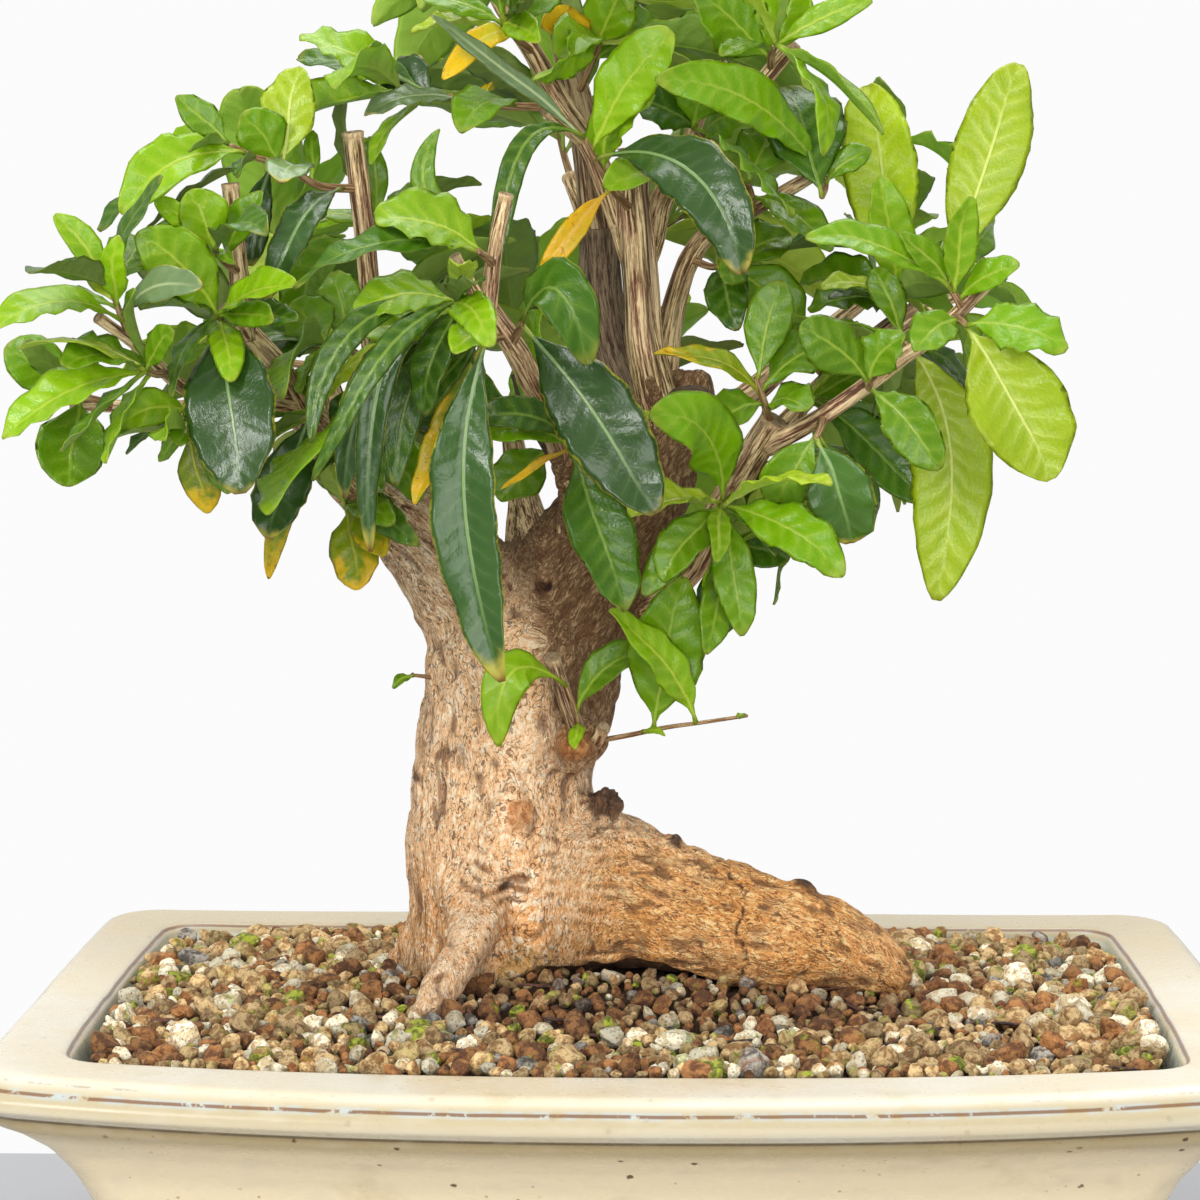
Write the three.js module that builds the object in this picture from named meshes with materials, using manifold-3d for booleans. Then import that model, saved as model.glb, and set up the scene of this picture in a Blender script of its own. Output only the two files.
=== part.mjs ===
// A pomegranate bonsai in its glazed pot, in millimetres, +Z up.
// The origin is the middle of the pot's footprint on the surface that it stands on; +X runs along the
// pot's long side and -Y is the tree's front.

import * as THREE from "three";
import { mergeVertices } from "three/addons/utils/BufferGeometryUtils.js";
import Module from "manifold-3d";

const wasm = await Module();
wasm.setup();

// ---- driving dimensions -------------------------------------------------------------------------

const GAP = 0.3; // clearance between neighbouring pieces

// pot
const RIM_HALF_LENGTH = 156.5; // at the corners, before the sides bow out
const RIM_HALF_DEPTH = 103;
const LONG_SIDE_BOW = 12.5;
const INNER_BOW = 8.5; // the long sides bow less on the inside, so the rim is widest in the middle
const SHORT_SIDE_BOW = 3;
const CORNER_RADIUS = 12;
const CORNER_LIFT = 2.5; // the rim rises a little towards its corners
const POT_HEIGHT = 85;
const FLOOR_UNDERSIDE = 8;
const FLOOR_TOP = 17;
const FOOT_LENGTH = 40;
const FOOT_DEPTH = 28;
const FOOT_X = 90;
const FOOT_Y = 42;
const DRAIN_RADIUS = 10;
const DRAIN_X = 55;

// drain screens
const SCREEN_SIDE = 30;
const SCREEN_THICK = 1.6;
const SCREEN_CELLS = 3;
const SCREEN_BAR = 2.4;

// soil
const SOIL_EDGE_LEVEL = POT_HEIGHT - 2.6;
const MOUND_LEVEL = POT_HEIGHT + 4;
const GRAIN_RELIEF = 1.3;
const GRAIN_COUNT = 46;
const GRAIN_RADIUS = 4.4;
const SOIL_CELLS_LONG = 23;
const SOIL_CELLS_DEEP = 15;

// tree
const TREE_AXIS = [-20, 20]; // what leaves turn away from
const TWIG_HALF_SIDE = 1.1; // twigs are square, as young pomegranate wood is
const ROOT_SHARE = 0.5; // the root end is slimmer, and stays inside its limb
const ROOT_REACH = 8; // a root this near a limb's axis starts on it
const NODE_LENGTH = 2.6;
const LONG_BLADE = 60;
const SHORT_BLADE = 28;
const BLADE_RIB_THICK = 1.2;
const BLADE_FOLD = 0.16; // rise of the blade's edges, as a share of its half width
const PETIOLE_HALF_WIDTH = 0.8;
const REACH = [157, 112, 392]; // foliage stays over the pot's rim and under the crown's top
const LOWEST_LEAF = 100;
// The crown's outline [x, z] at the tree's depth, as a viewer in front of the tree sees it.
const VIEWER = [15, -850, 278];
const CROWN_OUTLINE = [
  [-163, 269], [-151, 291], [-136, 287], [-121, 305], [-117, 320], [-93, 326], [-87, 336], [-72, 336],
  [-60, 345], [-55, 368], [-38, 376], [-18, 381], [7, 378], [28, 366], [43, 353], [60, 342], [68, 320],
  [79, 308], [95, 328], [101, 300], [93, 280], [114, 255], [114, 222], [92, 228], [82, 190], [68, 205],
  [38, 194], [30, 180], [14, 163], [2, 165], [-10, 196], [-40, 200], [-62, 196], [-78, 192], [-98, 212],
  [-125, 219], [-156, 228],
];

// clearance of leaves
const SAMPLE_STEP = 2.6;
const LEAF_CLEARANCE = 3.1;
const WOOD_CLEARANCE = 1.1;
const OWN_SHOOT_CLEARANCE = 1.6;

// ---- small vector and number helpers ------------------------------------------------------------

const add = (a, b) => a.map((v, i) => v + b[i]);
const sub = (a, b) => a.map((v, i) => v - b[i]);
const scale = (a, k) => a.map((v) => v * k);
const dot = (a, b) => a[0] * b[0] + a[1] * b[1] + a[2] * b[2];
const cross = (a, b) => [
  a[1] * b[2] - a[2] * b[1],
  a[2] * b[0] - a[0] * b[2],
  a[0] * b[1] - a[1] * b[0],
];
const length = (a) => Math.sqrt(dot(a, a));
const unit = (a) => scale(a, 1 / Math.max(length(a), 1e-9));
const mix = (a, b, t) => a.map((v, i) => v + (b[i] - v) * t);
const radians = (degrees) => (degrees * Math.PI) / 180;

// Seeded random numbers in 0..1 (mulberry32).
function randomFrom(seed) {
  let state = seed >>> 0;
  return () => {
    state = (state + 0x6d2b79f5) >>> 0;
    let t = state;
    t = Math.imul(t ^ (t >>> 15), t | 1);
    t ^= t + Math.imul(t ^ (t >>> 7), t | 61);
    return ((t ^ (t >>> 14)) >>> 0) / 4294967296;
  };
}

// A point on the smooth line through points (uniform Catmull-Rom), t in 0..1.
function along(points, t) {
  const last = points.length - 1;
  const place = Math.min(Math.max(t, 0), 1) * last;
  const i = Math.min(Math.floor(place), last - 1);
  const f = place - i;
  const p1 = points[i];
  const p2 = points[i + 1];
  const p0 = points[i - 1] ?? sub(scale(p1, 2), p2);
  const p3 = points[i + 2] ?? sub(scale(p2, 2), p1);
  return p1.map((v, k) => {
    const a = 2 * v;
    const b = p2[k] - p0[k];
    const c = 2 * p0[k] - 5 * v + 4 * p2[k] - p3[k];
    const d = 3 * v - p0[k] - 3 * p2[k] + p3[k];
    return 0.5 * (a + b * f + c * f * f + d * f * f * f);
  });
}

// ---- solids -------------------------------------------------------------------------------------

function solidOf(points, triangles) {
  const vertProperties = new Float32Array(points.flat());
  const triVerts = new Uint32Array(triangles.flat());
  return new wasm.Manifold(new wasm.Mesh({ numProp: 3, vertProperties, triVerts }));
}

function solidFrom(geometry) {
  geometry.deleteAttribute("normal");
  geometry.deleteAttribute("uv");
  const merged = mergeVertices(geometry, 1e-4);
  const vertProperties = new Float32Array(merged.attributes.position.array);
  const triVerts = new Uint32Array(merged.index.array);
  return new wasm.Manifold(new wasm.Mesh({ numProp: 3, vertProperties, triVerts }));
}

function geometryOf(solid) {
  const { vertProperties, triVerts } = solid.getMesh();
  const geometry = new THREE.BufferGeometry();
  geometry.setAttribute("position", new THREE.BufferAttribute(new Float32Array(vertProperties), 3));
  geometry.setIndex(new THREE.BufferAttribute(new Uint32Array(triVerts), 1));
  geometry.computeVertexNormals();
  return geometry;
}

const joined = (solids) => solids.reduce((all, next) => all.add(next));

// Closes a stack of rings, each with the same number of points, into one solid. Rings run
// counter-clockwise seen against the direction of the stack.
function stackOf(rings) {
  const sides = rings[0].length;
  const points = rings.flat();
  const triangles = [];
  for (let r = 0; r + 1 < rings.length; r++) {
    for (let k = 0; k < sides; k++) {
      const a = r * sides + k;
      const b = r * sides + ((k + 1) % sides);
      triangles.push([a, b, b + sides], [a, b + sides, a + sides]);
    }
  }
  const top = (rings.length - 1) * sides;
  for (let k = 1; k + 1 < sides; k++) triangles.push([0, k + 1, k], [top, top + k, top + k + 1]);
  return solidOf(points, triangles);
}

// A round limb through points [x, y, z, radius], with knots and flutes that vary its radius.
function limb(points, sides, rings, swell = 0, roughness = 0, seed = 0) {
  const random = randomFrom(seed + 11);
  const phases = [random(), random(), random(), random()].map((v) => v * 2 * Math.PI);
  const stack = [];
  let across = null;
  for (let r = 0; r <= rings; r++) {
    const t = r / rings;
    const here = along(points, t);
    const ahead = along(points, Math.min(t + 0.01, 1));
    const behind = along(points, Math.max(t - 0.01, 0));
    const heading = unit(sub(ahead.slice(0, 3), behind.slice(0, 3)));
    const guess = across ?? (Math.abs(heading[2]) > 0.8 ? [1, 0, 0] : [0, 0, 1]);
    across = unit(sub(guess, scale(heading, dot(guess, heading))));
    const other = cross(heading, across);
    const ring = [];
    for (let k = 0; k < sides; k++) {
      const angle = (2 * Math.PI * k) / sides;
      const ripple = (waves, phase, turn) => Math.sin(waves * angle + phases[phase] + turn * t);
      const flutes = 0.36 * ripple(3, 0, 2.2) + 0.24 * ripple(5, 1, -3);
      const knots = 0.2 * ripple(2, 2, 9) + 0.2 * ripple(1, 3, -14);
      const radius = here[3] * (1 + roughness * (flutes + knots)) + swell;
      const offset = add(scale(across, radius * Math.cos(angle)), scale(other, radius * Math.sin(angle)));
      ring.push(add(here.slice(0, 3), offset));
    }
    stack.push(ring);
  }
  if (swell > 0) {
    const lift = (ring, by) => ring.map((p) => add(p, by));
    const out = unit(sub(along(points, 1).slice(0, 3), along(points, 0.98).slice(0, 3)));
    stack[rings] = lift(stack[rings], scale(out, swell));
  }
  return stackOf(stack);
}

// ---- pot ----------------------------------------------------------------------------------------

// Points round a rectangle with round corners and outward-bowed sides, counter-clockwise from above.
// lift raises the corners.
function bowedOutline(inset, z, lift = 0, bow = LONG_SIDE_BOW) {
  const halfX = RIM_HALF_LENGTH - inset;
  const halfY = RIM_HALF_DEPTH - inset;
  const shrink = halfX / RIM_HALF_LENGTH;
  const corner = Math.max(CORNER_RADIUS - inset * 0.12, 5);
  const straight = [];
  const arc = (cx, cy, from) => {
    for (let k = 0; k <= 3; k++) {
      const angle = radians(from + 30 * k);
      straight.push([cx + corner * Math.cos(angle), cy + corner * Math.sin(angle)]);
    }
  };
  const sideX = (y, from, to, count) => {
    for (let k = 1; k < count; k++) straight.push([from + ((to - from) * k) / count, y]);
  };
  const sideY = (x, from, to, count) => {
    for (let k = 1; k < count; k++) straight.push([x, from + ((to - from) * k) / count]);
  };
  const cx = halfX - corner;
  const cy = halfY - corner;
  sideY(halfX, -cy, cy, 4);
  arc(cx, cy, 0);
  sideX(halfY, cx, -cx, 6);
  arc(-cx, cy, 90);
  sideY(-halfX, cy, -cy, 4);
  arc(-cx, -cy, 180);
  sideX(-halfY, -cx, cx, 6);
  arc(cx, -cy, 270);
  return straight.map(([x, y]) => {
    const u = x / halfX;
    const v = y / halfY;
    const bowX = SHORT_SIDE_BOW * shrink * (1 - v * v) * u;
    const bowY = bow * shrink * (1 - u * u) * v;
    return [x + bowX, y + bowY, z + lift * Math.abs(u * u * u * v)];
  });
}

// The pot's section: inset from the rim's outer edge, height, and how far the corners lift.
const OUTER_SECTION = [
  [38.5, FLOOR_UNDERSIDE, 0],
  [37, 18, 0],
  [33, 33, 0],
  [28, 45.5, 0],
  [23, 56.5, 0],
  [17.5, 64, 0.2],
  [10.5, 69.2, 0.6],
  [5.6, 71.6, 0.9],
  [3.4, 75.2, 1],
  [0, 77.4, 1],
  [0.4, 80, 1],
  [2.4, 81.6, 1],
  [3.6, 83.6, 1],
  [6.4, POT_HEIGHT, 1],
];
const INNER_SECTION = [
  [21, POT_HEIGHT, 0.6],
  [23, POT_HEIGHT - 1.6, 0.5],
  [25.5, 73, 0],
  [38.5, 46, 0],
  [43, 28, 0],
  [45, FLOOR_TOP, 0],
];

function makePot() {
  const ring = (bow) => ([inset, z, share]) => bowedOutline(inset, z, share * CORNER_LIFT, bow);
  const rings = [...OUTER_SECTION.map(ring(LONG_SIDE_BOW)), ...INNER_SECTION.map(ring(INNER_BOW))];
  let pot = stackOf(rings);
  const footBevel = 2;
  const shape = new THREE.Shape();
  const fx = FOOT_LENGTH / 2 - footBevel;
  const fy = FOOT_DEPTH / 2 - footBevel;
  shape.moveTo(-fx, -fy).lineTo(fx, -fy).lineTo(fx, fy).lineTo(-fx, fy).closePath();
  for (const sx of [-1, 1]) {
    for (const sy of [-1, 1]) {
      const foot = new THREE.ExtrudeGeometry(shape, {
        depth: FLOOR_UNDERSIDE + 1 - footBevel,
        bevelThickness: footBevel,
        bevelSize: footBevel,
        bevelSegments: 1,
      });
      foot.translate(sx * FOOT_X, sy * FOOT_Y, footBevel);
      pot = pot.add(solidFrom(foot));
    }
  }
  for (const sx of [-1, 1]) {
    const hole = new THREE.CylinderGeometry(DRAIN_RADIUS, DRAIN_RADIUS, 3 * FLOOR_TOP, 16);
    hole.rotateX(Math.PI / 2).translate(sx * DRAIN_X, 0, FLOOR_TOP / 2);
    pot = pot.subtract(solidFrom(hole));
  }
  return pot;
}

function makeScreen(x) {
  const pitch = (SCREEN_SIDE - SCREEN_BAR) / SCREEN_CELLS;
  const opening = pitch - SCREEN_BAR;
  const middle = FLOOR_TOP + GAP + SCREEN_THICK / 2;
  const plate = new THREE.BoxGeometry(SCREEN_SIDE, SCREEN_SIDE, SCREEN_THICK);
  let screen = solidFrom(plate.translate(x, 0, middle));
  for (let i = 0; i < SCREEN_CELLS; i++) {
    for (let j = 0; j < SCREEN_CELLS; j++) {
      const cell = new THREE.BoxGeometry(opening, opening, 2 * SCREEN_THICK);
      const middleCell = (SCREEN_CELLS - 1) / 2;
      cell.translate(x + (i - middleCell) * pitch, (j - middleCell) * pitch, middle);
      screen = screen.subtract(solidFrom(cell));
    }
  }
  return screen;
}

// ---- soil ---------------------------------------------------------------------------------------

// Height of the soil's surface before its grains: mounded round the tree, lower along the walls.
function soilLevel(x, y) {
  const u = (x + 5) / 120;
  const v = (y - 15) / 75;
  const mound = Math.exp(-1.6 * (u * u + v * v));
  return SOIL_EDGE_LEVEL + (MOUND_LEVEL - SOIL_EDGE_LEVEL) * mound;
}

// The soil's footprint at a share u, v in -1..1 of its length and depth.
function soilPoint(u, v, inset, z) {
  const halfX = RIM_HALF_LENGTH - inset;
  const halfY = RIM_HALF_DEPTH - inset;
  const shrink = halfX / RIM_HALF_LENGTH;
  const cornerPull = 0.03 * (u * v) ** 4;
  const x = u * halfX * (1 - cornerPull);
  const y = v * halfY * (1 - cornerPull * 1.6);
  return [
    x + SHORT_SIDE_BOW * shrink * (1 - v * v) * u,
    y + INNER_BOW * shrink * (1 - u * u) * v,
    z,
  ];
}

function makeSoil(trunkHollow) {
  const random = randomFrom(6);
  const wallGap = 0.9;
  const topInset = 24 + wallGap;
  const points = [];
  const triangles = [];
  const column = (i, j) => i * (SOIL_CELLS_DEEP + 1) + j;
  for (let i = 0; i <= SOIL_CELLS_LONG; i++) {
    for (let j = 0; j <= SOIL_CELLS_DEEP; j++) {
      const onEdge = i === 0 || j === 0 || i === SOIL_CELLS_LONG || j === SOIL_CELLS_DEEP;
      const shake = onEdge ? 0 : 0.55;
      const u = -1 + (2 * (i + shake * (random() - 0.5))) / SOIL_CELLS_LONG;
      const v = -1 + (2 * (j + shake * (random() - 0.5))) / SOIL_CELLS_DEEP;
      const p = soilPoint(u, v, topInset, 0);
      p[2] = soilLevel(p[0], p[1]) + (onEdge ? -0.6 : GRAIN_RELIEF * (2 * random() - 1));
      points.push(p);
    }
  }
  for (let i = 0; i < SOIL_CELLS_LONG; i++) {
    for (let j = 0; j < SOIL_CELLS_DEEP; j++) {
      const a = column(i, j);
      const b = column(i + 1, j);
      triangles.push([a, b, b + 1], [a, b + 1, a + 1]);
    }
  }
  // the rim of the surface, counter-clockwise from above, as shares u, v
  const edge = [];
  for (let i = 0; i < SOIL_CELLS_LONG; i++) edge.push([i, 0]);
  for (let j = 0; j < SOIL_CELLS_DEEP; j++) edge.push([SOIL_CELLS_LONG, j]);
  for (let i = SOIL_CELLS_LONG; i > 0; i--) edge.push([i, SOIL_CELLS_DEEP]);
  for (let j = SOIL_CELLS_DEEP; j > 0; j--) edge.push([0, j]);
  const sections = [
    [25.5 + wallGap, 72.8],
    [38.5 + wallGap, 45.8],
    [45 + wallGap, FLOOR_TOP + GAP],
  ];
  let above = edge.map(([i, j]) => column(i, j));
  for (const [inset, z] of sections) {
    const below = edge.map(([i, j]) => {
      const u = -1 + (2 * i) / SOIL_CELLS_LONG;
      const v = -1 + (2 * j) / SOIL_CELLS_DEEP;
      return points.push(soilPoint(u, v, inset, z)) - 1;
    });
    for (let k = 0; k < edge.length; k++) {
      const next = (k + 1) % edge.length;
      triangles.push([below[k], below[next], above[next]], [below[k], above[next], above[k]]);
    }
    above = below;
  }
  const floor = points.push([0, 0, FLOOR_TOP + GAP]) - 1;
  for (let k = 0; k < edge.length; k++) triangles.push([floor, above[(k + 1) % edge.length], above[k]]);
  let soil = solidOf(points, triangles);

  for (let k = 0; k < GRAIN_COUNT; k++) {
    const u = 0.94 * (2 * random() - 1);
    const v = 0.92 * (2 * random() - 1);
    const [x, y] = soilPoint(u, v, topInset, 0);
    const radius = GRAIN_RADIUS * (0.8 + 0.5 * random());
    const grain = new THREE.OctahedronGeometry(radius, 0);
    grain.scale(1, 0.85, 0.7).rotateX(random() * 3).rotateZ(random() * 6);
    grain.translate(x, y, soilLevel(x, y) + 0.25 * radius);
    soil = soil.add(solidFrom(grain));
  }
  for (const sx of [-1, 1]) {
    const side = SCREEN_SIDE + 2 * GAP;
    const pocket = new THREE.BoxGeometry(side, side, 2 * (SCREEN_THICK + GAP));
    pocket.translate(sx * DRAIN_X, 0, FLOOR_TOP + GAP);
    soil = soil.subtract(solidFrom(pocket));
  }
  return soil.subtract(trunkHollow);
}

// ---- trunk, roots and branches ------------------------------------------------------------------

// Each limb: name, sides, rings, roughness, and its points [x, y, z, radius].
const WOOD = [
  ["trunk", 14, 11, 0.035, [[-36, 25, 67, 28], [-36, 25, 82, 26.4], [-36, 25, 97, 24.9],
    [-36, 25, 112, 24.8], [-36, 25, 126, 24.9], [-35.5, 25, 138, 24.5], [-34, 25, 149, 24.5],
    [-31, 25, 160, 25.3], [-29.5, 26, 172, 26], [-31, 26, 184, 22], [-34, 25, 193, 14.5],
    [-36, 24, 200, 6.5]]],
  ["right_root", 10, 8, 0.06, [[-30, 24, 105, 23.9], [-11, 20, 107, 23.4], [5, 16, 105, 19],
    [20, 12, 102, 17.3], [32, 8, 100, 15.2], [46, 5, 98, 13], [56, 2, 96, 10.9], [66, -1, 92, 7.7],
    [72, -3, 88, 4.1]]],
  ["toe_root", 7, 4, 0.06, [[-42, 12, 117, 12.1], [-40, -2, 106, 7.7], [-43, -14, 99, 5.4],
    [-48, -22, 92, 4.8], [-51, -29, 85, 4.1]]],
  ["left_root", 7, 3, 0.06, [[-44, 24, 97, 19.3], [-55, 30, 89, 10.6], [-65, 36, 81, 5.8]]],
  ["back_root", 7, 3, 0.06, [[-32, 34, 97, 19.3], [-24, 50, 90, 10.6], [-14, 62, 80, 5.8]]],
  ["burl", 6, 3, 0.12, [[-20, 18, 146, 8.7], [-15, 8, 150, 7.7], [-13, 1, 154, 5.3]]],
  ["root_knob", 5, 2, 0.15, [[-17, 20, 124, 8], [-10, 17, 130, 5.2], [-5, 15, 134, 3.4]]],
  ["root_ridge", 5, 2, 0.12, [[36, 7, 104, 9], [43, 6, 109, 5], [49, 6, 111, 2.2]]],
  ["left_limb", 9, 10, 0.05, [[-33, 25, 163, 19.5], [-40, 25, 182, 16.8], [-50, 22, 197, 14.2],
    [-62, 18, 211, 10.4], [-73, 14, 220, 7.3], [-81, 8, 231, 5.5], [-87, 2, 240, 4.1],
    [-92, -4, 250, 3.5], [-98, -10, 258, 3.1], [-102, -15, 265, 2.8]]],
  ["right_limb", 9, 7, 0.06, [[-26, 26, 168, 19], [-18, 27, 183, 19.6], [-9, 28, 200, 17.6],
    [2, 30, 214, 13.9], [9, 32, 226, 10.2], [14, 34, 237, 7.5], [15, 36, 246, 5.4]]],
  ["striped_upright", 7, 7, 0.04, [[9, 30, 231, 6.9], [6, 28, 242, 5.3], [3, 26, 256, 4.8],
    [2, 25, 269, 4.6], [1, 24, 282, 4.5], [0, 24, 295, 4.3], [1, 24, 304, 4.2], [1, 24, 306, 4.8]]],
  ["grey_stem", 7, 3, 0.06, [[5, 40, 226, 6.6], [-5, 50, 247, 6], [-9, 51, 266, 5.5],
    [-10, 51, 285, 5.2]]],
  ["top_stem", 6, 4, 0.04, [[-10, 51, 281, 4.6], [-14, 53, 312, 4], [-19, 54, 336, 3.6],
    [-19, 54, 353, 3.3], [-21, 52, 365, 2.5]]],
  ["pale_top", 5, 5, 0.04, [[-3, 34, 285, 3], [-11, 31, 306, 2.8], [-20, 28, 320, 2.7],
    [-27, 26, 332, 2.4], [-35, 24, 344, 2.1], [-39, 22, 353, 1.7]]],
  ["pale_top_root", 5, 1, 0, [[1, 25, 274, 3.3], [-3, 34, 286, 3.1]]],
  ["pale_stub", 5, 1, 0, [[-13, 31, 308, 2.1], [-23, 20, 316, 1.7]]],
  ["diagonal", 5, 4, 0.04, [[1, 25, 271, 3.3], [5, 33, 282, 3], [9, 33, 296, 2.7], [26, 27, 314, 2.4],
    [42, 20, 333, 2.2]]],
  ["diagonal_behind", 5, 3, 0.04, [[5, 33, 282, 2.7], [8, 42, 292, 2.3], [15, 48, 309, 2],
    [24, 52, 334, 1.7]]],
  ["mid_branch", 5, 5, 0.04, [[7, 34, 238, 4.2], [11, 38, 265, 3.1], [18, 38, 282, 2.7], [30, 30, 289, 2],
    [42, 22, 296, 1.8], [54, 14, 303, 1.6]]],
  ["right_stem", 6, 4, 0.04, [[-1, 25, 184, 7.7], [15, 16, 196, 4.4], [24, 8, 214, 3.8],
    [31, 2, 226, 3.7], [37, -2, 236, 3.5]]],
  ["long_right", 5, 6, 0.04, [[35, 0, 229, 2.9], [47, -8, 236, 2.3], [58, -14, 244, 2.1],
    [68, -18, 252, 2], [76, -22, 258, 1.9], [85, -26, 267, 1.7], [92, -30, 275, 1.6]]],
  ["behind_right", 5, 4, 0.04, [[35, 0, 230, 2.7], [48, 12, 243, 2.2], [57, 20, 251, 2],
    [68, 26, 260, 1.8], [81, 32, 268, 1.7]]],
  ["dead_wood", 5, 2, 0.1, [[10, 28, 238, 4.6], [18, 20, 240, 3.4], [23, 14, 234, 1.9]]],
  ["left_upright", 5, 4, 0.04, [[-63, 18, 208, 6.3], [-67, 20, 229, 3.5], [-68, 20, 245, 3.1],
    [-70, 18, 279, 2.7], [-73, 14, 310, 2.6]]],
  ["left_stub", 5, 3, 0.04, [[-98, -10, 257, 3.1], [-99, -14, 269, 2.5], [-100, -15, 283, 2.3],
    [-101, -16, 296, 2.1]]],
  ["far_left", 5, 4, 0.04, [[-87, 2, 239, 3.3], [-100, -18, 242, 1.9], [-111, -30, 245, 1.7],
    [-120, -41, 255, 1.5], [-129, -50, 263, 1.4]]],
  ["low_left", 5, 3, 0.04, [[-97, -14, 242, 2.2], [-111, -23, 240, 1.8], [-127, -20, 240, 1.6],
    [-142, -16, 240, 1.4]]],
  ["hub_stem", 6, 6, 0.06, [[-14, 26, 199, 8.7], [-14, 10, 213, 4.8], [-17, -2, 225, 3.4],
    [-21, -12, 238, 3], [-25, -18, 247, 3], [-30, -26, 257, 2.9], [-36, -33, 266, 2.8]]],
  ["hub_cut", 5, 2, 0.04, [[-35, -32, 264, 2.1], [-33, -35, 280, 1.8], [-30, -37, 293, 1.7]]],
  ["hub_nub", 5, 1, 0, [[-36, -33, 265, 1.8], [-43, -36, 278, 1.4]]],
  ["back_left", 5, 3, 0.04, [[-75, 13, 222, 5.3], [-80, 40, 234, 3.3], [-87, 62, 249, 2.5],
    [-94, 80, 260, 1.9]]],
  ["back_mid", 5, 2, 0.04, [[-9, 51, 268, 4.1], [-12, 70, 283, 3.1], [-19, 88, 300, 2.1]]],
  ["back_right", 5, 3, 0.04, [[7, 32, 220, 6.8], [29, 54, 238, 3.7], [48, 74, 253, 2.7],
    [65, 88, 266, 1.9]]],
  ["back_low", 5, 3, 0.04, [[-26, 34, 191, 9.7], [-31, 56, 212, 4.3], [-35, 76, 230, 2.9],
    [-33, 92, 243, 1.9]]],
  ["back_far_right", 5, 2, 0.04, [[56, 19, 250, 2.3], [72, 44, 259, 2], [90, 64, 268, 1.6]]],
];

function makeWood(swell) {
  return joined(
    WOOD.map(([, sides, rings, roughness, points], seed) =>
      limb(points, sides, rings, swell, roughness, seed)),
  );
}

// ---- leaves and shoots --------------------------------------------------------------------------

// A leaf: where its stalk leaves the twig (0 root to 1 tip), its own tip, width, how far the midrib
// arches (a share of its length), how far the face rolls from facing the front (0) to facing up (90),
// its tone, and a point that a bent midrib passes.
const leaf = (t, tip, width, arch, roll, tone, via = null) => ({ t, tip, width, arch, roll, tone, via });

// A shoot: its name, the line of its twig from inside the wood outwards, how many leaves a rule adds,
// and the leaves that are placed by hand.
const shoot = (name, path, more, leaves) => ({ name, path, more, leaves });

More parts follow.
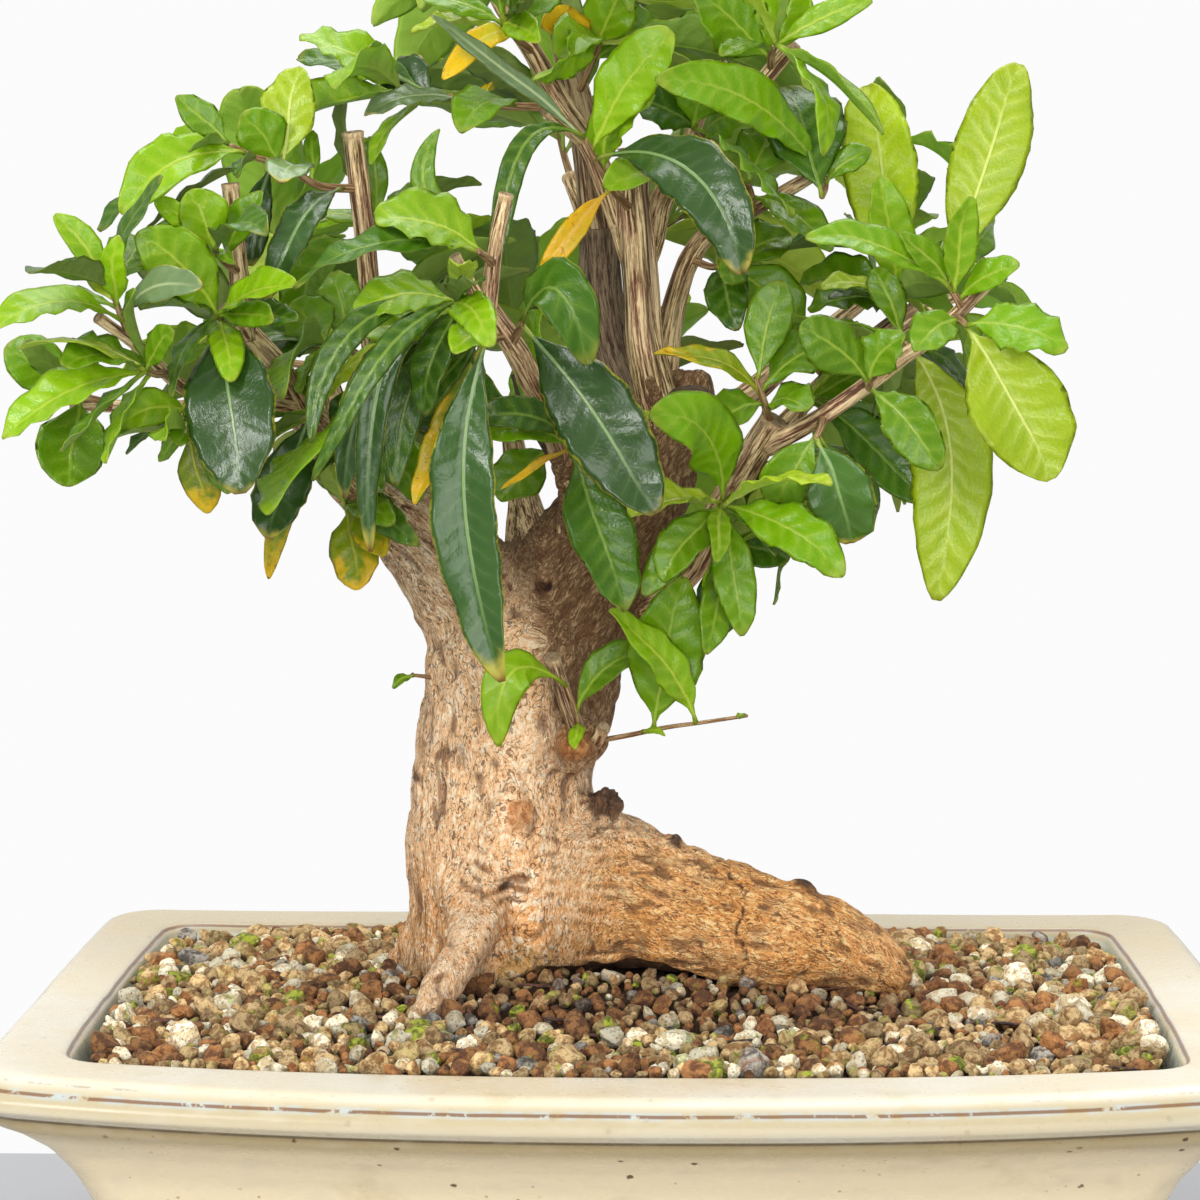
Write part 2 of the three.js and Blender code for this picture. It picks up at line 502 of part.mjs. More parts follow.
const SHOOTS = [
  shoot("far_left_tip", [[-120, -41, 255], [-123, -46, 261], [-126, -48, 270]], 1, [
    leaf(1, [-139, -52, 288], 7, 0.06, 25, "bright"),
    leaf(0.75, [-123, -58, 282], 7, 0.04, 10, "bright"),
    leaf(0.55, [-150, -66, 261], 11, 0.1, 60, "bright"),
    leaf(0.65, [-101, -62, 270], 9, 0.14, 35, "grey"),
    leaf(1, [-119, -30, 284], 12, 0.05, 20, "mid"),
  ]),
  shoot("far_left_low", [[-115, -35, 249], [-116, -44, 249], [-117, -52, 250]], 0, [
    leaf(0.9, [-151, -62, 234], 12, 0.1, 35, "bright"),
    leaf(0.5, [-135, -66, 252], 12, 0.12, 50, "mid"),
    leaf(1, [-108, -64, 260], 7, 0.08, 20, "mid"),
  ]),
  shoot("low_left_end", [[-131, -19, 240], [-135, -24, 242], [-140, -27, 243]], 0, [
    leaf(0.8, [-140, -34, 220], 16, 0.03, 8, "mid"),
    leaf(1, [-156, -30, 256], 13, 0.05, 25, "mid"),
    leaf(0.6, [-145, -8, 253], 12, 0.08, 30, "mid"),
  ]),
  shoot("left_hanging", [[-107, -27, 243], [-108, -38, 240], [-109, -42, 235]], 0, [
    leaf(0.55, [-125, -52, 237], 12, 0.12, 30, "bright"),
    leaf(0.75, [-109, -52, 232], 6, 0.05, 10, "mid"),
    leaf(1, [-104, -40, 214], 9, 0.04, 8, "olive"),
    leaf(0.95, [-117, -34, 227], 4, 0.04, 10, "mid"),
  ]),
  shoot("left_tip", [[-101, -14, 263], [-102, -26, 262], [-102, -34, 263]], 1, [
    leaf(0.8, [-93, -46, 220], 21, 0.05, 6, "dark"),
    leaf(1, [-120, -40, 283], 15, 0.05, 15, "bright"),
    leaf(0.7, [-120, -44, 265], 14, 0.12, 50, "mid"),
    leaf(0.6, [-96, -50, 248], 8, 0.08, 20, "bright"),
  ]),
  shoot("left_stub_side", [[-100, -14, 274], [-101, -24, 276], [-103, -30, 279]], 1, [
    leaf(1, [-109, -34, 294], 12, 0.06, 20, "bright"),
    leaf(0.6, [-91, -30, 294], 8, 0.06, 20, "mid"),
    leaf(0.8, [-127, -30, 276], 13, 0.1, 50, "mid"),
  ]),
  shoot("upper_left_spray", [
    [-73, 14, 295], [-81, 6, 296], [-89, 0, 301], [-96, -8, 303], [-102, -12, 306],
  ], 1, [
    leaf(0.52, [-86, 6, 327], 13, 0.05, 10, "lime"),
    leaf(0.55, [-99, -8, 314], 13, 0.06, 15, "mid"),
    leaf(1, [-115, -14, 318], 8, 0.05, 20, "mid"),
    leaf(0.82, [-126, -34, 288], 13, 0.16, 30, "bright"),
    leaf(0.3, [-83, 12, 311], 4, 0.05, 10, "mid"),
    leaf(0.38, [-88, -20, 296], 11, 0.16, 40, "grey"),
    leaf(0.1, [-92, -20, 265], 9, 0.1, 15, "dark", [-83, -20, 286]),
    leaf(0.6, [-97, -10, 275], 7, 0.08, 20, "dark"),
  ]),
  shoot("left_upright_side", [[-69, 18, 277], [-68, 24, 282], [-68, 30, 287]], 2, [
    leaf(0.9, [-69, 26, 310], 6, 0.05, 5, "mid"),
    leaf(0.7, [-52, 34, 295], 12, 0.08, 30, "mid"),
    leaf(0.5, [-87, 10, 259], 14, 0.15, 30, "mid"),
  ]),
  shoot("left_upright_low", [[-68, 20, 247], [-73, 12, 253], [-79, 6, 255]], 1, [
    leaf(0.9, [-96, 4, 254], 20, 0.1, 55, "deep"),
    leaf(0.6, [-79, 16, 275], 11, 0.06, 20, "mid"),
    leaf(1, [-89, 10, 266], 14, 0.06, 25, "mid"),
  ]),
  shoot("upper_left_high", [[-18, 28, 317], [-35, 18, 317], [-50, 10, 319], [-59, 6, 320]], 1, [
    leaf(1, [-85, -4, 332], 13, 0.12, 35, "bright"),
    leaf(0.7, [-65, 16, 324], 14, 0.08, 30, "dark"),
    leaf(0.5, [-67, -16, 315], 9, 0.06, 50, "grey"),
    leaf(0.25, [-43, -10, 309], 13, 0.14, 45, "mid"),
    leaf(0.45, [-44, 32, 319], 11, 0.06, 35, "yellow"),
  ]),
  shoot("top_left", [[-27, 26, 331], [-30, 14, 334], [-33, 6, 337]], 2, [
    leaf(0.5, [-48, -8, 322], 7, 0.12, 30, "yellow", [-36, 0, 334]),
    leaf(1, [-58, 4, 345], 9, 0.08, 40, "mid"),
    leaf(0.8, [-19, 14, 349], 11, 0.05, 20, "mid"),
  ]),
  shoot("front_twig", [[0, 22, 289], [-5, 12, 295], [-9, 3, 302], [-12, -4, 308]], 0, [
    leaf(0.95, [-51, -14, 338], 5, 0.03, 30, "grey"),
    leaf(1, [-34, -40, 269], 6, 0, 15, "deep", [-27, -30, 304]),
    leaf(0.8, [10, -10, 335], 14, 0.05, 12, "bright"),
    leaf(0.7, [28, -44, 273], 16, 0.16, 25, "dark", [15, -34, 299]),
    leaf(0.5, [6, -22, 319], 11, 0.08, 30, "bright"),
    leaf(0.35, [-24, 2, 270], 6, 0.08, 20, "orange"),
  ]),
  shoot("top_mid", [[-16, 52, 321], [-12, 42, 328], [-9, 34, 334]], 2, [
    leaf(0.7, [-25, 20, 336], 13, 0.08, 20, "orange"),
    leaf(1, [-19, 22, 330], 12, 0.1, 35, "bright"),
    leaf(0.9, [-2, 30, 350], 14, 0.05, 15, "bright"),
    leaf(0.6, [7, 46, 341], 13, 0.06, 20, "mid"),
  ]),
  shoot("crown_right", [[36, 22, 326], [36, 16, 330], [37, 10, 332]], 1, [
    leaf(0.3, [15, 8, 346], 19, 0.05, 12, "bright"),
    leaf(0.4, [43, 14, 348], 14, 0.05, 12, "bright"),
    leaf(0.8, [62, 8, 343], 7, 0.08, 20, "bright"),
  ]),
  shoot("diagonal_mid", [[18, 30, 306], [18, 22, 309], [16, 16, 311]], 1, [
    leaf(0.8, [-1, 10, 319], 13, 0.08, 30, "deep"),
    leaf(0.5, [31, 8, 315], 13, 0.1, 35, "bright"),
    leaf(1, [21, 6, 328], 12, 0.06, 20, "bright"),
  ]),
  shoot("mid_branch_tip", [[49, 17, 300], [50, 10, 296], [49, 4, 293]], 0, [
    leaf(0.25, [6, -8, 322], 13, 0.08, 25, "bright"),
    leaf(1, [40, 20, 324], 21, 0.05, 8, "deep"),
    leaf(0.5, [62, 18, 305], 7, 0.1, 40, "mid"),
  ]),
  shoot("mid_branch_mid", [[31, 28, 290], [31, 20, 294], [30, 14, 297]], 1, [
    leaf(0.8, [18, 14, 309], 12, 0.08, 25, "mid"),
    leaf(1, [38, 24, 313], 13, 0.06, 20, "mid"),
    leaf(0.5, [15, 0, 293], 10, 0.12, 40, "mid"),
    leaf(0.4, [52, 8, 279], 11, 0.12, 35, "mid"),
  ]),
  shoot("mid_branch_low", [[15, 37, 277], [21, 30, 275], [26, 24, 276]], 1, [
    leaf(0.9, [44, 22, 258], 14, 0.08, 20, "mid"),
    leaf(0.6, [27, 10, 259], 11, 0.08, 20, "deep"),
    leaf(1, [42, 30, 283], 12, 0.08, 30, "mid"),
  ]),
  shoot("behind_right_tip", [[70, 27, 261], [69, 22, 265], [69, 18, 268]], 1, [
    leaf(0.9, [62, 30, 323], 18, 0.04, 8, "lime"),
    leaf(1, [64, 8, 299], 11, 0.05, 12, "bright"),
    leaf(0.5, [46, 10, 263], 13, 0.14, 45, "mid"),
    leaf(0.7, [44, 34, 270], 12, 0.14, 40, "mid"),
  ]),
  shoot("long_right_upper", [[83, -25, 265], [81, -28, 268], [79, -28, 271]], 0, [
    leaf(0.9, [97, -16, 326], 17, 0.03, 8, "lime"),
    leaf(0.6, [83, -38, 293], 8, 0.05, 8, "bright"),
    leaf(1, [66, -34, 283], 8, 0.08, 25, "bright"),
    leaf(0.75, [43, -40, 283], 10, 0.1, 40, "bright"),
    leaf(0.3, [96, -36, 276], 8, 0.1, 35, "bright"),
  ]),
  shoot("long_right_lower", [[81, -23, 263], [82, -32, 262], [83, -38, 261]], 0, [
    leaf(0.8, [104, -44, 223], 22, 0.05, 6, "lime"),
    leaf(1, [107, -46, 255], 14, 0.12, 35, "bright"),
    leaf(0.4, [70, -42, 255], 11, 0.1, 35, "bright"),
  ]),
  shoot("right_hanging", [[69, -17, 252], [71, -8, 254], [70, -2, 256]], 1, [
    leaf(0.9, [79, -4, 190], 19, 0.07, 6, "lime", [81, -10, 231]),
    leaf(1, [62, 6, 276], 8, 0.06, 20, "mid"),
  ]),
  shoot("right_long_mid", [[61, -13, 246], [60, -24, 245], [59, -32, 247]], 0, [
    leaf(0.6, [77, -36, 225], 12, 0.08, 15, "mid"),
    leaf(1, [42, -40, 261], 13, 0.08, 25, "mid"),
    leaf(0.9, [68, -36, 259], 11, 0.1, 40, "mid"),
  ]),
  shoot("right_stem_top", [[37, -1, 234], [34, -10, 241], [32, -14, 247]], 0, [
    leaf(0.95, [38, -12, 272], 11, 0.05, 12, "mid"),
    leaf(0.6, [6, -22, 252], 9, 0.16, 40, "olive"),
    leaf(0.45, [19, -20, 234], 10, 0.1, 35, "mid"),
    leaf(0.35, [45, -22, 240], 11, 0.14, 45, "mid"),
    leaf(0.7, [55, -6, 257], 13, 0.12, 40, "mid"),
  ]),
  shoot("right_stem_side", [[43, -5, 235], [45, 4, 239], [47, 8, 241]], 1, [
    leaf(1, [76, 2, 214], 14, 0.06, 20, "deep"),
    leaf(0.8, [65, 14, 248], 14, 0.1, 40, "mid"),
  ]),
  shoot("right_center", [[27, 6, 218], [24, -8, 216], [23, -16, 214]], 0, [
    leaf(0.7, [8, -26, 240], 16, 0.06, 15, "bright"),
    leaf(0.85, [54, -36, 200], 13, 0.1, 30, "bright"),
    leaf(1, [8, -30, 197], 11, 0.1, 20, "bright"),
    leaf(0.95, [22, -34, 202], 6, 0.1, 20, "bright"),
    leaf(0.9, [29, -24, 182], 10, 0.06, 12, "mid"),
  ]),
  shoot("right_low_inner", [[19, 12, 205], [21, 2, 204], [23, -4, 203]], 1, [
    leaf(1, [24, -10, 181], 12, 0.05, 10, "deep"),
    leaf(0.7, [41, -6, 200], 11, 0.08, 25, "deep"),
  ]),
  shoot("right_inner", [[49, -9, 238], [48, -16, 234], [47, -20, 232]], 0, [
    leaf(1, [56, -24, 205], 16, 0.05, 10, "glossy"),
    leaf(0.7, [37, -16, 214], 13, 0.07, 15, "mid"),
    leaf(0.8, [61, -10, 206], 12, 0.06, 18, "deep"),
  ]),
  shoot("right_under", [[38, -1, 235], [41, 4, 228], [44, 6, 223]], 2, [
    leaf(1, [48, 4, 197], 12, 0.06, 15, "mid"),
    leaf(0.6, [34, 8, 204], 12, 0.06, 15, "deep"),
  ]),
  shoot("low_shoot", [[-11, 12, 150], [-1, -4, 154], [9, -10, 157], [19, -14, 159], [30, -16, 161]], 0, [
    leaf(0.42, [14, -16, 197], 18, 0.05, 10, "mid"),
    leaf(0.7, [-7, -26, 187], 10, 0.12, 35, "bright"),
    leaf(0.35, [9, -18, 156], 2, 0.1, 20, "bright"),
    leaf(0.96, [28, -20, 162], 2, 0.1, 30, "bright"),
  ]),
  shoot("low_spur", [[-12, 6, 155], [-14, -6, 160], [-17, -10, 169], [-20, -12, 175]], 0, [
    leaf(0.35, [5, -14, 176], 9, 0.16, 30, "mid"),
    leaf(0.62, [-33, -22, 153], 11, 0.16, 25, "bright", [-30, -22, 173]),
    leaf(0.2, [-14, -16, 152], 4, 0.1, 20, "bright"),
  ]),
  shoot("tiny_left", [[-48, 18, 165], [-54, 13, 167], [-58, 9, 168]], 0, [
    leaf(0.95, [-63, 6, 165], 3, 0.1, 30, "mid"),
  ]),
  shoot("hub_left", [[-35, -33, 266], [-38, -42, 267], [-42, -48, 266]], 0, [
    leaf(1, [-74, -66, 233], 7, 0, 20, "deep", [-66, -62, 260]),
    leaf(0.8, [-74, -72, 224], 6, 0, 25, "deep", [-56, -70, 256]),
    leaf(0.55, [-62, -60, 206], 7, 0, 15, "dark", [-58, -62, 251]),
    leaf(0.9, [-66, -58, 265], 13, 0.12, 40, "bright"),
  ]),
  shoot("hub_drape", [[-31, -27, 258], [-35, -38, 257], [-39, -44, 257]], 0, [
    leaf(1, [-69, -52, 218], 9, 0, 15, "dark", [-61, -50, 250]),
    leaf(0.9, [-57, -44, 221], 9, 0, 10, "deep", [-53, -42, 246]),
    leaf(0.6, [-51, -54, 217], 7, 0.04, 10, "half_yellow"),
    leaf(0.8, [-44, -40, 238], 8, 0.06, 20, "deep"),
  ]),
  shoot("hub_front", [[-34, -33, 264], [-33, -48, 263], [-33, -54, 261]], 0, [
    leaf(0.9, [-29, -62, 175], 15, 0, 4, "dark", [-39, -60, 219]),
    leaf(1, [-41, -68, 255], 9, 0.06, 12, "bright"),
  ]),
  shoot("hub_broad", [[-29, -25, 256], [-27, -36, 260], [-26, -42, 262]], 0, [
    leaf(0.8, [7, -56, 215], 19, 0.06, 8, "dark"),
    leaf(0.95, [-9, -58, 251], 13, 0.12, 20, "deep", [-17, -58, 270]),
  ]),
  shoot("hub_cut_side", [[-34, -35, 276], [-35, -46, 278], [-36, -52, 279]], 0, [
    leaf(0.6, [-61, -56, 287], 16, 0.12, 40, "bright"),
    leaf(0.9, [-81, -66, 271], 10, 0.12, 45, "deep"),
    leaf(0.4, [-46, -46, 308], 6, 0, 10, "mid", [-49, -48, 294]),
  ]),
  shoot("front_low", [[-17, -2, 223], [-15, -16, 228], [-15, -22, 231]], 0, [
    leaf(0.9, [-1, -34, 189], 15, 0.05, 8, "deep"),
    leaf(0.7, [-32, -36, 220], 2, 0.05, 20, "orange"),
  ]),
  shoot("crotch_fill", [[-9, 20, 214], [-17, 22, 221], [-23, 20, 229]], 2, [
    leaf(0.9, [-35, 12, 214], 13, 0.05, 15, "mid"),
    leaf(1, [-30, 16, 245], 14, 0.05, 15, "mid"),
    leaf(0.7, [-22, 6, 209], 11, 0.06, 15, "deep"),
  ]),
  shoot("left_limb_under", [[-81, 9, 230], [-82, -4, 235], [-82, -10, 238]], 0, [
    leaf(0.9, [-92, -18, 206], 13, 0.06, 10, "dark"),
    leaf(0.6, [-94, -4, 194], 6, 0.06, 20, "olive"),
  ]),
  shoot("left_limb_low", [[-69, 16, 215], [-73, 4, 215], [-74, -2, 213]], 0, [
    leaf(0.9, [-70, -8, 192], 12, 0.06, 10, "olive"),
    leaf(0.7, [-63, -14, 201], 8, 0.06, 15, "olive"),
  ]),
  shoot("left_limb_top", [[-73, 14, 220], [-68, 4, 230], [-65, -4, 237]], 1, [
    leaf(0.8, [-54, -12, 215], 12, 0.06, 12, "mid"),
    leaf(1, [-61, 0, 259], 13, 0.06, 20, "mid"),
    leaf(0.6, [-78, 4, 241], 11, 0.08, 25, "deep"),
  ]),
  shoot("top_crown_front", [[-20, 52, 361], [-25, 42, 365], [-27, 34, 369]], 7, []),
  shoot("top_crown_side", [[-19, 54, 338], [-8, 58, 346], [-0, 60, 351]], 7, []),
  shoot("back_left_end", [[-92, 76, 257], [-98, 84, 264], [-100, 88, 274]], 7, []),
  shoot("back_left_inner", [[-80, 40, 234], [-74, 50, 245], [-70, 56, 255]], 6, []),
  shoot("back_left_side", [[-85, 60, 247], [-99, 60, 249], [-108, 60, 251]], 7, []),
  shoot("back_mid_end", [[-17, 85, 297], [-21, 92, 307], [-23, 94, 315]], 7, []),
  shoot("back_mid_side", [[-12, 70, 283], [4, 78, 285], [13, 84, 289]], 7, []),
  shoot("back_right_end", [[62, 86, 264], [69, 92, 272], [73, 92, 281]], 7, []),
  shoot("back_right_low", [[46, 73, 252], [54, 80, 243], [62, 84, 237]], 7, []),
  shoot("back_low_end", [[-33, 90, 242], [-34, 96, 251], [-38, 96, 260]], 7, []),
  shoot("back_low_side", [[-31, 56, 212], [-45, 66, 214], [-56, 72, 218]], 7, []),
  shoot("back_low_right", [[-35, 76, 230], [-21, 84, 228], [-10, 88, 228]], 7, []),
  shoot("back_far_right_end", [[88, 62, 267], [94, 68, 274], [97, 70, 283]], 7, []),
];

// A point on the midrib, a quadratic curve through the base, a control point and the tip.
function midrib(blade, t) {
  const a = (1 - t) * (1 - t);
  const b = 2 * t * (1 - t);
  const c = t * t;
  return [0, 1, 2].map((k) => a * blade.base[k] + b * blade.control[k] + c * blade.tip[k]);
}

// The midrib's point, the side direction and the face direction at t.
function bladeFrame(blade, t) {
  const point = midrib(blade, t);
  const heading = unit(sub(midrib(blade, Math.min(t + 0.02, 1)), midrib(blade, Math.max(t - 0.02, 0))));
  const side = unit(cross(heading, blade.facing));
  return { point, side, face: cross(side, heading) };
}

// Half width of the blade at t: a slim stalk that opens into a lance-shaped blade.
function halfWidth(blade, t) {
  const s = Math.max(t - 0.07, 0) / 0.93;
  const outline = Math.pow(Math.sin(Math.PI * Math.pow(s, 0.92)), 0.75);
  return Math.max(0.5 * blade.width * outline, t < 0.5 ? PETIOLE_HALF_WIDTH : 0);
}

function bladeOf(base, tip, width, arch, facing, tone, via) {
  const chord = sub(tip, base);
  const span = length(chord);
  const along = unit(chord);
  const upward = add([0, 0, 0.8], scale(facing, 0.6));
  const rise = unit(sub(upward, scale(along, dot(upward, along))));
  const middle = mix(base, tip, 0.5);
  const control = via ? sub(scale(via, 2), middle) : add(middle, scale(rise, 2 * arch * span));
  return { base, tip, control, width, facing, tone, span };
}

const FRONT = [0, -1, 0];
const UP = [0, 0, 1];
const facingOf = (outward, roll) =>
  unit(add(scale(outward, Math.cos(radians(roll))), scale(UP, Math.sin(radians(roll)))));

// Sample points over a blade, for keeping leaves apart.
function samplesOf(blade) {
  const samples = [];
  const steps = Math.ceil((blade.span * 1.1) / SAMPLE_STEP);
  for (let i = 1; i <= steps; i++) {
    const t = i / steps;
    const { point, side, face } = bladeFrame(blade, t);
    const half = halfWidth(blade, t);
    const across = Math.ceil(half / SAMPLE_STEP);
    for (let k = -across; k <= across; k++) {
      const offset = across ? (half * k) / across : 0;
      const fold = BLADE_FOLD * Math.abs(offset);
      samples.push({ t, at: add(point, add(scale(side, offset), scale(face, fold))) });
    }
  }
  return samples;
}

const CELL = 4;
const cellKey = (i, j, k) => (i * 1024 + j) * 1024 + k;
const cellOf = (p) => p.map((v) => Math.floor(v / CELL) + 200);

// Everything that leaves keep clear of: other blades and twigs as points, limbs as capsules.
const occupied = new Map();
function occupy(samples, owner) {
  for (const { t, at } of samples) {
    const key = cellKey(...cellOf(at));
    if (!occupied.has(key)) occupied.set(key, []);
    occupied.get(key).push({ at, owner, t });
  }
}

const capsules = WOOD.flatMap(([, , , , points]) => {
  const list = [];
  const pieces = 2 * (points.length - 1);
  for (let k = 0; k < pieces; k++) {
    const a = along(points, k / pieces);
    const b = along(points, (k + 1) / pieces);
    list.push({ a: a.slice(0, 3), b: b.slice(0, 3), radius: 1.04 * Math.max(a[3], b[3]) });
  }
  return list;
});

// The twig's line with its root moved to the axis of the nearest limb.
function rooted(path) {
  let best = null;
  for (const { a, b } of capsules) {
    const run = sub(b, a);
    const t = Math.min(Math.max(dot(sub(path[0], a), run) / dot(run, run), 0), 1);
    const at = add(a, scale(run, t));
    const gap = length(sub(path[0], at));
    if (!best || gap < best.gap) best = { at, gap };
  }
  return best.gap < ROOT_REACH ? [best.at, ...path.slice(1)] : path;
}

function touchesWood(p) {
  return capsules.some(({ a, b, radius }) => {
    const run = sub(b, a);
    const t = Math.min(Math.max(dot(sub(p, a), run) / dot(run, run), 0), 1);
    const gap = sub(p, add(a, scale(run, t)));
    const least = radius + WOOD_CLEARANCE;
    return dot(gap, gap) < least * least;
  });
}

// Whether the viewer sees the point inside the crown's outline.
function inCrown(p) {
  const shrink = VIEWER[1] / (VIEWER[1] - p[1]);
  const x = VIEWER[0] + (p[0] - VIEWER[0]) * shrink;
  const z = VIEWER[2] + (p[2] - VIEWER[2]) * shrink;
  let inside = false;
  CROWN_OUTLINE.forEach(([x1, z1], k) => {
    const [x2, z2] = CROWN_OUTLINE[(k + 1) % CROWN_OUTLINE.length];
    if (z1 > z !== z2 > z && x < x1 + ((x2 - x1) * (z - z1)) / (z2 - z1)) inside = !inside;
  });
  return inside;
}

function isClear(blade, owner, own) {
  for (const { t, at } of samplesOf(blade)) {
    if (Math.abs(at[0]) > REACH[0] || Math.abs(at[1]) > REACH[1]) return false;
    if (at[2] > REACH[2] || at[2] < LOWEST_LEAF) return false;
    if (t * blade.span > 3.5 && touchesWood(at)) return false;
    const [i, j, k] = cellOf(at);
    for (let a = i - 1; a <= i + 1; a++) {
      for (let b = j - 1; b <= j + 1; b++) {
        for (let c = k - 1; c <= k + 1; c++) {
          for (const other of occupied.get(cellKey(a, b, c)) ?? []) {
            const same = other.owner === owner;
            if (same && (t < own || other.t < own)) continue;
            const gap = sub(at, other.at);
            const least = same ? OWN_SHOOT_CLEARANCE : LEAF_CLEARANCE;
            if (dot(gap, gap) < least * least) return false;
          }
        }
      }
    }
  }
  return true;
}

// What a leaf whose place is taken tries: a shift of its tip in y with more arch, then a slimmer blade.
const NUDGES = [
  [0, 0], [-4, 0.02], [4, 0.02], [-8, 0.05], [8, 0.05], [-12, 0.08], [12, 0.08], [-17, 0.1], [17, 0.1],
  [-23, 0.12], [23, 0.12],
];
const SLIMMER = [1, 0.8, 0.6];
const OWN_FREE_HAND = 0.4;
const OWN_FREE_RULE = 0.3;

// A leaf placed by hand, swung a little to the front or the back where its place is taken.
function placeByHand(plan, twig, owner) {
  const base = along(twig, plan.t);
  const facing = facingOf(FRONT, plan.roll);
  for (const share of SLIMMER) {
    for (const [shift, lift] of NUDGES) {
      const tip = add(plan.tip, [0, shift, 0]);
      const via = plan.via && add(plan.via, [0, shift * 0.7, 0]);
      const blade = bladeOf(base, tip, share * plan.width, plan.arch + lift, facing, plan.tone, via);
      if (isClear(blade, owner, OWN_FREE_HAND)) return { ...blade, t: plan.t };
    }
  }
  return null;
}

const RULE_ATTEMPTS = 16;
const RULE_TONES = ["mid", "bright", "mid", "deep", "bright", "lime", "mid", "deep"];

// A leaf placed by rule: opposite pairs down the twig, each pair at a right angle to the last.
function placeByRule(index, twig, owner) {
  const random = randomFrom(1000 + 97 * owner + 13 * index);
  const t = Math.max(1 - 0.26 * Math.floor(index / 2), 0.4);
  const base = along(twig, t);
  const heading = unit(sub(along(twig, Math.min(t + 0.05, 1)), along(twig, Math.max(t - 0.05, 0))));
  const across = unit(cross(heading, Math.abs(heading[2]) > 0.9 ? [1, 0, 0] : UP));
  const other = cross(heading, across);
  const outward = unit([base[0] - TREE_AXIS[0], base[1] - TREE_AXIS[1], 0]);
  const start = random() * Math.PI;
  const size = 40 + 26 * random();
  const slim = 0.23 + 0.1 * random();
  const roll = 20 + 50 * random();
  const arch = 0.05 + 0.09 * random();
  const tone = RULE_TONES[Math.floor(random() * RULE_TONES.length)];
  for (let attempt = 0; attempt < RULE_ATTEMPTS; attempt++) {
    const angle = start + (Math.floor(index / 2) * Math.PI) / 2 + (index % 2) * Math.PI + attempt * 0.7;
    const spread = add(scale(across, Math.cos(angle)), scale(other, Math.sin(angle)));
    const aim = unit(add(add(scale(heading, 0.5), spread), add(scale(outward, 0.4), [0, 0, -0.12])));
    const span = size * (1 - 0.035 * attempt);
    const tip = add(base, scale(aim, span));
    const facing = facingOf(outward, roll);
    const blade = bladeOf(base, tip, span * slim, arch, facing, tone, null);
    const within = [0.4, 0.7, 1].every((at) => inCrown(midrib(blade, at)));
    if (within && isClear(blade, owner, OWN_FREE_RULE)) return { ...blade, t };
  }
  return null;
}

// The four corners of a blade's section at t: left edge, rib above, right edge, rib below.
function bladeSection(blade, t) {
  const { point, side, face } = bladeFrame(blade, t);
  const half = halfWidth(blade, t);
  const edge = add(point, scale(face, BLADE_FOLD * half));
  const rib = scale(face, BLADE_RIB_THICK / 2);
  return [add(edge, scale(side, -half)), add(point, rib), add(edge, scale(side, half)), sub(point, rib)];
}

function stationsOf(blade) {
  if (blade.span > LONG_BLADE) return [0.2, 0.44, 0.68, 0.88];
  if (blade.span > SHORT_BLADE) return [0.26, 0.56, 0.83];
  return [0.34, 0.75];
}

// Spaces the blades of a twig out in nodes NODE_LENGTH long, each with up to four blades, one a side.
function nodesOf(twig, rings, blades) {
  const run = twig.reduce((sum, p, k) => (k ? sum + length(sub(p, twig[k - 1])) : 0), 0);
  const step = NODE_LENGTH / run;
  const nodes = [];
  const ordered = [...blades].sort((a, b) => b.t - a.t);
  for (const blade of ordered) {
    const { across, other } = rings(blade.t);
    const aim = sub(midrib(blade, 0.35), blade.base);
    const facesOf = [other, scale(across, -1), scale(other, -1), across];
    const wish = [0, 1, 2, 3].sort((a, b) => dot(facesOf[b], aim) - dot(facesOf[a], aim));
    const last = nodes[nodes.length - 1];
    const near = last && last.t - blade.t < 1.05 * step;
    const free = near ? wish.slice(0, 2).find((side) => !last.sides[side]) : undefined;
    if (free !== undefined) {
      last.sides[free] = blade;
      continue;
    }
    const t = near ? last.t - 1.3 * step : Math.min(blade.t, 1 - step);
    nodes.push({ t, sides: { [wish[0]]: blade } });
  }
  return { nodes: nodes.reverse(), step };
}

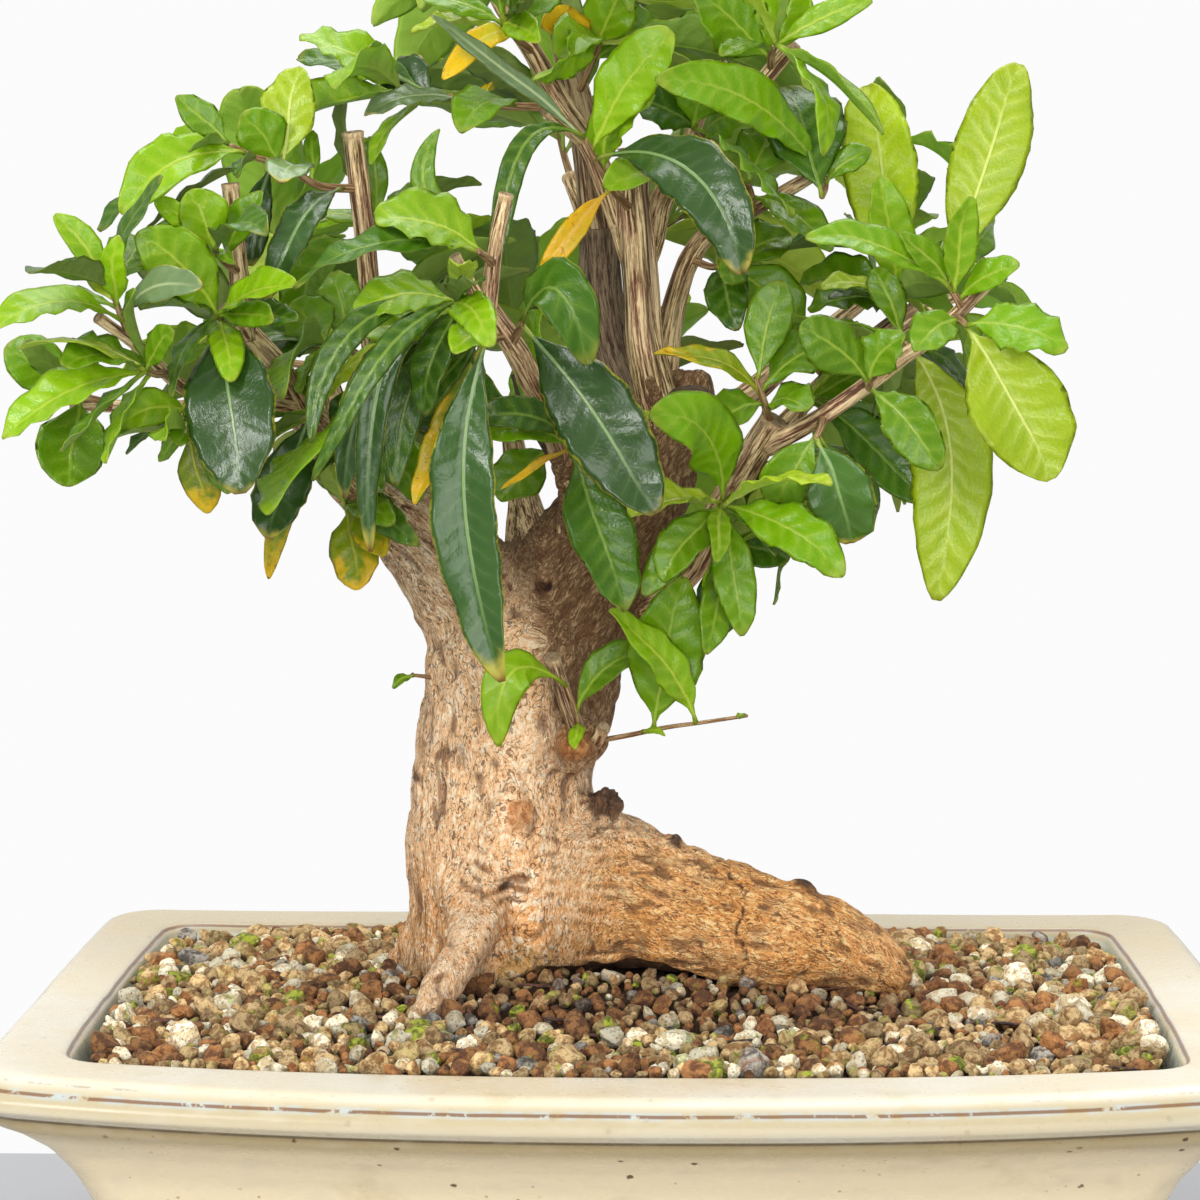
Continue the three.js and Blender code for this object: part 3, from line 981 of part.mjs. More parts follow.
// A twig with its blades as one closed surface: each blade grows out of one face of a square twig.
function shootSolid(twig, blades) {
  let across = null;
  const frameAt = (t) => {
    const point = along(twig, t);
    const heading = unit(sub(along(twig, Math.min(t + 0.02, 1)), along(twig, Math.max(t - 0.02, 0))));
    const guess = across ?? (Math.abs(heading[2]) > 0.8 ? [1, 0, 0] : UP);
    const side = unit(sub(guess, scale(heading, dot(guess, heading))));
    return { point, across: side, other: cross(heading, side) };
  };
  across = frameAt(0).across;
  const { nodes, step } = nodesOf(twig, frameAt, blades);
  const places = [0];
  for (const { t } of nodes) {
    const from = Math.max(t - step / 2, places[places.length - 1] + 0.05 * step);
    places.push(from, from + step);
  }
  const top = places[places.length - 1];
  if (top < 1 - 0.2 * step) places.push(1);

  const points = [];
  const triangles = [];
  const quad = (a, b, c, d) => triangles.push([a, b, c], [a, c, d]);
  for (const place of places) {
    const { point, across: u, other: v } = frameAt(place);
    const half = TWIG_HALF_SIDE * (place === 0 ? ROOT_SHARE : 1.1 - 0.3 * place);
    for (const [i, j] of [[1, 1], [-1, 1], [-1, -1], [1, -1]]) {
      points.push(add(point, add(scale(u, i * half), scale(v, j * half))));
    }
  }
  for (let r = 0; r + 1 < places.length; r++) {
    const node = r % 2 === 1 ? nodes[(r - 1) / 2] : null;
    for (let side = 0; side < 4; side++) {
      const a = 4 * r + side;
      const b = 4 * r + ((side + 1) % 4);
      const blade = node?.sides[side];
      if (!blade) {
        quad(a, b, b + 4, a + 4);
        continue;
      }
      growBlade(points, triangles, [a, b, b + 4, a + 4], blade);
    }
  }
  triangles.push([0, 2, 1], [0, 3, 2]);
  const end = 4 * (places.length - 1);
  triangles.push([end, end + 1, end + 2], [end, end + 2, end + 3]);
  return solidOf(points, triangles);
}

// Grows a blade out of the loop of four points, counter-clockwise seen from the blade.
function growBlade(points, triangles, loop, blade) {
  const sections = stationsOf(blade).map((t) => bladeSection(blade, t));
  const centre = (list) => scale(list.reduce(add), 1 / list.length);
  const corners = loop.map((k) => points[k]);
  const loopCentre = centre(corners);
  const sectionCentre = centre(sections[0]);
  const match = (turn) =>
    [0, 1, 2, 3].reduce((sum, k) => {
      const from = unit(sub(corners[(k + turn) % 4], loopCentre));
      return sum + dot(from, unit(sub(sections[0][k], sectionCentre)));
    }, 0);
  const turn = [0, 1, 2, 3].reduce((best, k) => (match(k) > match(best) ? k : best), 0);
  let from = [0, 1, 2, 3].map((k) => loop[(k + turn) % 4]);
  for (const section of sections) {
    const to = section.map((p) => points.push(p) - 1);
    const [l, m, r, u] = from;
    const [l2, m2, r2, u2] = to;
    // both faces are split from the edge to the rib, so that they cannot cross
    triangles.push([l, m, m2], [l, m2, l2], [m, r, m2], [r, r2, m2]);
    triangles.push([r, u, u2], [r, u2, r2], [u, l, u2], [l, l2, u2]);
    from = to;
  }
  const tip = points.push(blade.tip) - 1;
  for (let k = 0; k < 4; k++) triangles.push([from[k], from[(k + 1) % 4], tip]);
}

// ---- the assembled tree -------------------------------------------------------------------------

const twigSamples = (path) => {
  const samples = [];
  for (let k = 1; k <= 14; k++) samples.push({ t: 0, at: along(path, k / 14) });
  return samples;
};
const twigs = SHOOTS.map(({ path }) => rooted(path));
twigs.forEach((twig, owner) => occupy(twigSamples(twig), owner));

const blades = SHOOTS.map(() => []);
SHOOTS.forEach(({ leaves }, owner) => {
  leaves.forEach((plan) => {
    const blade = placeByHand(plan, twigs[owner], owner);
    if (!blade) return;
    occupy(samplesOf(blade), owner);
    blades[owner].push(blade);
  });
});
SHOOTS.forEach(({ more }, owner) => {
  for (let index = 0; index < more; index++) {
    const blade = placeByRule(index, twigs[owner], owner);
    if (!blade) continue;
    occupy(samplesOf(blade), owner);
    blades[owner].push(blade);
  }
});

const TONES = {
  dark: "#3f5e42",
  deep: "#4a7036",
  mid: "#6a9438",
  bright: "#7fa63c",
  lime: "#a3bd42",
  glossy: "#5d8a48",
  grey: "#8a9a7c",
  olive: "#8c8a34",
  yellow: "#b3a42c",
  half_yellow: "#c9a02a",
  orange: "#c98a2e",
};

// The tone that most of a shoot's blades have.
function mainTone(list) {
  const count = (tone) => list.filter((blade) => blade.tone === tone).length;
  return list.map(({ tone }) => tone).reduce((best, tone) => (count(tone) > count(best) ? tone : best));
}

const bonsai = new THREE.Group();
function place(name, solid, color, roughness) {
  const material = new THREE.MeshStandardMaterial({ color, roughness, metalness: 0 });
  const mesh = new THREE.Mesh(geometryOf(solid), material);
  mesh.name = name;
  bonsai.add(mesh);
}

const wood = makeWood(0);
const woodHollow = makeWood(GAP);
place("pot", makePot(), "#e9dfc6", 0.25);
place("drain_screen_left", makeScreen(-DRAIN_X), "#2f3330", 0.6);
place("drain_screen_right", makeScreen(DRAIN_X), "#2f3330", 0.6);
place("soil", makeSoil(woodHollow), "#8f7250", 0.95);
place("trunk", wood, "#c79e6b", 0.85);
SHOOTS.forEach(({ name }, owner) => {
  const solid = shootSolid(twigs[owner], blades[owner]).subtract(woodHollow);
  place(`shoot_${name}`, solid, TONES[mainTone(blades[owner])], 0.45);
});

export default bonsai;
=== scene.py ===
import math

import bpy
import numpy as np
from bpy.props import FloatProperty, FloatVectorProperty, IntProperty, PointerProperty
from mathutils import Euler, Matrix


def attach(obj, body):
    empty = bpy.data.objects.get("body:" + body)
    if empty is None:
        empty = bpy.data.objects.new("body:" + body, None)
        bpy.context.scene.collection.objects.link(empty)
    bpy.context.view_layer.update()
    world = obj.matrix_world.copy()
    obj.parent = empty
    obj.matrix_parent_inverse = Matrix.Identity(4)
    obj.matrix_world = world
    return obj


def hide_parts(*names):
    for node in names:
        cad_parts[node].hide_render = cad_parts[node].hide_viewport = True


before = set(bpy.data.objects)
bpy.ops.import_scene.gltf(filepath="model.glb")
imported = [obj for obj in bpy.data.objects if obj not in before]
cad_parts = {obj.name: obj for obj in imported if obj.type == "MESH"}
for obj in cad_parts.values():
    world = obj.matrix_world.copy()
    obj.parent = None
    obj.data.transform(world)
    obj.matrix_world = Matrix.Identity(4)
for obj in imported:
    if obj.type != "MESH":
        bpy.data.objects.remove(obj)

bl_info = {
    "name": "Pomegranate bonsai",
    "version": (1, 0, 0),
    "blender": (4, 5, 0),
    "location": "3D view > Sidebar > Bonsai",
    "description": "Grows a pomegranate bonsai in its glazed pot over the packed solids",
    "category": "Add Mesh",
}

MM = 0.001  # every size below is in millimetres


# ---- pot ----

RIM_HALF_LENGTH = 156.5
RIM_HALF_DEPTH = 103.0
LONG_SIDE_BOW = 12.5
INNER_BOW = 8.5  # the long sides bow less on the inside
SHORT_SIDE_BOW = 3.0
CORNER_RADIUS = 12.0
CORNER_LIFT = 2.5
FLOOR_UNDERSIDE = 8.0
FLOOR_TOP = 17.0
FOOT_HALF = (20.0, 14.0)
FOOT_PLACE = (90.0, 42.0)
FOOT_CORNER = 3.0
FOOT_SECTION = [(0.0, 2.0), (0.6, 0.8), (2.0, 0.0), (7.0, 0.0), (9.0, 0.6)]  # height, inset
DRAIN_RADIUS = 10.0
DRAIN_X = 55.0
DRAIN_CUT = (-5.0, 25.0)  # from below the floor to above it
# the pot's section: inset from the rim's outer edge, height, share of the corners' lift
POT_SECTION = [
    [38.5, 8, 0], [37, 18, 0], [33, 33, 0], [28, 45.5, 0], [23, 56.5, 0], [17.5, 64, 0.2],
    [10.5, 69.2, 0.6], [5.6, 71.6, 0.9], [3.4, 75.2, 1], [0, 77.4, 1], [0.4, 80, 1], [2.4, 81.6, 1],
    [3.6, 83.6, 1], [6.4, 85, 1], [21, 85, 0.6], [23, 83.4, 0.5], [25.5, 73, 0], [38.5, 46, 0],
    [43, 28, 0], [45, 17, 0],
]
LIP = 8  # the section's point under the rim's lip
ARRIS = 11  # at the break of the rim's outer edge
RIM_TOP = 13  # where the rim's flat top starts
INNER_EDGE = 14  # and at the rim's inner edge


# ---- soil ----

SOIL_EDGE_LEVEL = 82.4
MOUND_LEVEL = 89.0
SOIL_INSET = 24.9
SOIL_CELLS = (150, 96)
SOIL_DROP = 2.2  # how far the fine soil lies below the lumps' feet
SOIL_SIDE = [(26.4, 72.8), (39.4, 45.8), (45.9, 17.3)]  # inset and height, down to the pot's floor
LUMP_SHAPES = 24
LUMP_PLANES = 11
BIG_LUMP = (3.4, 4.6)
MIDDLE_LUMP = (2.5, 3.4)
SMALL_LUMP = (1.6, 2.3)
BIG_SHARE = 9  # one lump in so many is big
LUMP_SPACING = 0.72
LUMP_MISSES = 1200
LUMP_SINK = 2.5  # how deep in the wood a lump may start
FLAKE_SHAPE = (1.9, 0.5, 0.22)
# each kind of lump: its name, its share of the lumps, light and dark colours, moss and pits
LUMP_KINDS = [
    ("brown_lumps", 0.23, (172, 120, 70), (104, 66, 38), 0.0, 0.6),
    ("tan_lumps", 0.4, (222, 190, 136), (154, 116, 70), 0.16, 0.8),
    ("cream_lumps", 0.21, (255, 246, 216), (214, 190, 146), 0.12, 1.0),
    ("mossy_lumps", 0.1, (200, 176, 118), (140, 112, 64), 0.9, 0.5),
    ("grey_lumps", 0.04, (172, 166, 154), (88, 82, 74), 0.0, 0.5),
    ("dark_flakes", 0.012, (110, 74, 62), (54, 38, 38), 0.0, 0.0),
]


# ---- tree ----

TREE_AXIS = (-20.0, 20.0)
BLADE_FOLD = 0.16
PETIOLE_HALF_WIDTH = 0.8
PETIOLE_SHARE = 0.07  # of a leaf's length
BLADE_SHARE = 0.93
VEIN_SPACING = 4.6
VEIN_SLANT = 0.2
ROOT_REACH = 8.0
REACH = (157.0, 112.0, 392.0)
LOWEST_LEAF = 100.0
VIEWER = (15.0, -850.0, 278.0)
SAMPLE_STEP = 2.6
LEAF_CLEARANCE = 3.1
WOOD_CLEARANCE = 1.1
OWN_SHOOT_CLEARANCE = 1.6
OWN_FREE_HAND = 0.4
OWN_FREE_RULE = 0.3
RULE_ATTEMPTS = 16
PAIR_STEP = 0.26  # pairs stand this share of the twig apart
LOWEST_PAIR = 0.4
TURN_STEP = 0.7  # each further attempt turns the leaf, in radians, and shortens it
SHORTER_STEP = 0.035
RULE_TONES = ("mid", "bright", "mid", "deep", "bright", "lime", "mid", "deep")
NUDGES = [
    (0, 0), (-4, 0.02), (4, 0.02), (-8, 0.05), (8, 0.05), (-12, 0.08), (12, 0.08), (-17, 0.1), (17, 0.1),
    (-23, 0.12), (23, 0.12),
]
SLIMMER = (1, 0.8, 0.6)
YOUNG_LEAVES = 4
YOUNG_CLEARANCE = 1.2
BARE_SHOOTS = ("low_shoot", "low_spur", "tiny_left")
OPEN_SHOOTS = (*BARE_SHOOTS, "right_stem_top", "right_long_mid", "right_inner", "long_right_lower",
               "diagonal_mid", "mid_branch_tip", "mid_branch_mid", "hub_front", "hub_broad",
               "hub_cut_side", "front_twig")
# The crown's outline (x, z) at the tree's depth, as a viewer in front of the tree sees it.
CROWN_OUTLINE = [
    [-163, 269], [-151, 291], [-136, 287], [-121, 305], [-117, 320], [-93, 326], [-87, 336], [-72, 336],
    [-60, 345], [-55, 368], [-38, 376], [-18, 381], [7, 378], [28, 366], [43, 353], [60, 342], [68, 320],
    [79, 308], [95, 328], [101, 300], [93, 280], [114, 255], [114, 222], [92, 228], [82, 190], [68, 205],
    [38, 194], [30, 180], [14, 163], [2, 165], [-10, 196], [-40, 200], [-62, 196], [-78, 192], [-98, 212],
    [-125, 219], [-156, 228],
]

# Each limb: its name, roughness and points (x, y, z, radius).
WOOD = [
    ("trunk", 0.035, [[-36, 25, 67, 28], [-36, 25, 82, 26.4], [-36, 25, 97, 24.9], [-36, 25, 112, 24.8],
        [-36, 25, 126, 24.9], [-35.5, 25, 138, 24.5], [-34, 25, 149, 24.5], [-31, 25, 160, 25.3],
        [-29.5, 26, 172, 26], [-31, 26, 184, 22], [-34, 25, 193, 14.5], [-36, 24, 200, 6.5]]),
    ("right_root", 0.06, [[-30, 24, 105, 23.9], [-11, 20, 107, 23.4], [5, 16, 105, 19], [20, 12, 102, 17.3],
        [32, 8, 100, 15.2], [46, 5, 98, 13], [56, 2, 96, 10.9], [66, -1, 92, 7.7], [72, -3, 88, 4.1]]),
    ("toe_root", 0.06, [[-42, 12, 117, 12.1], [-40, -2, 106, 7.7], [-43, -14, 99, 5.4], [-48, -22, 92, 4.8],
        [-51, -29, 85, 4.1]]),
    ("left_root", 0.06, [[-44, 24, 97, 19.3], [-55, 30, 89, 10.6], [-65, 36, 81, 5.8]]),
    ("back_root", 0.06, [[-32, 34, 97, 19.3], [-24, 50, 90, 10.6], [-14, 62, 80, 5.8]]),
    ("burl", 0.12, [[-20, 18, 146, 8.7], [-15, 8, 150, 7.7], [-13, 1, 154, 5.3]]),
    ("root_knob", 0.15, [[-17, 20, 124, 8], [-10, 17, 130, 5.2], [-5, 15, 134, 3.4]]),
    ("root_ridge", 0.12, [[36, 7, 104, 9], [43, 6, 109, 5], [49, 6, 111, 2.2]]),
    ("left_limb", 0.05, [[-33, 25, 163, 19.5], [-40, 25, 182, 16.8], [-50, 22, 197, 14.2],
        [-62, 18, 211, 10.4], [-73, 14, 220, 7.3], [-81, 8, 231, 5.5], [-87, 2, 240, 4.1],
        [-92, -4, 250, 3.5], [-98, -10, 258, 3.1], [-102, -15, 265, 2.8]]),
    ("right_limb", 0.06, [[-26, 26, 168, 19], [-18, 27, 183, 19.6], [-9, 28, 200, 17.6], [2, 30, 214, 13.9],
        [9, 32, 226, 10.2], [14, 34, 237, 7.5], [15, 36, 246, 5.4]]),
    ("striped_upright", 0.04, [[9, 30, 231, 6.9], [6, 28, 242, 5.3], [3, 26, 256, 4.8], [2, 25, 269, 4.6],
        [1, 24, 282, 4.5], [0, 24, 295, 4.3], [1, 24, 304, 4.2], [1, 24, 306, 4.8]]),
    ("grey_stem", 0.06, [[5, 40, 226, 6.6], [-5, 50, 247, 6], [-9, 51, 266, 5.5], [-10, 51, 285, 5.2]]),
    ("top_stem", 0.04, [[-10, 51, 281, 4.6], [-14, 53, 312, 4], [-19, 54, 336, 3.6], [-19, 54, 353, 3.3],
        [-21, 52, 365, 2.5]]),
    ("pale_top", 0.04, [[-3, 34, 285, 3], [-11, 31, 306, 2.8], [-20, 28, 320, 2.7], [-27, 26, 332, 2.4],
        [-35, 24, 344, 2.1], [-39, 22, 353, 1.7]]),
    ("pale_top_root", 0, [[1, 25, 274, 3.3], [-3, 34, 286, 3.1]]),
    ("pale_stub", 0, [[-13, 31, 308, 2.1], [-23, 20, 316, 1.7]]),
    ("diagonal", 0.04, [[1, 25, 271, 3.3], [5, 33, 282, 3], [9, 33, 296, 2.7], [26, 27, 314, 2.4],
        [42, 20, 333, 2.2]]),
    ("diagonal_behind", 0.04, [[5, 33, 282, 2.7], [8, 42, 292, 2.3], [15, 48, 309, 2], [24, 52, 334, 1.7]]),
    ("mid_branch", 0.04, [[7, 34, 238, 4.2], [11, 38, 265, 3.1], [18, 38, 282, 2.7], [30, 30, 289, 2],
        [42, 22, 296, 1.8], [54, 14, 303, 1.6]]),
    ("right_stem", 0.04, [[-1, 25, 184, 7.7], [15, 16, 196, 4.4], [24, 8, 214, 3.8], [31, 2, 226, 3.7],
        [37, -2, 236, 3.5]]),
    ("long_right", 0.04, [[35, 0, 229, 2.9], [47, -8, 236, 2.3], [58, -14, 244, 2.1], [68, -18, 252, 2],
        [76, -22, 258, 1.9], [85, -26, 267, 1.7], [92, -30, 275, 1.6]]),
    ("behind_right", 0.04, [[35, 0, 230, 2.7], [48, 12, 243, 2.2], [57, 20, 251, 2], [68, 26, 260, 1.8],
        [81, 32, 268, 1.7]]),
    ("dead_wood", 0.1, [[10, 28, 238, 4.6], [18, 20, 240, 3.4], [23, 14, 234, 1.9]]),
    ("left_upright", 0.04, [[-63, 18, 208, 6.3], [-67, 20, 229, 3.5], [-68, 20, 245, 3.1],
        [-70, 18, 279, 2.7], [-73, 14, 310, 2.6]]),
    ("left_stub", 0.04, [[-98, -10, 257, 3.1], [-99, -14, 269, 2.5], [-100, -15, 283, 2.3],
        [-101, -16, 296, 2.1]]),
    ("far_left", 0.04, [[-87, 2, 239, 3.3], [-100, -18, 242, 1.9], [-111, -30, 245, 1.7],
        [-120, -41, 255, 1.5], [-129, -50, 263, 1.4]]),
    ("low_left", 0.04, [[-97, -14, 242, 2.2], [-111, -23, 240, 1.8], [-127, -20, 240, 1.6],
        [-142, -16, 240, 1.4]]),
    ("hub_stem", 0.06, [[-14, 26, 199, 8.7], [-14, 10, 213, 4.8], [-17, -2, 225, 3.4], [-21, -12, 238, 3],
        [-25, -18, 247, 3], [-30, -26, 257, 2.9], [-36, -33, 266, 2.8]]),
    ("hub_cut", 0.04, [[-35, -32, 264, 2.1], [-33, -35, 280, 1.8], [-30, -37, 293, 1.7]]),
    ("hub_nub", 0, [[-36, -33, 265, 1.8], [-43, -36, 278, 1.4]]),
    ("back_left", 0.04, [[-75, 13, 222, 5.3], [-80, 40, 234, 3.3], [-87, 62, 249, 2.5],
        [-94, 80, 260, 1.9]]),
    ("back_mid", 0.04, [[-9, 51, 268, 4.1], [-12, 70, 283, 3.1], [-19, 88, 300, 2.1]]),
    ("back_right", 0.04, [[7, 32, 220, 6.8], [29, 54, 238, 3.7], [48, 74, 253, 2.7], [65, 88, 266, 1.9]]),
    ("back_low", 0.04, [[-26, 34, 191, 9.7], [-31, 56, 212, 4.3], [-35, 76, 230, 2.9],
        [-33, 92, 243, 1.9]]),
    ("back_far_right", 0.04, [[56, 19, 250, 2.3], [72, 44, 259, 2], [90, 64, 268, 1.6]]),
]
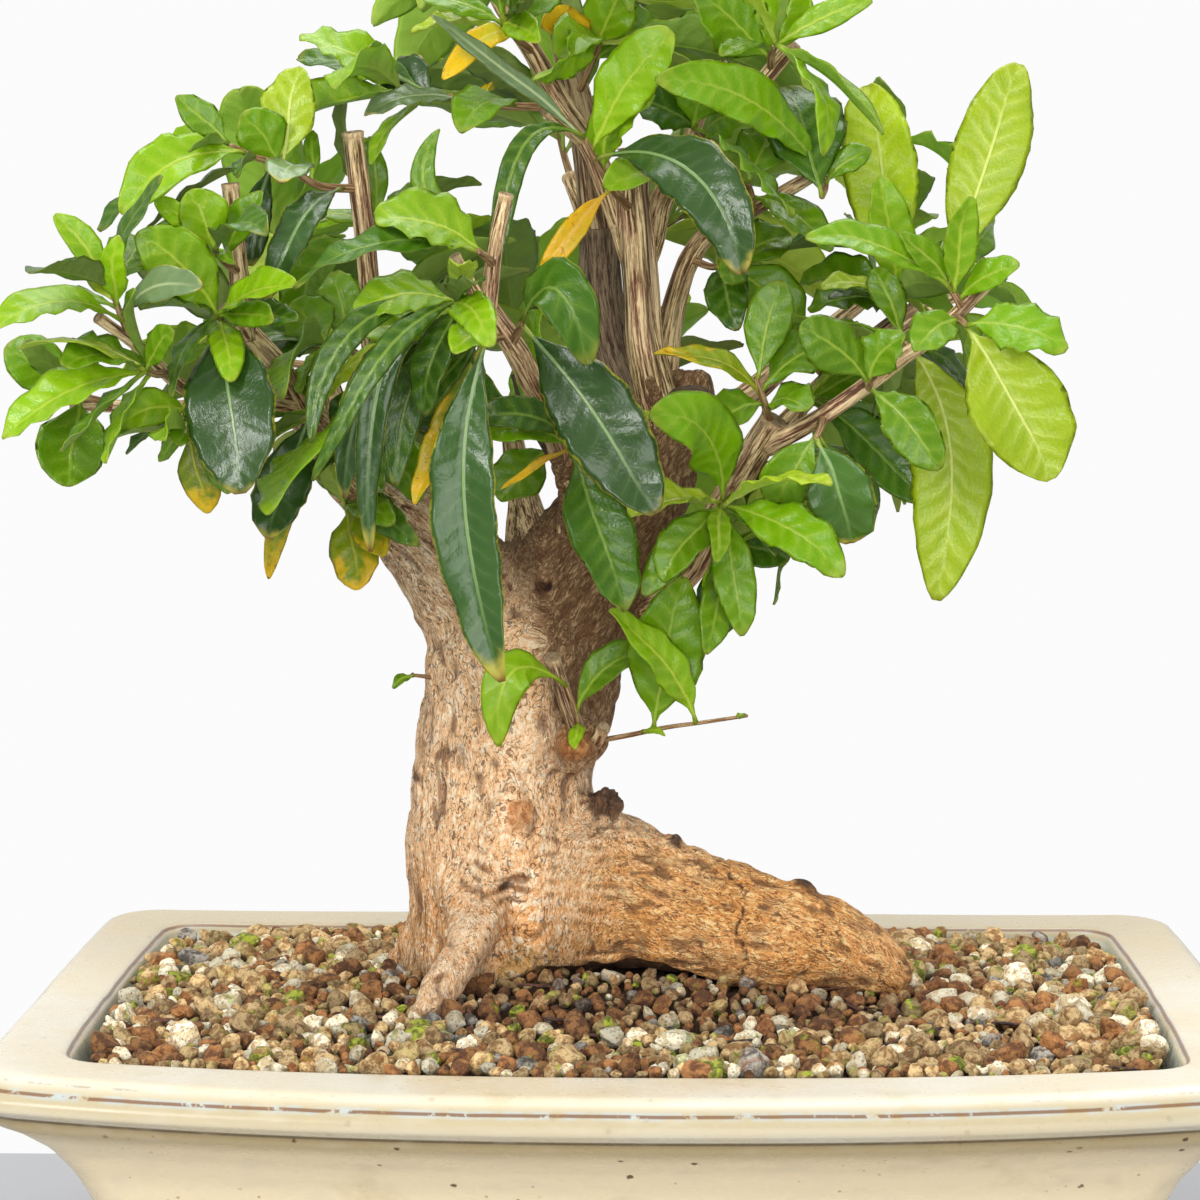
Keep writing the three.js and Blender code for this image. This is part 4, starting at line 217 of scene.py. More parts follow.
# Each shoot: its name, its twig's line, how many leaves a rule adds, and the leaves listed one by one.
# Each of those: where it leaves the twig, its tip, width, arch, roll from the front to upwards, its tone
# and, where it bends much, a place its midrib passes.
SHOOTS = [
    ("far_left_tip", [[-120, -41, 255], [-123, -46, 261], [-126, -48, 270]], 1, [
        (1, [-139, -52, 288], 7, 0.06, 25, "bright"), (0.75, [-123, -58, 282], 7, 0.04, 10, "bright"),
        (0.55, [-150, -66, 261], 11, 0.1, 60, "bright"), (0.65, [-101, -62, 270], 9, 0.14, 35, "grey"),
        (1, [-119, -30, 284], 12, 0.05, 20, "mid"),
    ]),
    ("far_left_low", [[-115, -35, 249], [-116, -44, 249], [-117, -52, 250]], 0, [
        (0.9, [-151, -62, 234], 12, 0.1, 35, "bright"), (0.5, [-135, -66, 252], 12, 0.12, 50, "mid"),
        (1, [-108, -64, 260], 7, 0.08, 20, "mid"),
    ]),
    ("low_left_end", [[-131, -19, 240], [-135, -24, 242], [-140, -27, 243]], 0, [
        (0.8, [-140, -34, 220], 16, 0.03, 8, "mid"), (1, [-156, -30, 256], 13, 0.05, 25, "mid"),
        (0.6, [-145, -8, 253], 12, 0.08, 30, "mid"),
    ]),
    ("left_hanging", [[-107, -27, 243], [-108, -38, 240], [-109, -42, 235]], 0, [
        (0.55, [-125, -52, 237], 12, 0.12, 30, "bright"), (0.75, [-109, -52, 232], 6, 0.05, 10, "mid"),
        (1, [-104, -40, 214], 9, 0.04, 8, "olive"), (0.95, [-117, -34, 227], 4, 0.04, 10, "mid"),
    ]),
    ("left_tip", [[-101, -14, 263], [-102, -26, 262], [-102, -34, 263]], 1, [
        (0.8, [-93, -46, 220], 21, 0.05, 6, "dark"), (1, [-120, -40, 283], 15, 0.05, 15, "bright"),
        (0.7, [-120, -44, 265], 14, 0.12, 50, "mid"), (0.6, [-96, -50, 248], 8, 0.08, 20, "bright"),
    ]),
    ("left_stub_side", [[-100, -14, 274], [-101, -24, 276], [-103, -30, 279]], 1, [
        (1, [-109, -34, 294], 12, 0.06, 20, "bright"), (0.6, [-91, -30, 294], 8, 0.06, 20, "mid"),
        (0.8, [-127, -30, 276], 13, 0.1, 50, "mid"),
    ]),
    ("upper_left_spray", [[-73, 14, 295], [-81, 6, 296], [-89, 0, 301], [-96, -8, 303],
        [-102, -12, 306]], 1, [
        (0.52, [-86, 6, 327], 13, 0.05, 10, "lime"), (0.55, [-99, -8, 314], 13, 0.06, 15, "mid"),
        (1, [-115, -14, 318], 8, 0.05, 20, "mid"), (0.82, [-126, -34, 288], 13, 0.16, 30, "bright"),
        (0.3, [-83, 12, 311], 4, 0.05, 10, "mid"), (0.38, [-88, -20, 296], 11, 0.16, 40, "grey"),
        (0.1, [-92, -20, 265], 9, 0.1, 15, "dark", [-83, -20, 286]),
        (0.6, [-97, -10, 275], 7, 0.08, 20, "dark"),
    ]),
    ("left_upright_side", [[-69, 18, 277], [-68, 24, 282], [-68, 30, 287]], 2, [
        (0.9, [-69, 26, 310], 6, 0.05, 5, "mid"), (0.7, [-52, 34, 295], 12, 0.08, 30, "mid"),
        (0.5, [-87, 10, 259], 14, 0.15, 30, "mid"),
    ]),
    ("left_upright_low", [[-68, 20, 247], [-73, 12, 253], [-79, 6, 255]], 1, [
        (0.9, [-96, 4, 254], 20, 0.1, 55, "deep"), (0.6, [-79, 16, 275], 11, 0.06, 20, "mid"),
        (1, [-89, 10, 266], 14, 0.06, 25, "mid"),
    ]),
    ("upper_left_high", [[-18, 28, 317], [-35, 18, 317], [-50, 10, 319], [-59, 6, 320]], 1, [
        (1, [-85, -4, 332], 13, 0.12, 35, "bright"), (0.7, [-65, 16, 324], 14, 0.08, 30, "dark"),
        (0.5, [-67, -16, 315], 9, 0.06, 50, "grey"), (0.25, [-43, -10, 309], 13, 0.14, 45, "mid"),
        (0.45, [-44, 32, 319], 11, 0.06, 35, "yellow"),
    ]),
    ("top_left", [[-27, 26, 331], [-30, 14, 334], [-33, 6, 337]], 2, [
        (0.5, [-48, -8, 322], 7, 0.12, 30, "yellow", [-36, 0, 334]), (1, [-58, 4, 345], 9, 0.08, 40, "mid"),
        (0.8, [-19, 14, 349], 11, 0.05, 20, "mid"),
    ]),
    ("front_twig", [[0, 22, 289], [-5, 12, 295], [-9, 3, 302], [-12, -4, 308]], 0, [
        (0.95, [-51, -14, 338], 5, 0.03, 30, "grey"),
        (1, [-34, -40, 269], 6, 0, 15, "deep", [-27, -30, 304]),
        (0.8, [10, -10, 335], 14, 0.05, 12, "bright"),
        (0.7, [28, -44, 273], 16, 0.16, 25, "dark", [15, -34, 299]),
        (0.5, [6, -22, 319], 11, 0.08, 30, "bright"), (0.35, [-24, 2, 270], 6, 0.08, 20, "orange"),
    ]),
    ("top_mid", [[-16, 52, 321], [-12, 42, 328], [-9, 34, 334]], 2, [
        (0.7, [-25, 20, 336], 13, 0.08, 20, "orange"), (1, [-19, 22, 330], 12, 0.1, 35, "bright"),
        (0.9, [-2, 30, 350], 14, 0.05, 15, "bright"), (0.6, [7, 46, 341], 13, 0.06, 20, "mid"),
    ]),
    ("crown_right", [[36, 22, 326], [36, 16, 330], [37, 10, 332]], 1, [
        (0.3, [15, 8, 346], 19, 0.05, 12, "fresh"), (0.4, [43, 14, 348], 14, 0.05, 12, "bright"),
        (0.8, [62, 8, 343], 7, 0.08, 20, "bright"),
    ]),
    ("diagonal_mid", [[18, 30, 306], [18, 22, 309], [16, 16, 311]], 1, [
        (0.8, [-1, 10, 319], 13, 0.08, 30, "deep"), (0.5, [31, 8, 315], 13, 0.1, 35, "fresh"),
        (1, [21, 6, 328], 12, 0.06, 20, "fresh"),
    ]),
    ("mid_branch_tip", [[49, 17, 300], [50, 10, 296], [49, 4, 293]], 0, [
        (0.25, [6, -8, 322], 13, 0.08, 25, "fresh"), (1, [40, 20, 324], 21, 0.05, 8, "deep"),
        (0.5, [62, 18, 305], 7, 0.1, 40, "mid"),
    ]),
    ("mid_branch_mid", [[31, 28, 290], [31, 20, 294], [30, 14, 297]], 1, [
        (0.8, [18, 14, 309], 12, 0.08, 25, "mid"), (1, [38, 24, 313], 13, 0.06, 20, "mid"),
        (0.5, [15, 0, 293], 10, 0.12, 40, "mid"), (0.4, [52, 8, 279], 11, 0.12, 35, "mid"),
    ]),
    ("mid_branch_low", [[15, 37, 277], [21, 30, 275], [26, 24, 276]], 1, [
        (0.9, [44, 22, 258], 14, 0.08, 20, "mid"), (0.6, [27, 10, 259], 11, 0.08, 20, "deep"),
        (1, [42, 30, 283], 12, 0.08, 30, "mid"),
    ]),
    ("behind_right_tip", [[70, 27, 261], [69, 22, 265], [69, 18, 268]], 1, [
        (0.9, [62, 30, 323], 18, 0.04, 8, "lime"), (1, [64, 8, 299], 11, 0.05, 12, "bright"),
        (0.5, [46, 10, 263], 13, 0.14, 45, "mid"), (0.7, [44, 34, 270], 12, 0.14, 40, "mid"),
    ]),
    ("long_right_upper", [[83, -25, 265], [81, -28, 268], [79, -28, 271]], 0, [
        (0.9, [97, -16, 326], 17, 0.03, 8, "lime"), (0.6, [83, -38, 293], 8, 0.05, 8, "bright"),
        (1, [66, -34, 283], 8, 0.08, 25, "fresh"), (0.75, [43, -40, 283], 10, 0.1, 40, "fresh"),
        (0.3, [96, -36, 276], 8, 0.1, 35, "fresh"),
    ]),
    ("long_right_lower", [[81, -23, 263], [82, -32, 262], [83, -38, 261]], 0, [
        (0.8, [104, -44, 223], 22, 0.05, 6, "lime"), (1, [107, -46, 255], 14, 0.12, 35, "fresh"),
        (0.4, [70, -42, 255], 11, 0.1, 35, "fresh"),
    ]),
    ("right_hanging", [[69, -17, 252], [71, -8, 254], [70, -2, 256]], 1, [
        (0.9, [79, -4, 190], 19, 0.07, 6, "lime", [81, -10, 231]), (1, [62, 6, 276], 8, 0.06, 20, "mid"),
    ]),
    ("right_long_mid", [[61, -13, 246], [60, -24, 245], [59, -32, 247]], 0, [
        (0.6, [77, -36, 225], 12, 0.08, 15, "mid"), (1, [42, -40, 261], 13, 0.08, 25, "mid"),
        (0.9, [68, -36, 259], 11, 0.1, 40, "mid"),
    ]),
    ("right_stem_top", [[37, -1, 234], [34, -10, 241], [32, -14, 247]], 0, [
        (0.95, [38, -12, 272], 11, 0.05, 12, "mid"), (0.6, [6, -22, 252], 9, 0.16, 40, "olive"),
        (0.45, [19, -20, 234], 10, 0.1, 35, "mid"), (0.35, [45, -22, 240], 11, 0.14, 45, "mid"),
        (0.7, [55, -6, 257], 13, 0.12, 40, "mid"),
    ]),
    ("right_stem_side", [[43, -5, 235], [45, 4, 239], [47, 8, 241]], 1, [
        (1, [76, 2, 214], 14, 0.06, 20, "deep"), (0.8, [65, 14, 248], 14, 0.1, 40, "mid"),
    ]),
    ("right_center", [[27, 6, 218], [24, -8, 216], [23, -16, 214]], 0, [
        (0.7, [8, -26, 240], 16, 0.06, 15, "fresh"), (0.85, [54, -36, 200], 13, 0.1, 30, "fresh"),
        (1, [8, -30, 197], 11, 0.1, 20, "fresh"), (0.95, [22, -34, 202], 6, 0.1, 20, "bright"),
        (0.9, [29, -24, 182], 10, 0.06, 12, "mid"),
    ]),
    ("right_low_inner", [[19, 12, 205], [21, 2, 204], [23, -4, 203]], 1, [
        (1, [24, -10, 181], 12, 0.05, 10, "deep"), (0.7, [41, -6, 200], 11, 0.08, 25, "deep"),
    ]),
    ("right_inner", [[49, -9, 238], [48, -16, 234], [47, -20, 232]], 0, [
        (1, [56, -24, 205], 16, 0.05, 10, "glossy"), (0.7, [37, -16, 214], 13, 0.07, 15, "mid"),
        (0.8, [61, -10, 206], 12, 0.06, 18, "deep"),
    ]),
    ("right_under", [[38, -1, 235], [41, 4, 228], [44, 6, 223]], 2, [
        (1, [48, 4, 197], 12, 0.06, 15, "mid"), (0.6, [34, 8, 204], 12, 0.06, 15, "deep"),
    ]),
    ("low_shoot", [[-11, 12, 150], [-1, -4, 154], [9, -10, 157], [19, -14, 159], [30, -16, 161]], 0, [
        (0.42, [14, -16, 197], 18, 0.05, 10, "fresh"), (0.7, [-7, -26, 187], 10, 0.12, 35, "bright"),
        (0.35, [9, -18, 156], 2, 0.1, 20, "bright"), (0.96, [28, -20, 162], 2, 0.1, 30, "bright"),
    ]),
    ("low_spur", [[-12, 6, 155], [-14, -6, 160], [-17, -10, 169], [-20, -12, 175]], 0, [
        (0.35, [5, -14, 176], 9, 0.16, 30, "mid"),
        (0.62, [-33, -22, 153], 11, 0.16, 25, "bright", [-30, -22, 173]),
        (0.2, [-14, -16, 152], 4, 0.1, 20, "bright"),
    ]),
    ("tiny_left", [[-48, 18, 165], [-54, 13, 167], [-58, 9, 168]], 0, [
        (0.95, [-63, 6, 165], 3, 0.1, 30, "mid"),
    ]),
    ("hub_left", [[-35, -33, 266], [-38, -42, 267], [-42, -48, 266]], 0, [
        (1, [-74, -66, 233], 7, 0, 20, "deep", [-66, -62, 260]),
        (0.8, [-74, -72, 224], 6, 0, 25, "deep", [-56, -70, 256]),
        (0.55, [-62, -60, 206], 7, 0, 15, "dark", [-58, -62, 251]),
        (0.9, [-66, -58, 265], 13, 0.12, 40, "bright"),
    ]),
    ("hub_drape", [[-31, -27, 258], [-35, -38, 257], [-39, -44, 257]], 0, [
        (1, [-69, -52, 218], 9, 0, 15, "dark", [-61, -50, 250]),
        (0.9, [-57, -44, 221], 9, 0, 10, "deep", [-53, -42, 246]),
        (0.6, [-51, -54, 217], 7, 0.04, 10, "half_yellow"), (0.8, [-44, -40, 238], 8, 0.06, 20, "deep"),
    ]),
    ("hub_front", [[-34, -33, 264], [-33, -48, 263], [-33, -54, 261]], 0, [
        (0.9, [-29, -62, 175], 15, 0, 4, "dark", [-39, -60, 219]),
        (1, [-41, -68, 255], 9, 0.06, 12, "bright"),
    ]),
    ("hub_broad", [[-29, -25, 256], [-27, -36, 260], [-26, -42, 262]], 0, [
        (0.8, [7, -56, 215], 19, 0.06, 8, "dark"),
        (0.95, [-9, -58, 251], 13, 0.12, 20, "deep", [-17, -58, 270]),
    ]),
    ("hub_cut_side", [[-34, -35, 276], [-35, -46, 278], [-36, -52, 279]], 0, [
        (0.6, [-61, -56, 287], 16, 0.12, 40, "bright"), (0.9, [-81, -66, 271], 10, 0.12, 45, "deep"),
        (0.4, [-46, -46, 308], 6, 0, 10, "mid", [-49, -48, 294]),
    ]),
    ("front_low", [[-17, -2, 223], [-15, -16, 228], [-15, -22, 231]], 0, [
        (0.9, [-1, -34, 189], 15, 0.05, 8, "deep"), (0.7, [-32, -36, 220], 2, 0.05, 20, "orange"),
    ]),
    ("crotch_fill", [[-9, 20, 214], [-17, 22, 221], [-23, 20, 229]], 2, [
        (0.9, [-35, 12, 214], 13, 0.05, 15, "mid"), (1, [-30, 16, 245], 14, 0.05, 15, "mid"),
        (0.7, [-22, 6, 209], 11, 0.06, 15, "deep"),
    ]),
    ("left_limb_under", [[-81, 9, 230], [-82, -4, 235], [-82, -10, 238]], 0, [
        (0.9, [-92, -18, 206], 13, 0.06, 10, "dark"), (0.6, [-94, -4, 194], 6, 0.06, 20, "olive"),
    ]),
    ("left_limb_low", [[-69, 16, 215], [-73, 4, 215], [-74, -2, 213]], 0, [
        (0.9, [-70, -8, 192], 12, 0.06, 10, "olive"), (0.7, [-63, -14, 201], 8, 0.06, 15, "olive"),
    ]),
    ("left_limb_top", [[-73, 14, 220], [-68, 4, 230], [-65, -4, 237]], 1, [
        (0.8, [-54, -12, 215], 12, 0.06, 12, "mid"), (1, [-61, 0, 259], 13, 0.06, 20, "mid"),
        (0.6, [-78, 4, 241], 11, 0.08, 25, "deep"),
    ]),
    ("top_crown_front", [[-20, 52, 361], [-25, 42, 365], [-27, 34, 369]], 7, []),
    ("top_crown_side", [[-19, 54, 338], [-8, 58, 346], [0, 60, 351]], 7, []),
    ("back_left_end", [[-92, 76, 257], [-98, 84, 264], [-100, 88, 274]], 7, []),
    ("back_left_inner", [[-80, 40, 234], [-74, 50, 245], [-70, 56, 255]], 6, []),
    ("back_left_side", [[-85, 60, 247], [-99, 60, 249], [-108, 60, 251]], 7, []),
    ("back_mid_end", [[-17, 85, 297], [-21, 92, 307], [-23, 94, 315]], 7, []),
    ("back_mid_side", [[-12, 70, 283], [4, 78, 285], [13, 84, 289]], 7, []),
    ("back_right_end", [[62, 86, 264], [69, 92, 272], [73, 92, 281]], 7, []),
    ("back_right_low", [[46, 73, 252], [54, 80, 243], [62, 84, 237]], 7, []),
    ("back_low_end", [[-33, 90, 242], [-34, 96, 251], [-38, 96, 260]], 7, []),
    ("back_low_side", [[-31, 56, 212], [-45, 66, 214], [-56, 72, 218]], 7, []),
    ("back_low_right", [[-35, 76, 230], [-21, 84, 228], [-10, 88, 228]], 7, []),
    ("back_far_right_end", [[88, 62, 267], [94, 68, 274], [97, 70, 283]], 7, []),
]


# ---- numbers and shapes ----


def unit(v):
    """v at length 1, for one vector or a row of them."""
    v = np.asarray(v, float)
    return v / np.maximum(np.linalg.norm(v, axis=-1, keepdims=True), 1e-9)


def smooth(value, low, high):
    """0 below low, 1 above high, and a smooth step between them."""
    t = np.clip((np.asarray(value, float) - low) / (high - low), 0, 1)
    return t * t * (3 - 2 * t)


def imul(a, b):
    """a times b, kept to 32 bits."""
    return (a * b) & 0xFFFFFFFF


def random_from(seed):
    """Repeatable random numbers in 0..1."""
    state = seed & 0xFFFFFFFF

    def draw():
        nonlocal state
        state = (state + 0x6D2B79F5) & 0xFFFFFFFF
        t = imul(state ^ (state >> 15), state | 1)
        t ^= (t + imul(t ^ (t >> 7), t | 61)) & 0xFFFFFFFF
        return ((t ^ (t >> 14)) & 0xFFFFFFFF) / 4294967296

    return draw


def along(points, t):
    """Points on the smooth line through points, t in 0..1."""
    points = np.asarray(points, float)
    last = len(points) - 1
    place = np.clip(np.atleast_1d(np.asarray(t, float)), 0, 1) * last
    i = np.minimum(place.astype(int), last - 1)
    f = (place - i)[:, None]
    padded = np.vstack([2 * points[0] - points[1], points, 2 * points[-1] - points[-2]])
    p0, p1, p2, p3 = padded[i], padded[i + 1], padded[i + 2], padded[i + 3]
    a = 2 * p1
    b = p2 - p0
    c = 2 * p0 - 5 * p1 + 4 * p2 - p3
    d = 3 * p1 - p0 - 3 * p2 + p3
    return 0.5 * (a + b * f + c * f * f + d * f * f * f)


def lattice(cells, seed):
    """Repeatable random numbers in 0..1, one for each whole-numbered cell."""
    h = cells[..., 0] * 73856093 ^ cells[..., 1] * 19349663 ^ cells[..., 2] * 83492791 ^ seed * 40503
    h = h & 0xFFFFFFFF
    h = ((h ^ (h >> 15)) * 2246822519) & 0xFFFFFFFF
    h = ((h ^ (h >> 13)) * 3266489917) & 0xFFFFFFFF
    return (h ^ (h >> 16)) / 4294967296


def noise(points, size, seed=0):
    """Smooth noise in -1..1 with lumps about size across."""
    p = np.asarray(points, float) / size
    cell = np.floor(p).astype(np.int64)
    f = p - cell
    f = f * f * f * (f * (f * 6 - 15) + 10)
    total = np.zeros(len(p))
    for corner in range(8):
        step = np.array([corner & 1, corner >> 1 & 1, corner >> 2 & 1])
        share = np.prod(np.where(step == 1, f, 1 - f), axis=1)
        total += share * lattice(cell + step, seed)
    return 2 * total - 1


def ring_faces(rings, sides, closed=True):
    """Four-cornered faces between neighbouring rings of points."""
    r = np.arange(rings - 1)[:, None]
    k = np.arange(sides if closed else sides - 1)[None, :]
    ahead = (k + 1) % sides
    a = r * sides + k
    b = r * sides + ahead
    return np.stack([a, b, b + sides, a + sides], axis=-1).reshape(-1, 4)


def fan_faces(ring, centre, flip=False):
    """Triangles from a ring of point numbers to a centre."""
    ring = np.asarray(ring)
    ahead = np.roll(ring, -1)
    first, second = (ahead, ring) if flip else (ring, ahead)
    return np.stack([first, second, np.full(len(ring), centre)], axis=-1)


def mesh_of(name, points, faces):
    """A mesh from points in millimetres and arrays of faces, one row a face."""
    faces = [f for f in faces if len(f)]
    corners = np.concatenate([f.ravel() for f in faces]).astype(np.int32)
    sizes = np.concatenate([np.full(len(f), f.shape[1]) for f in faces])
    starts = np.concatenate([[0], np.cumsum(sizes)[:-1]]).astype(np.int32)
    mesh = bpy.data.meshes.new(name)
    mesh.vertices.add(len(points))
    mesh.vertices.foreach_set("co", (np.asarray(points) * MM).astype(np.float32).ravel())
    mesh.loops.add(len(corners))
    mesh.loops.foreach_set("vertex_index", corners)
    mesh.polygons.add(len(sizes))
    mesh.polygons.foreach_set("loop_start", starts)
    mesh.update(calc_edges=True)
    shade_faces(mesh, True)
    return mesh


def give(mesh, name, values):
    """Stores one number or vector a point on the mesh, for its material to read."""
    values = np.asarray(values, np.float32)
    vector = values.ndim == 2
    layer = mesh.attributes.new(name, "FLOAT_VECTOR" if vector else "FLOAT", "POINT")
    layer.data.foreach_set("vector" if vector else "value", values.ravel())


def places_of(mesh):
    """The mesh's points in millimetres."""
    co = np.zeros(3 * len(mesh.vertices), np.float32)
    mesh.vertices.foreach_get("co", co)
    return co.reshape(-1, 3).astype(float) / MM


def normals_of(mesh):
    out = np.zeros(3 * len(mesh.vertices), np.float32)
    mesh.vertex_normals.foreach_get("vector", out)
    return out.reshape(-1, 3).astype(float)


def move_points(mesh, places):
    """Moves the mesh's points to places in millimetres."""
    mesh.vertices.foreach_set("co", (places * MM).astype(np.float32).ravel())
    mesh.update()


def shade_faces(mesh, smoothly):
    """Shades the mesh's faces as one smooth skin, or each one flat."""
    mesh.polygons.foreach_set("use_smooth", np.full(len(mesh.polygons), smoothly))


def joined(shapes):
    """The points and the faces of several shapes as one."""
    points = []
    faces = []
    start = 0
    for shape_points, shape_faces in shapes:
        points.append(shape_points)
        faces += [f + start for f in shape_faces]
        start += len(shape_points)
    return np.vstack(points), faces


def put(name, data):
    """A new object in the scene."""
    made = bpy.data.objects.new(name, data)
    bpy.context.scene.collection.objects.link(made)
    return made


def changed_by(mesh, kind, settings):
    """What a modifier makes of the mesh, which is then thrown away."""
    body = put("body", mesh)
    modifier = body.modifiers.new("change", kind)
    for name, value in settings.items():
        setattr(modifier, name, value)
    bpy.context.view_layer.update()
    shown = body.evaluated_get(bpy.context.evaluated_depsgraph_get())
    result = bpy.data.meshes.new_from_object(shown)
    bpy.data.objects.remove(body)
    bpy.data.meshes.remove(mesh)
    return result


def add_piece(name, mesh, node):
    """Shows the mesh as a piece in place of a solid, which it hides."""
    piece = put(name, mesh)
    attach(piece, "root")
    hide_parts(node)


# ---- finishes ----


class Value:
    """A number or colour inside a finish that ordinary arithmetic works on."""

    def __init__(self, finish, socket):
        self.finish = finish
        self.socket = socket

    def __add__(self, other):
        return self.finish.math("ADD", self, other)

    def __sub__(self, other):
        return self.finish.math("SUBTRACT", self, other)

    def __rsub__(self, other):
        return self.finish.math("SUBTRACT", other, self)

    def __mul__(self, other):
        return self.finish.math("MULTIPLY", self, other)

    def __truediv__(self, other):
        return self.finish.math("DIVIDE", self, other)

    def __neg__(self):
        return self.finish.math("MULTIPLY", self, -1.0)

    def __abs__(self):
        return self.finish.math("ABSOLUTE", self)

    __radd__ = __add__
    __rmul__ = __mul__


def solid(colour):
    """A colour for a node's socket: a value as it is, and a plain colour that covers fully."""
    return colour if isinstance(colour, Value) else (*colour[:3], 1.0)


class Finish:
    """A procedural finish, written as expressions."""

    def __init__(self, name, kind="materials"):
        self.owner = getattr(bpy.data, kind).new(name)
        self.owner.use_nodes = True
        self.tree = self.owner.node_tree
        self.tree.nodes.clear()

    def node(self, kind, settings, sockets):
        """A node with its settings, and its sockets linked or set."""
        node = self.tree.nodes.new(kind)
        for name, value in settings.items():
            setattr(node, name, value)
        for name, value in sockets.items():
            if isinstance(value, Value):
                self.tree.links.new(value.socket, node.inputs[name])
            else:
                node.inputs[name].default_value = value
        return node

    def output(self, kind, settings, sockets, name=0):
        """What a new node gives at one of its outputs."""
        return Value(self, self.node(kind, settings, sockets).outputs[name])

    def math(self, operation, a, b=0.0):
        return self.output("ShaderNodeMath", {"operation": operation}, {0: a, 1: b})

    def read(self, name, kind="Vector"):
        """A vector stored on the mesh, or a number where the kind is Fac."""
        return self.output("ShaderNodeAttribute", {"attribute_name": name}, {}, kind)

    def place(self):
        """Where the surface is, in metres."""
        return self.output("ShaderNodeTexCoord", {}, {}, "Object")

    def parts(self, vector):
        """The three numbers of a vector."""
        node = self.node("ShaderNodeSeparateXYZ", {}, {0: vector})
        return [Value(self, node.outputs[k]) for k in range(3)]

    def join(self, x, y, z):
        return self.output("ShaderNodeCombineXYZ", {}, {0: x, 1: y, 2: z})

    def stretch(self, vector, scale):
        """The vector with each of its numbers scaled."""
        return self.output("ShaderNodeVectorMath", {"operation": "MULTIPLY"}, {0: vector, 1: scale})

    def noise(self, vector, scale, detail=2.0, roughness=0.5, distortion=0.0):
        sockets = {"Vector": vector, "Scale": scale, "Detail": detail, "Roughness": roughness}
        sockets["Distortion"] = distortion
        return self.output("ShaderNodeTexNoise", {}, sockets)

    def cells(self, vector, scale):
        """Random cells: how far off their middles are."""
        sockets = {"Vector": vector, "Scale": scale}
        return self.output("ShaderNodeTexVoronoi", {"feature": "F1"}, sockets, "Distance")

    def step(self, value, low, high):
        """0 below low, 1 above high, smooth between; the other way round where low is above high."""
        ends = {"From Min": min(low, high), "From Max": max(low, high)}
        ends["To Min"] = 0.0 if low < high else 1.0
        ends["To Max"] = 1.0 - ends["To Min"]
        settings = {"interpolation_type": "SMOOTHSTEP"}
        return self.output("ShaderNodeMapRange", settings, {"Value": value, **ends})

    def blend(self, share, a, b):
        """Colour a with share of colour b over it."""
        sockets = {0: share, 6: solid(a), 7: solid(b)}
        return self.output("ShaderNodeMix", {"data_type": "RGBA"}, sockets, 2)

    def shade(self, colour, brightness):
        """The colour times a brightness."""
        sockets = {0: colour, "Scale": brightness}
        return self.output("ShaderNodeVectorMath", {"operation": "SCALE"}, sockets)

    def relief(self, height, depth, strength=1.0):
        """Normals for a relief depth metres deep."""
        sockets = {"Height": height, "Distance": depth, "Strength": strength}
        return self.output("ShaderNodeBump", {}, sockets)

    def surface(self, colour, roughness, normal=None, gloss=0.5):
        """The finish's main shader."""
        sockets = {"Base Color": solid(colour), "Roughness": roughness, "Specular IOR Level": gloss}
        if normal is not None:
            sockets["Normal"] = normal
        return self.output("ShaderNodeBsdfPrincipled", {}, sockets)

    def done(self, shader):
        self.node("ShaderNodeOutputMaterial", {}, {"Surface": shader})
        return self.owner


def paint(*chart):
    """A linear colour from the 0 to 255 numbers of a colour chart."""
    return tuple(c / 255 / 12.92 if c < 11 else ((c / 255 + 0.055) / 1.055) ** 2.4 for c in chart)


# ---- pot ----


def pot_outline(inset, lift, bow):
    """Points round the pot at an inset from its rim: round corners, sides that bow outwards."""
    half_x = RIM_HALF_LENGTH - inset
    half_y = RIM_HALF_DEPTH - inset
    shrink = half_x / RIM_HALF_LENGTH
    corner = max(CORNER_RADIUS - inset * 0.12, 5)
    cx = half_x - corner
    cy = half_y - corner
    long_side = np.linspace(-1, 1, 33)[1:-1]
    short_side = np.linspace(-1, 1, 21)[1:-1]
    turn = np.radians(np.linspace(0, 90, 9))
    parts = []
    for quarter in range(4):
        if quarter % 2 == 0:
            sign = 1 if quarter == 0 else -1
            side = np.stack([np.full(len(short_side), sign * half_x), sign * cy * short_side], axis=1)
        else:
            sign = -1 if quarter == 1 else 1
            side = np.stack([sign * cx * long_side, np.full(len(long_side), -sign * half_y)], axis=1)
        sx = 1 if quarter in (0, 3) else -1
        sy = 1 if quarter in (0, 1) else -1
        angle = turn + quarter * math.pi / 2
        arc = np.stack([sx * cx + corner * np.cos(angle), sy * cy + corner * np.sin(angle)], axis=1)
        parts += [side, arc]
    flat = np.vstack(parts)
    u = flat[:, 0] / half_x
    v = flat[:, 1] / half_y
    x = flat[:, 0] + SHORT_SIDE_BOW * shrink * (1 - v * v) * u
    y = flat[:, 1] + bow * shrink * (1 - u * u) * v
    return x, y, lift * CORNER_LIFT * np.abs(u * u * u * v)


def fine_section():
    """The pot's section in short steps with its edges eased, and how far along it each step lies."""
    points = np.array(POT_SECTION, float)
    bows = np.where(np.arange(len(points)) <= RIM_TOP, LONG_SIDE_BOW, INNER_BOW)
    points = np.hstack([points, bows[:, None]])
    gaps = np.linalg.norm(np.diff(points[:, :2], axis=0), axis=1)
    run = np.concatenate([[0], np.cumsum(gaps)])
    fine = np.arange(0, run[-1], 0.4)
    eased = np.stack([np.interp(fine, run, points[:, k]) for k in range(4)], axis=1)
    for _ in range(4):
        eased[1:-1] = 0.25 * eased[:-2] + 0.5 * eased[1:-1] + 0.25 * eased[2:]
    return eased, fine, run


